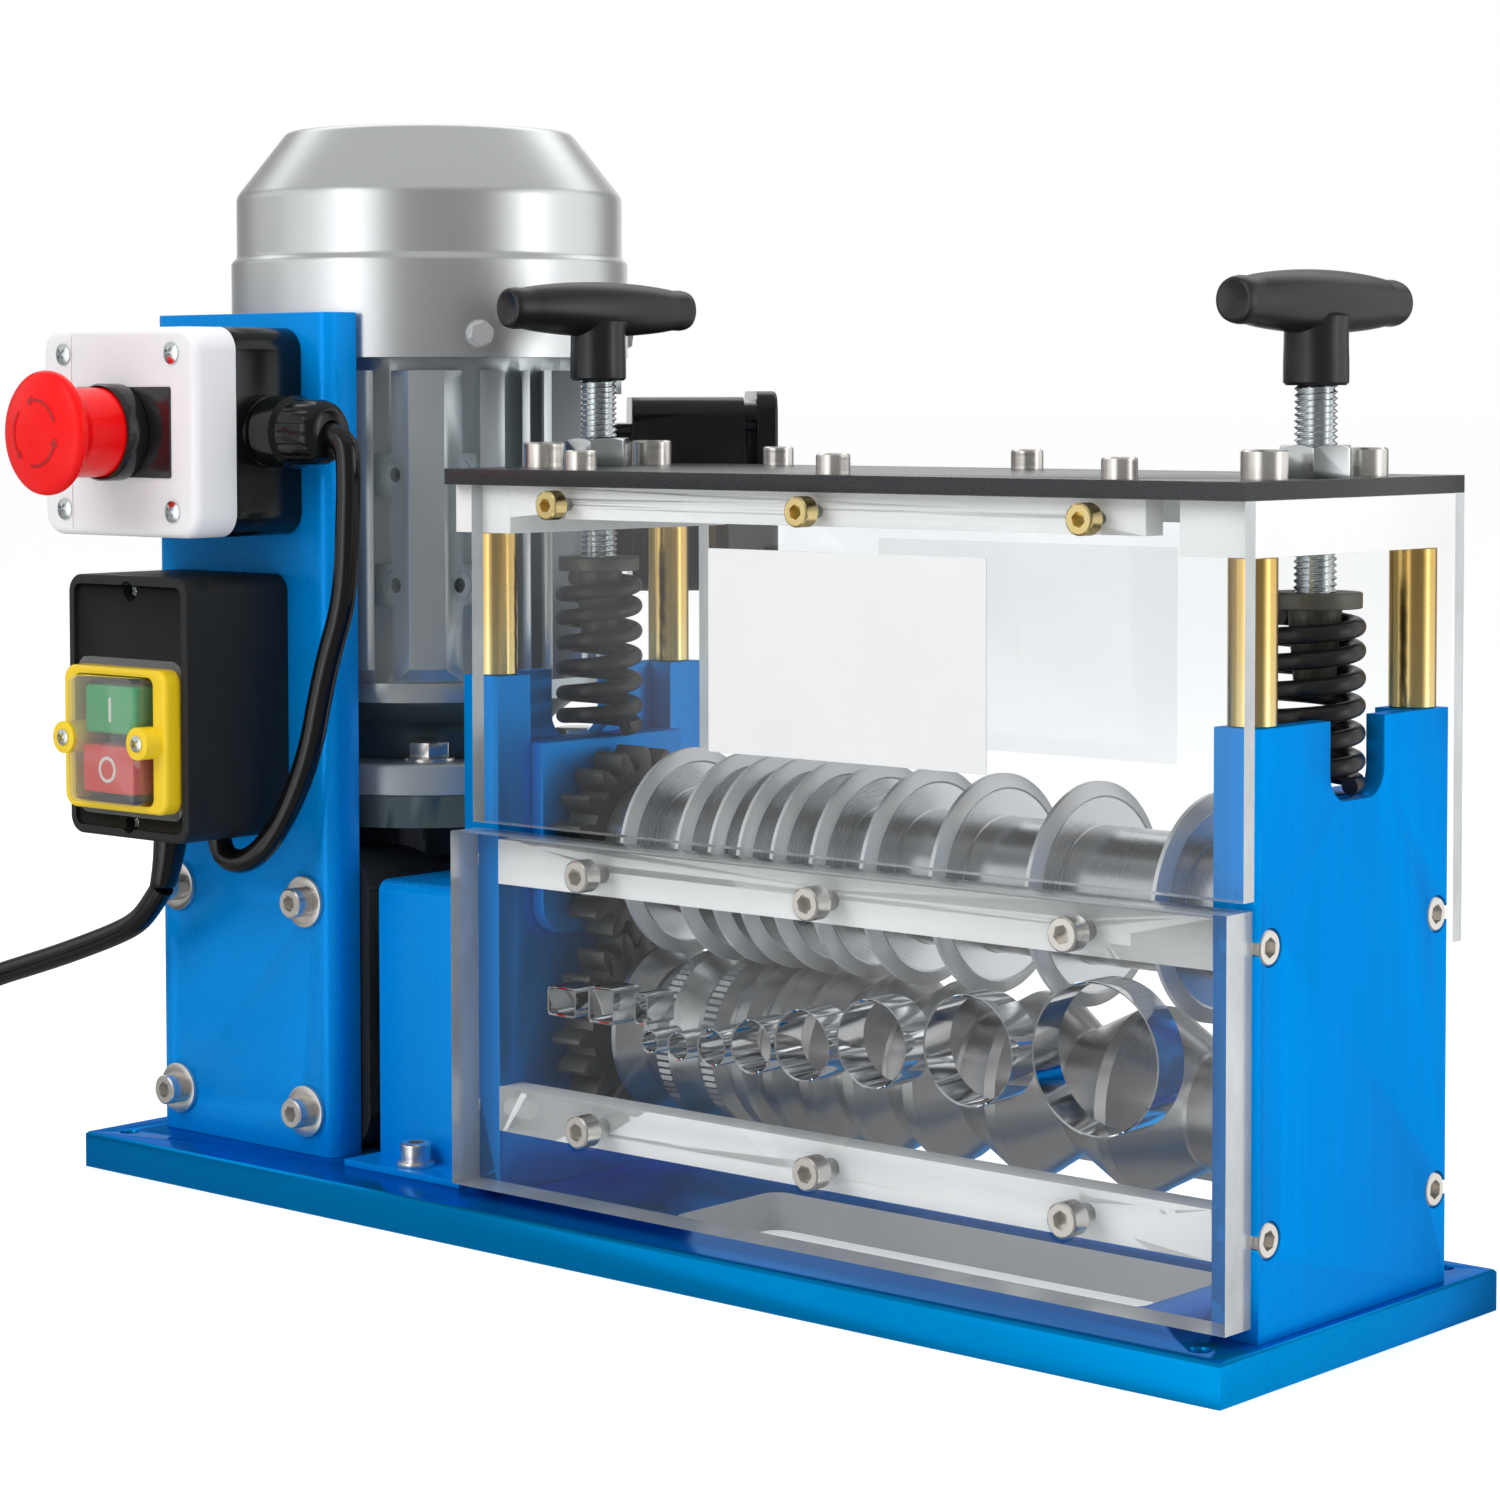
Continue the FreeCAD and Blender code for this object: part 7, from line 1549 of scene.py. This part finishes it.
@dataclass
class Motor:
    """Motor, its fan cover, flange, terminal box and gearbox."""

    x: float = -165.0
    y: float = 30.0
    slots: int = 18
    bolt_circle: float = 50.0
    flange_top: float = 140.4
    waist_from: float = 140.6
    neck_from: float = 119.0
    skirt_radius: float = 68.0
    skirt_screw_z: float = 283.0
    skirt_screw_turn: float = -30.0

    def build(self, repeats: Repeats) -> None:
        """Make the motor's pieces."""
        deliver(self.cover(repeats), SILVER_PAINT, "fan_cover", sharp=30)
        deliver(soften(copy_of("motor_housing"), 0.6, 2, 30), CAST_GREY, "motor_housing")
        deliver(soften(copy_of("motor_fan"), 0.4), BOX_BLACK, "motor_fan")
        flange = deliver(self.flange(), CAST_BRIGHT, "motor_flange", sharp=30)
        paint(flange, CAST_DARK, lambda centre, normal: centre.z > self.waist_from)
        places = []
        for i in range(4):
            a = math.radians(45 + 90 * i)
            x, y = self.x + self.bolt_circle * math.cos(a), self.y + self.bolt_circle * math.sin(a)
            places.append(Place((x, y, self.flange_top), spin=math.degrees(a)))
        bolts = repeats.hex_bolt.run(points_for("hexagon_bolts", places), NICKEL)
        deliver(soften(bolts, 0.4), NICKEL, "flange_bolts")
        deliver(soften(copy_of("terminal_box"), 0.7, 3, 40), BOX_BLACK, "terminal_box")
        gearbox = deliver(soften(copy_of("gearbox"), 0.6, 2), GEARBOX_PAINT, "gearbox")
        paint(gearbox, CAST_DARK, lambda centre, normal: centre.z > self.neck_from)
        self.cover_screws(repeats)

    def cover(self, repeats: Repeats) -> Piece:
        """Return the drawn fan cover with its ring of air slots."""
        outer = [(68.15, 275.4), (68.15, 308.0), (66.25, 309.9), (66.25, 330.6), (48.75, 353.0), (0, 353.0),
                 (0, 351.4), (47.8, 351.4), (64.65, 329.6), (64.65, 309.9), (66.55, 308.0), (66.55, 275.4)]
        profile = fillet(outer, {1: 2.0, 2: 2.0, 3: 5.0, 4: 4.0}, 6)
        shell = turned("fan_cover_drawn", profile, Axis.Z, (self.x, self.y, 0), 144)
        outline = rounded_outline(27.5, 0, 25.0, 4.0, 1.9, 5)
        slot = slab("slot", outline, 345.0, 358.0)
        places = [Place((self.x, self.y, 0), spin=360 / self.slots * i) for i in range(self.slots)]
        cutter = repeats.copies.run(points_for("slots", places), SILVER_PAINT, Source=slot)
        bpy.data.objects.remove(slot)
        return carve(shell, cutter)

    def flange(self) -> Piece:
        """Return the machined flange with its waist."""
        profile = [(0, 129.7), (60.0, 129.7), (60.0, 140.4), (41.0, 140.4), (41.0, 150.7), (54.0, 161.0),
                   (0, 161.0)]
        rounded = fillet(profile, {1: 0.8, 2: 1.2, 3: 3.0, 4: 5.0, 5: 1.0}, 5)
        return turned("flange_machined", rounded, Axis.Z, (self.x, self.y, 0), 128)

    def cover_screws(self, repeats: Repeats) -> None:
        """Add the four screws round the fan cover's skirt."""
        places = []
        for i in range(4):
            a = math.radians(self.skirt_screw_turn + 90 * i)
            out = (math.cos(a), math.sin(a), 0.0)
            x, y = self.x + self.skirt_radius * out[0], self.y + self.skirt_radius * out[1]
            places.append(Place((x, y, self.skirt_screw_z), out, 20))
        heads = repeats.hex_bolt.run(points_for("fan_cover_screws", places), BEVEL_STEEL, Flats=7.0,
                                     Head_Height=3.2, Washer_Radius=4.6, Washer_Height=0.8)
        deliver(heads, BEVEL_STEEL, "fan_cover", stands=False, sharp=28)


# Controls


@dataclass
class EmergencyStop:
    """The emergency stop box, its mushroom head and its gland."""

    x: float = -184.0
    z: float = 251.0
    groove_x: float = -208.5
    crown_y: float = -126.8
    crown_depth: float = 3.4
    crown_radius: float = 18.5
    arrow_radius: float = 10.6
    arrow_half: float = 0.45
    arrow_barbs: tuple[float, float] = (8.9, 12.3)
    arrow_tip: tuple[float, float] = (10.55, 10.65)

    def build(self) -> None:
        """Make the box, the collar, the head and the gland."""
        deliver(soften(copy_of("estop_base"), 0.6, 3), BOX_BLACK, "estop_base")
        outline = rounded_outline(self.groove_x, self.z, 0.6, 90.0, 0.2, 2)
        groove = slab("groove", outline, -93.0, -91.15, Axis.Y)
        deliver(soften(carve(copy_of("estop_cover"), groove), 0.5, 3), COVER_WHITE, "estop_cover")
        outline = rounded_outline(self.x + 2, self.z, 48.0, 29.4, 0.8)
        label = slab("bare_label_plate", outline, -92.15, -91.4, Axis.Y)
        deliver(soften(label, 0.15), GLOSS_BLACK, "estop_cover", stands=False)
        collar = [(5.3, -92.0), (15.2, -92.0), (15.8, -92.6), (15.8, -99.6), (15.2, -100.5), (14.9, -100.3),
                  (14.9, -92.3), (5.3, -92.3)]
        deliver(turned("collar_turned", collar, Axis.Y, (self.x, 0, self.z), 72), GLOSS_BLACK, "estop_collar")
        dress("estop_stem", STEM_GREY)
        head = deliver(self.mushroom(), BUTTON_RED, "estop_mushroom", sharp=45)
        # The arrows get the darker red, painted shade on the raised relief.
        paint(head, ARROW_PAINTED_SHADE, self.on_arrow)
        self.gland()

    def crown(self, radius: float) -> float:
        """Return the domed crown's place along Y at a radius."""
        return self.crown_y + self.crown_depth * (radius / self.crown_radius) ** 2

    def on_arrow(self, centre: Vector, normal: Vector) -> bool:
        """Say whether a face belongs to the raised arrows."""
        across = math.hypot(centre.x - self.x, centre.z - self.z)
        return centre.y < self.crown(across) - 0.1 and 8.0 < across < 13.0

    def mushroom(self) -> Piece:
        """Return the mushroom head with the raised turning arrows on its crown."""
        back = -97.7
        profile = [(5.05, -109.65), (0, -109.65), (0, self.crown_y)]
        profile += [(r, self.crown(r)) for r in (3, 6, 9, 12, 15, 17.5)]
        profile += [(19.0, -123.0), (19.8, -122.2), (20.0, -121.2), (19.9, -120.2), (19.3, -119.3),
                    (17.0, -117.0), (15.0, -115.0), (14.5, -113.6), (14.5, back + 0.5), (14.0, back),
                    (5.05, back)]
        head = turned("mushroom_head", profile, Axis.Y, (self.x, 0, self.z), 128)
        shape = bmesh.new()
        for start in (20, 140, 260):
            self.arrow(shape, start, 78)
        arrows = new_piece("arrows", shape)
        return join("mushroom_head_moulded", [head, arrows])

    def arrow(self, shape: bmesh.types.BMesh, start: float, sweep: float) -> None:
        """Add one raised arrow along a circle of the crown.

        Args:
            shape: What the arrow's faces are added to.
            start: Where its tail is on the circle, in degrees.
            sweep: How far its shaft goes round, in degrees.
        """

        def at(radius: float, angle: float, lift: float) -> Point:
            """Return a point on the crown, or a little in front of it."""
            a = math.radians(angle)
            return (self.x + radius * math.cos(a), self.crown(radius) - lift, self.z + radius * math.sin(a))

        steps = 12
        sides = (self.arrow_radius - self.arrow_half, self.arrow_radius + self.arrow_half)
        rows = [(*sides, start + sweep * i / steps) for i in range(steps + 1)]
        rows.append((*self.arrow_barbs, start + sweep))
        rows.append((*self.arrow_tip, start + sweep + 14))
        low = [[shape.verts.new(at(r, a, -0.4)) for r in (inner, outer)] for inner, outer, a in rows]
        high = [[shape.verts.new(at(r, a, 0.25)) for r in (inner, outer)] for inner, outer, a in rows]
        for i in range(len(rows) - 1):
            shape.faces.new((high[i][0], high[i][1], high[i + 1][1], high[i + 1][0]))
            shape.faces.new((low[i][0], low[i + 1][0], low[i + 1][1], low[i][1]))
            shape.faces.new((high[i][0], high[i + 1][0], low[i + 1][0], low[i][0]))
            shape.faces.new((high[i][1], low[i][1], low[i + 1][1], high[i + 1][1]))
        shape.faces.new((high[0][0], low[0][0], low[0][1], high[0][1]))
        shape.faces.new((high[-1][0], high[-1][1], low[-1][1], low[-1][0]))

    def gland(self) -> None:
        """Make the cable gland: a ribbed body, a gap and a domed nut with grip flutes."""
        profile = [(0, -146.0), (12.0, -146.0), (12.0, -143.5), (11.0, -143.2), (11.0, -142.2),
                   (11.9, -141.8), (11.9, -132.6), (11.0, -131.6), (10.5, -131.0)]
        start = len(profile)
        profile += [(10.5, -130.4), (10.5, -120.2), (9.9, -118.4)]
        fluted = {start, start + 1}
        profile += [(8.6, -116.6), (6.9, -115.6), (4.0, -115.5), (4.0, -123.0), (0, -123.0)]

        def ripple(point: int, step: int) -> float:
            """Return the grip flutes' depth."""
            return -0.55 if point in fluted and step % 6 < 2 else 0.0

        piece = turned("cable_gland_moulded", profile, Axis.X, (0, -61, 251), 96, ripple)
        deliver(piece, BOX_BLACK, "cable_gland", sharp=30)


@dataclass
class PushSwitch:
    """The switch box with its yellow frame, two keys and clear cover."""

    x: float = -183.5
    z: float = 151.0
    key_offset: float = 9.7

    def build(self) -> None:
        """Make the box, the frame, the keys and the clear cover."""
        deliver(soften(copy_of("switch_base"), 0.6, 3), SWITCH_BLACK, "switch_base")
        deliver(soften(copy_of("switch_cover"), 0.35, 2), SWITCH_BLACK, "switch_cover")
        deliver(soften(copy_of("switch_frame"), 0.4, 2), FRAME_YELLOW, "switch_frame")
        deliver(soften(copy_of("switch_boot"), 0.5, 2), CLEAR_BOOT, "switch_boot")
        deliver(soften(copy_of("start_button"), 0.4, 2), KEY_GREEN, "start_button")
        deliver(soften(copy_of("stop_button"), 0.4, 2), KEY_RED, "stop_button")
        outline = rounded_outline(self.x, self.z + self.key_offset, 1.4, 8.0, 0.3, 3)
        deliver(slab("start_mark", outline, -97.12, -96.8, Axis.Y), MARK_WHITE, "start_button", stands=False)
        ring = [(3.2, -98.1), (4.3, -98.1), (4.3, -98.42), (3.2, -98.42)]
        ring_piece = turned("stop_mark", ring, Axis.Y, (self.x, 0, self.z - self.key_offset), 48)
        deliver(ring_piece, MARK_WHITE, "stop_button", stands=False)


# Studio


@dataclass(frozen=True)
class Ray:
    """The way a mirrored ray goes, with its parts away from the camera, to its right and up."""

    way: Value
    away: Value
    aside: Value
    up: Value


@dataclass
class Studio:
    """Camera, floor, lamps and world.

    The room that gloss mirrors is laid out by a ray's parts: each pair is where an edge of the room starts
    and where it ends. away and aside are level directions, and sash lies across the slanting edge between
    the two panes of the left wall.
    """

    focal: float = 89.04
    shift: tuple[float, float] = (-0.0023, -0.1223)
    camera_at: Point = (0.7700, -0.8611, 0.2634)
    pitch: float = 2.68
    roll: float = -0.10
    yaw: float = 41.42
    away: Point = (-0.6615, 0.7500, 0.0)
    aside: Point = (0.7500, 0.6615, 0.0)
    sash: Point = (0.6124, -0.6302, 0.4773)
    low_light: float = 0.45
    high_light: float = 0.70
    light_rise: Edge = (-0.1, 0.7)
    dark: float = 0.22
    ceiling: float = 0.45
    ceiling_edge: Edge = (0.45, 0.80)
    wall_top: Edge = (0.62, 0.80)
    right_side: Edge = (0.62, 0.80)
    right_end: Edge = (0.50, 0.66)
    key_wall: float = 1.3
    key_side: Edge = (-0.44, -0.34)
    key_end: Edge = (-0.50, -0.40)
    left_grey: Colour = (0.7, 0.7, 0.7)
    left_side: Edge = (-0.80, -0.70)
    left_end: Edge = (0.55, 0.68)
    panes: tuple[float, float] = (0.36, 0.95)
    pane_edge: Edge = (-0.012, 0.004)
    pane_top: Edge = (0.02, 0.12)
    strip: float = 3.0
    strip_places: Sequence[float] = (-0.66, 0.92)
    strip_edge: Edge = (0.03, 0.06)
    strip_end: Edge = (-0.30, -0.20)
    strip_foot: Edge = (-0.50, -0.40)
    backdrop_edge: Edge = (0.88, 0.95)
    high_backdrop: float = 1.6
    high_edge: Edge = (0.35, 0.50)
    high_foot: Edge = (0.45, 0.55)
    high_top: Edge = (0.80, 0.90)
    floor_colour: Colour = (0.84, 0.84, 0.84)
    floor_glow: float = 0.42
    floor_reach: float = 30.0
    lamps: Sequence[tuple[str, Point, Point, float, float]] = (
        ("key", (-0.35, -1.3, 1.1), (0.0, 0.0, 0.12), 1.0, 11.0),
        ("side", (1.5, -0.1, 0.75), (0.1, 0.0, 0.12), 0.9, 8.5),
        ("top", (0.0, 0.3, 1.6), (0.0, 0.0, 0.1), 1.0, 9.0),
    )

    def build(self) -> None:
        """Set up the view and the light."""
        self.camera()
        self.floor()
        self.world()
        for name, at, towards, size, power in self.lamps:
            self.lamp(name, at, towards, size, power)
        bpy.context.scene.view_settings.view_transform = "Standard"

    def camera(self) -> None:
        """Put the camera where the photograph was taken."""
        data = bpy.data.cameras.new("photo_camera")
        data.sensor_width = 36.0
        data.sensor_fit = "HORIZONTAL"
        data.lens = self.focal
        data.shift_x, data.shift_y = self.shift
        camera = bpy.data.objects.new("photo_camera", data)
        yaw = Matrix.Rotation(math.radians(self.yaw), 4, "Z")
        pitch = Matrix.Rotation(math.radians(90 - self.pitch), 4, "X")
        roll = Matrix.Rotation(math.radians(self.roll), 4, "Z")
        camera.matrix_world = Matrix.Translation(self.camera_at) @ (yaw @ pitch) @ roll
        bpy.context.scene.collection.objects.link(camera)
        bpy.context.scene.camera = camera

    def floor(self) -> None:
        """Lay a wide pale floor that looks white to the camera and keeps the object's shadow.

        Gloss mirrors the world's walls and backdrop in the floor's place.
        """
        shape = bmesh.new()
        bmesh.ops.create_grid(shape, x_segments=1, y_segments=1, size=self.floor_reach)
        floor = new_piece("floor", shape)
        material = bpy.data.materials.new("pale floor")
        material.use_nodes = True
        graph = Graph(material.node_tree)
        shader = material.node_tree.nodes["Principled BSDF"]
        shader.inputs["Base Color"].default_value = (*self.floor_colour, 1.0)
        shader.inputs["Roughness"].default_value = 0.9
        seen = graph.add("ShaderNodeLightPath")
        any_view = graph.math("MAXIMUM", seen.outputs["Is Camera Ray"], seen.outputs["Is Transmission Ray"])
        shader.inputs["Emission Color"].default_value = (1, 1, 1, 1)
        graph.put(shader.inputs["Emission Strength"], graph.math("MULTIPLY", any_view, self.floor_glow))
        floor.data.materials.append(material)
        floor.visible_glossy = False

    def world(self) -> None:
        """Light the object from a soft surround and show the camera plain white.

        What glossy surfaces mirror is a white room whose camera side is dark, with two wide white walls, a
        grey ceiling and the white backdrop behind the object.
        """
        world = bpy.data.worlds.new("studio")
        bpy.context.scene.world = world
        world.use_nodes = True
        graph = Graph(world.node_tree)
        background = world.node_tree.nodes["Background"]
        seen = graph.add("ShaderNodeLightPath")
        way = graph.vector_math("NORMALIZE", graph.add("ShaderNodeTexCoord").outputs["Generated"])
        ray = Ray(way, graph.vector_math("DOT_PRODUCT", way, self.away),
                  graph.vector_math("DOT_PRODUCT", way, self.aside), graph.split(way)[2])
        level = graph.spread(ray.up, *self.light_rise, self.low_light, self.high_light)
        bright = graph.math("MAXIMUM", self.walls(graph, ray), self.backdrop(graph, ray))
        ceiling = graph.spread(ray.up, *self.ceiling_edge, 0.0, self.ceiling)
        mirrored = graph.math("MAXIMUM", bright, graph.math("MAXIMUM", ceiling, self.dark))
        level = graph.mix(seen.outputs["Is Glossy Ray"], level, mirrored)
        direct = graph.math("MAXIMUM", seen.outputs["Is Camera Ray"], seen.outputs["Is Transmission Ray"])
        graph.put(background.inputs["Color"], graph.mix(direct, level, (1.0, 1.0, 1.0)))
        background.inputs["Strength"].default_value = 1.0

    def walls(self, graph: Graph, ray: Ray) -> Value:
        """Return how bright the room's walls are for a ray.

        Args:
            graph: The world's nodes.
            ray: The way the ray goes.

        Returns:
            The level of the right, key and left walls and of the narrow strips between them.
        """
        low = graph.spread(ray.up, *self.wall_top, 1.0, 0.0)
        right = graph.math("MULTIPLY", graph.spread(ray.aside, *self.right_side, 0.0, 1.0),
                           graph.spread(ray.away, *self.right_end, 1.0, 0.0))
        key = graph.math("MULTIPLY", graph.spread(ray.aside, *self.key_side, self.key_wall, 0.0),
                         graph.spread(ray.away, *self.key_end, 1.0, 0.0))
        across = graph.vector_math("DOT_PRODUCT", ray.way, self.sash)
        pane = graph.spread(across, *self.pane_edge, *self.panes)
        grey = graph.mix(graph.spread(ray.up, *self.pane_top, 0.0, 1.0), pane, self.left_grey)
        left = graph.math("MULTIPLY", graph.spread(ray.aside, *self.left_side, 1.0, 0.0),
                          graph.spread(ray.away, *self.left_end, 1.0, 0.0))
        left = graph.math("MULTIPLY", left, grey)
        walls = graph.math("MAXIMUM", right, graph.math("MAXIMUM", key, left))
        walls = graph.math("MULTIPLY", walls, low)
        for middle in self.strip_places:
            near = graph.math("ABSOLUTE", graph.math("SUBTRACT", ray.aside, middle))
            strip = graph.math("MULTIPLY", graph.spread(near, *self.strip_edge, self.strip, 0.0),
                               graph.spread(ray.away, *self.strip_end, 1.0, 0.0))
            strip = graph.math("MULTIPLY", strip, graph.spread(ray.up, *self.strip_foot, 0.0, 1.0))
            walls = graph.math("MAXIMUM", walls, graph.math("MULTIPLY", strip, low))
        return walls

    def backdrop(self, graph: Graph, ray: Ray) -> Value:
        """Return how bright the backdrop is for a ray, with the brighter band high on it."""
        plain = graph.spread(ray.away, *self.backdrop_edge, 0.0, 1.0)
        band = graph.math("MULTIPLY", graph.spread(ray.up, *self.high_foot, 0.0, 1.0),
                          graph.spread(ray.up, *self.high_top, 1.0, 0.0))
        high = graph.spread(ray.away, *self.high_edge, 0.0, self.high_backdrop)
        return graph.math("MAXIMUM", plain, graph.math("MULTIPLY", high, band))

    @staticmethod
    def lamp(name: str, at: Point, towards: Point, size: float, power: float) -> None:
        """Hang a soft square lamp; gloss shows the world's walls in its place.

        Args:
            name: The lamp's name.
            at: Where it hangs, in metres.
            towards: The point it looks at.
            size: Its side.
            power: Its watts.
        """
        data = bpy.data.lights.new(name, "AREA")
        data.shape = "SQUARE"
        data.size = size
        data.energy = power
        lamp = bpy.data.objects.new(name, data)
        aim = (Vector(towards) - Vector(at)).to_track_quat("-Z", "Y").to_matrix().to_4x4()
        lamp.matrix_world = Matrix.Translation(at) @ aim
        lamp.visible_glossy = False
        bpy.context.scene.collection.objects.link(lamp)


def main() -> None:
    """Build the machine's looks, class by class, then the studio."""
    logging.basicConfig(level=logging.INFO, format="%(name)s: %(message)s")
    repeats = Repeats()
    Cords().build()
    MachineFrame().build(repeats)
    ClearGuards().build()
    CuttingHead().build(repeats)
    PressureScrew("left", -56.0, 211.0, 81.0).build(repeats)
    PressureScrew("right", 215.0, 208.8, 85.0).build(repeats)
    Fasteners().build(repeats)
    Motor().build(repeats)
    EmergencyStop().build()
    PushSwitch().build()
    Studio().build()


if __name__ == "__main__":
    main()
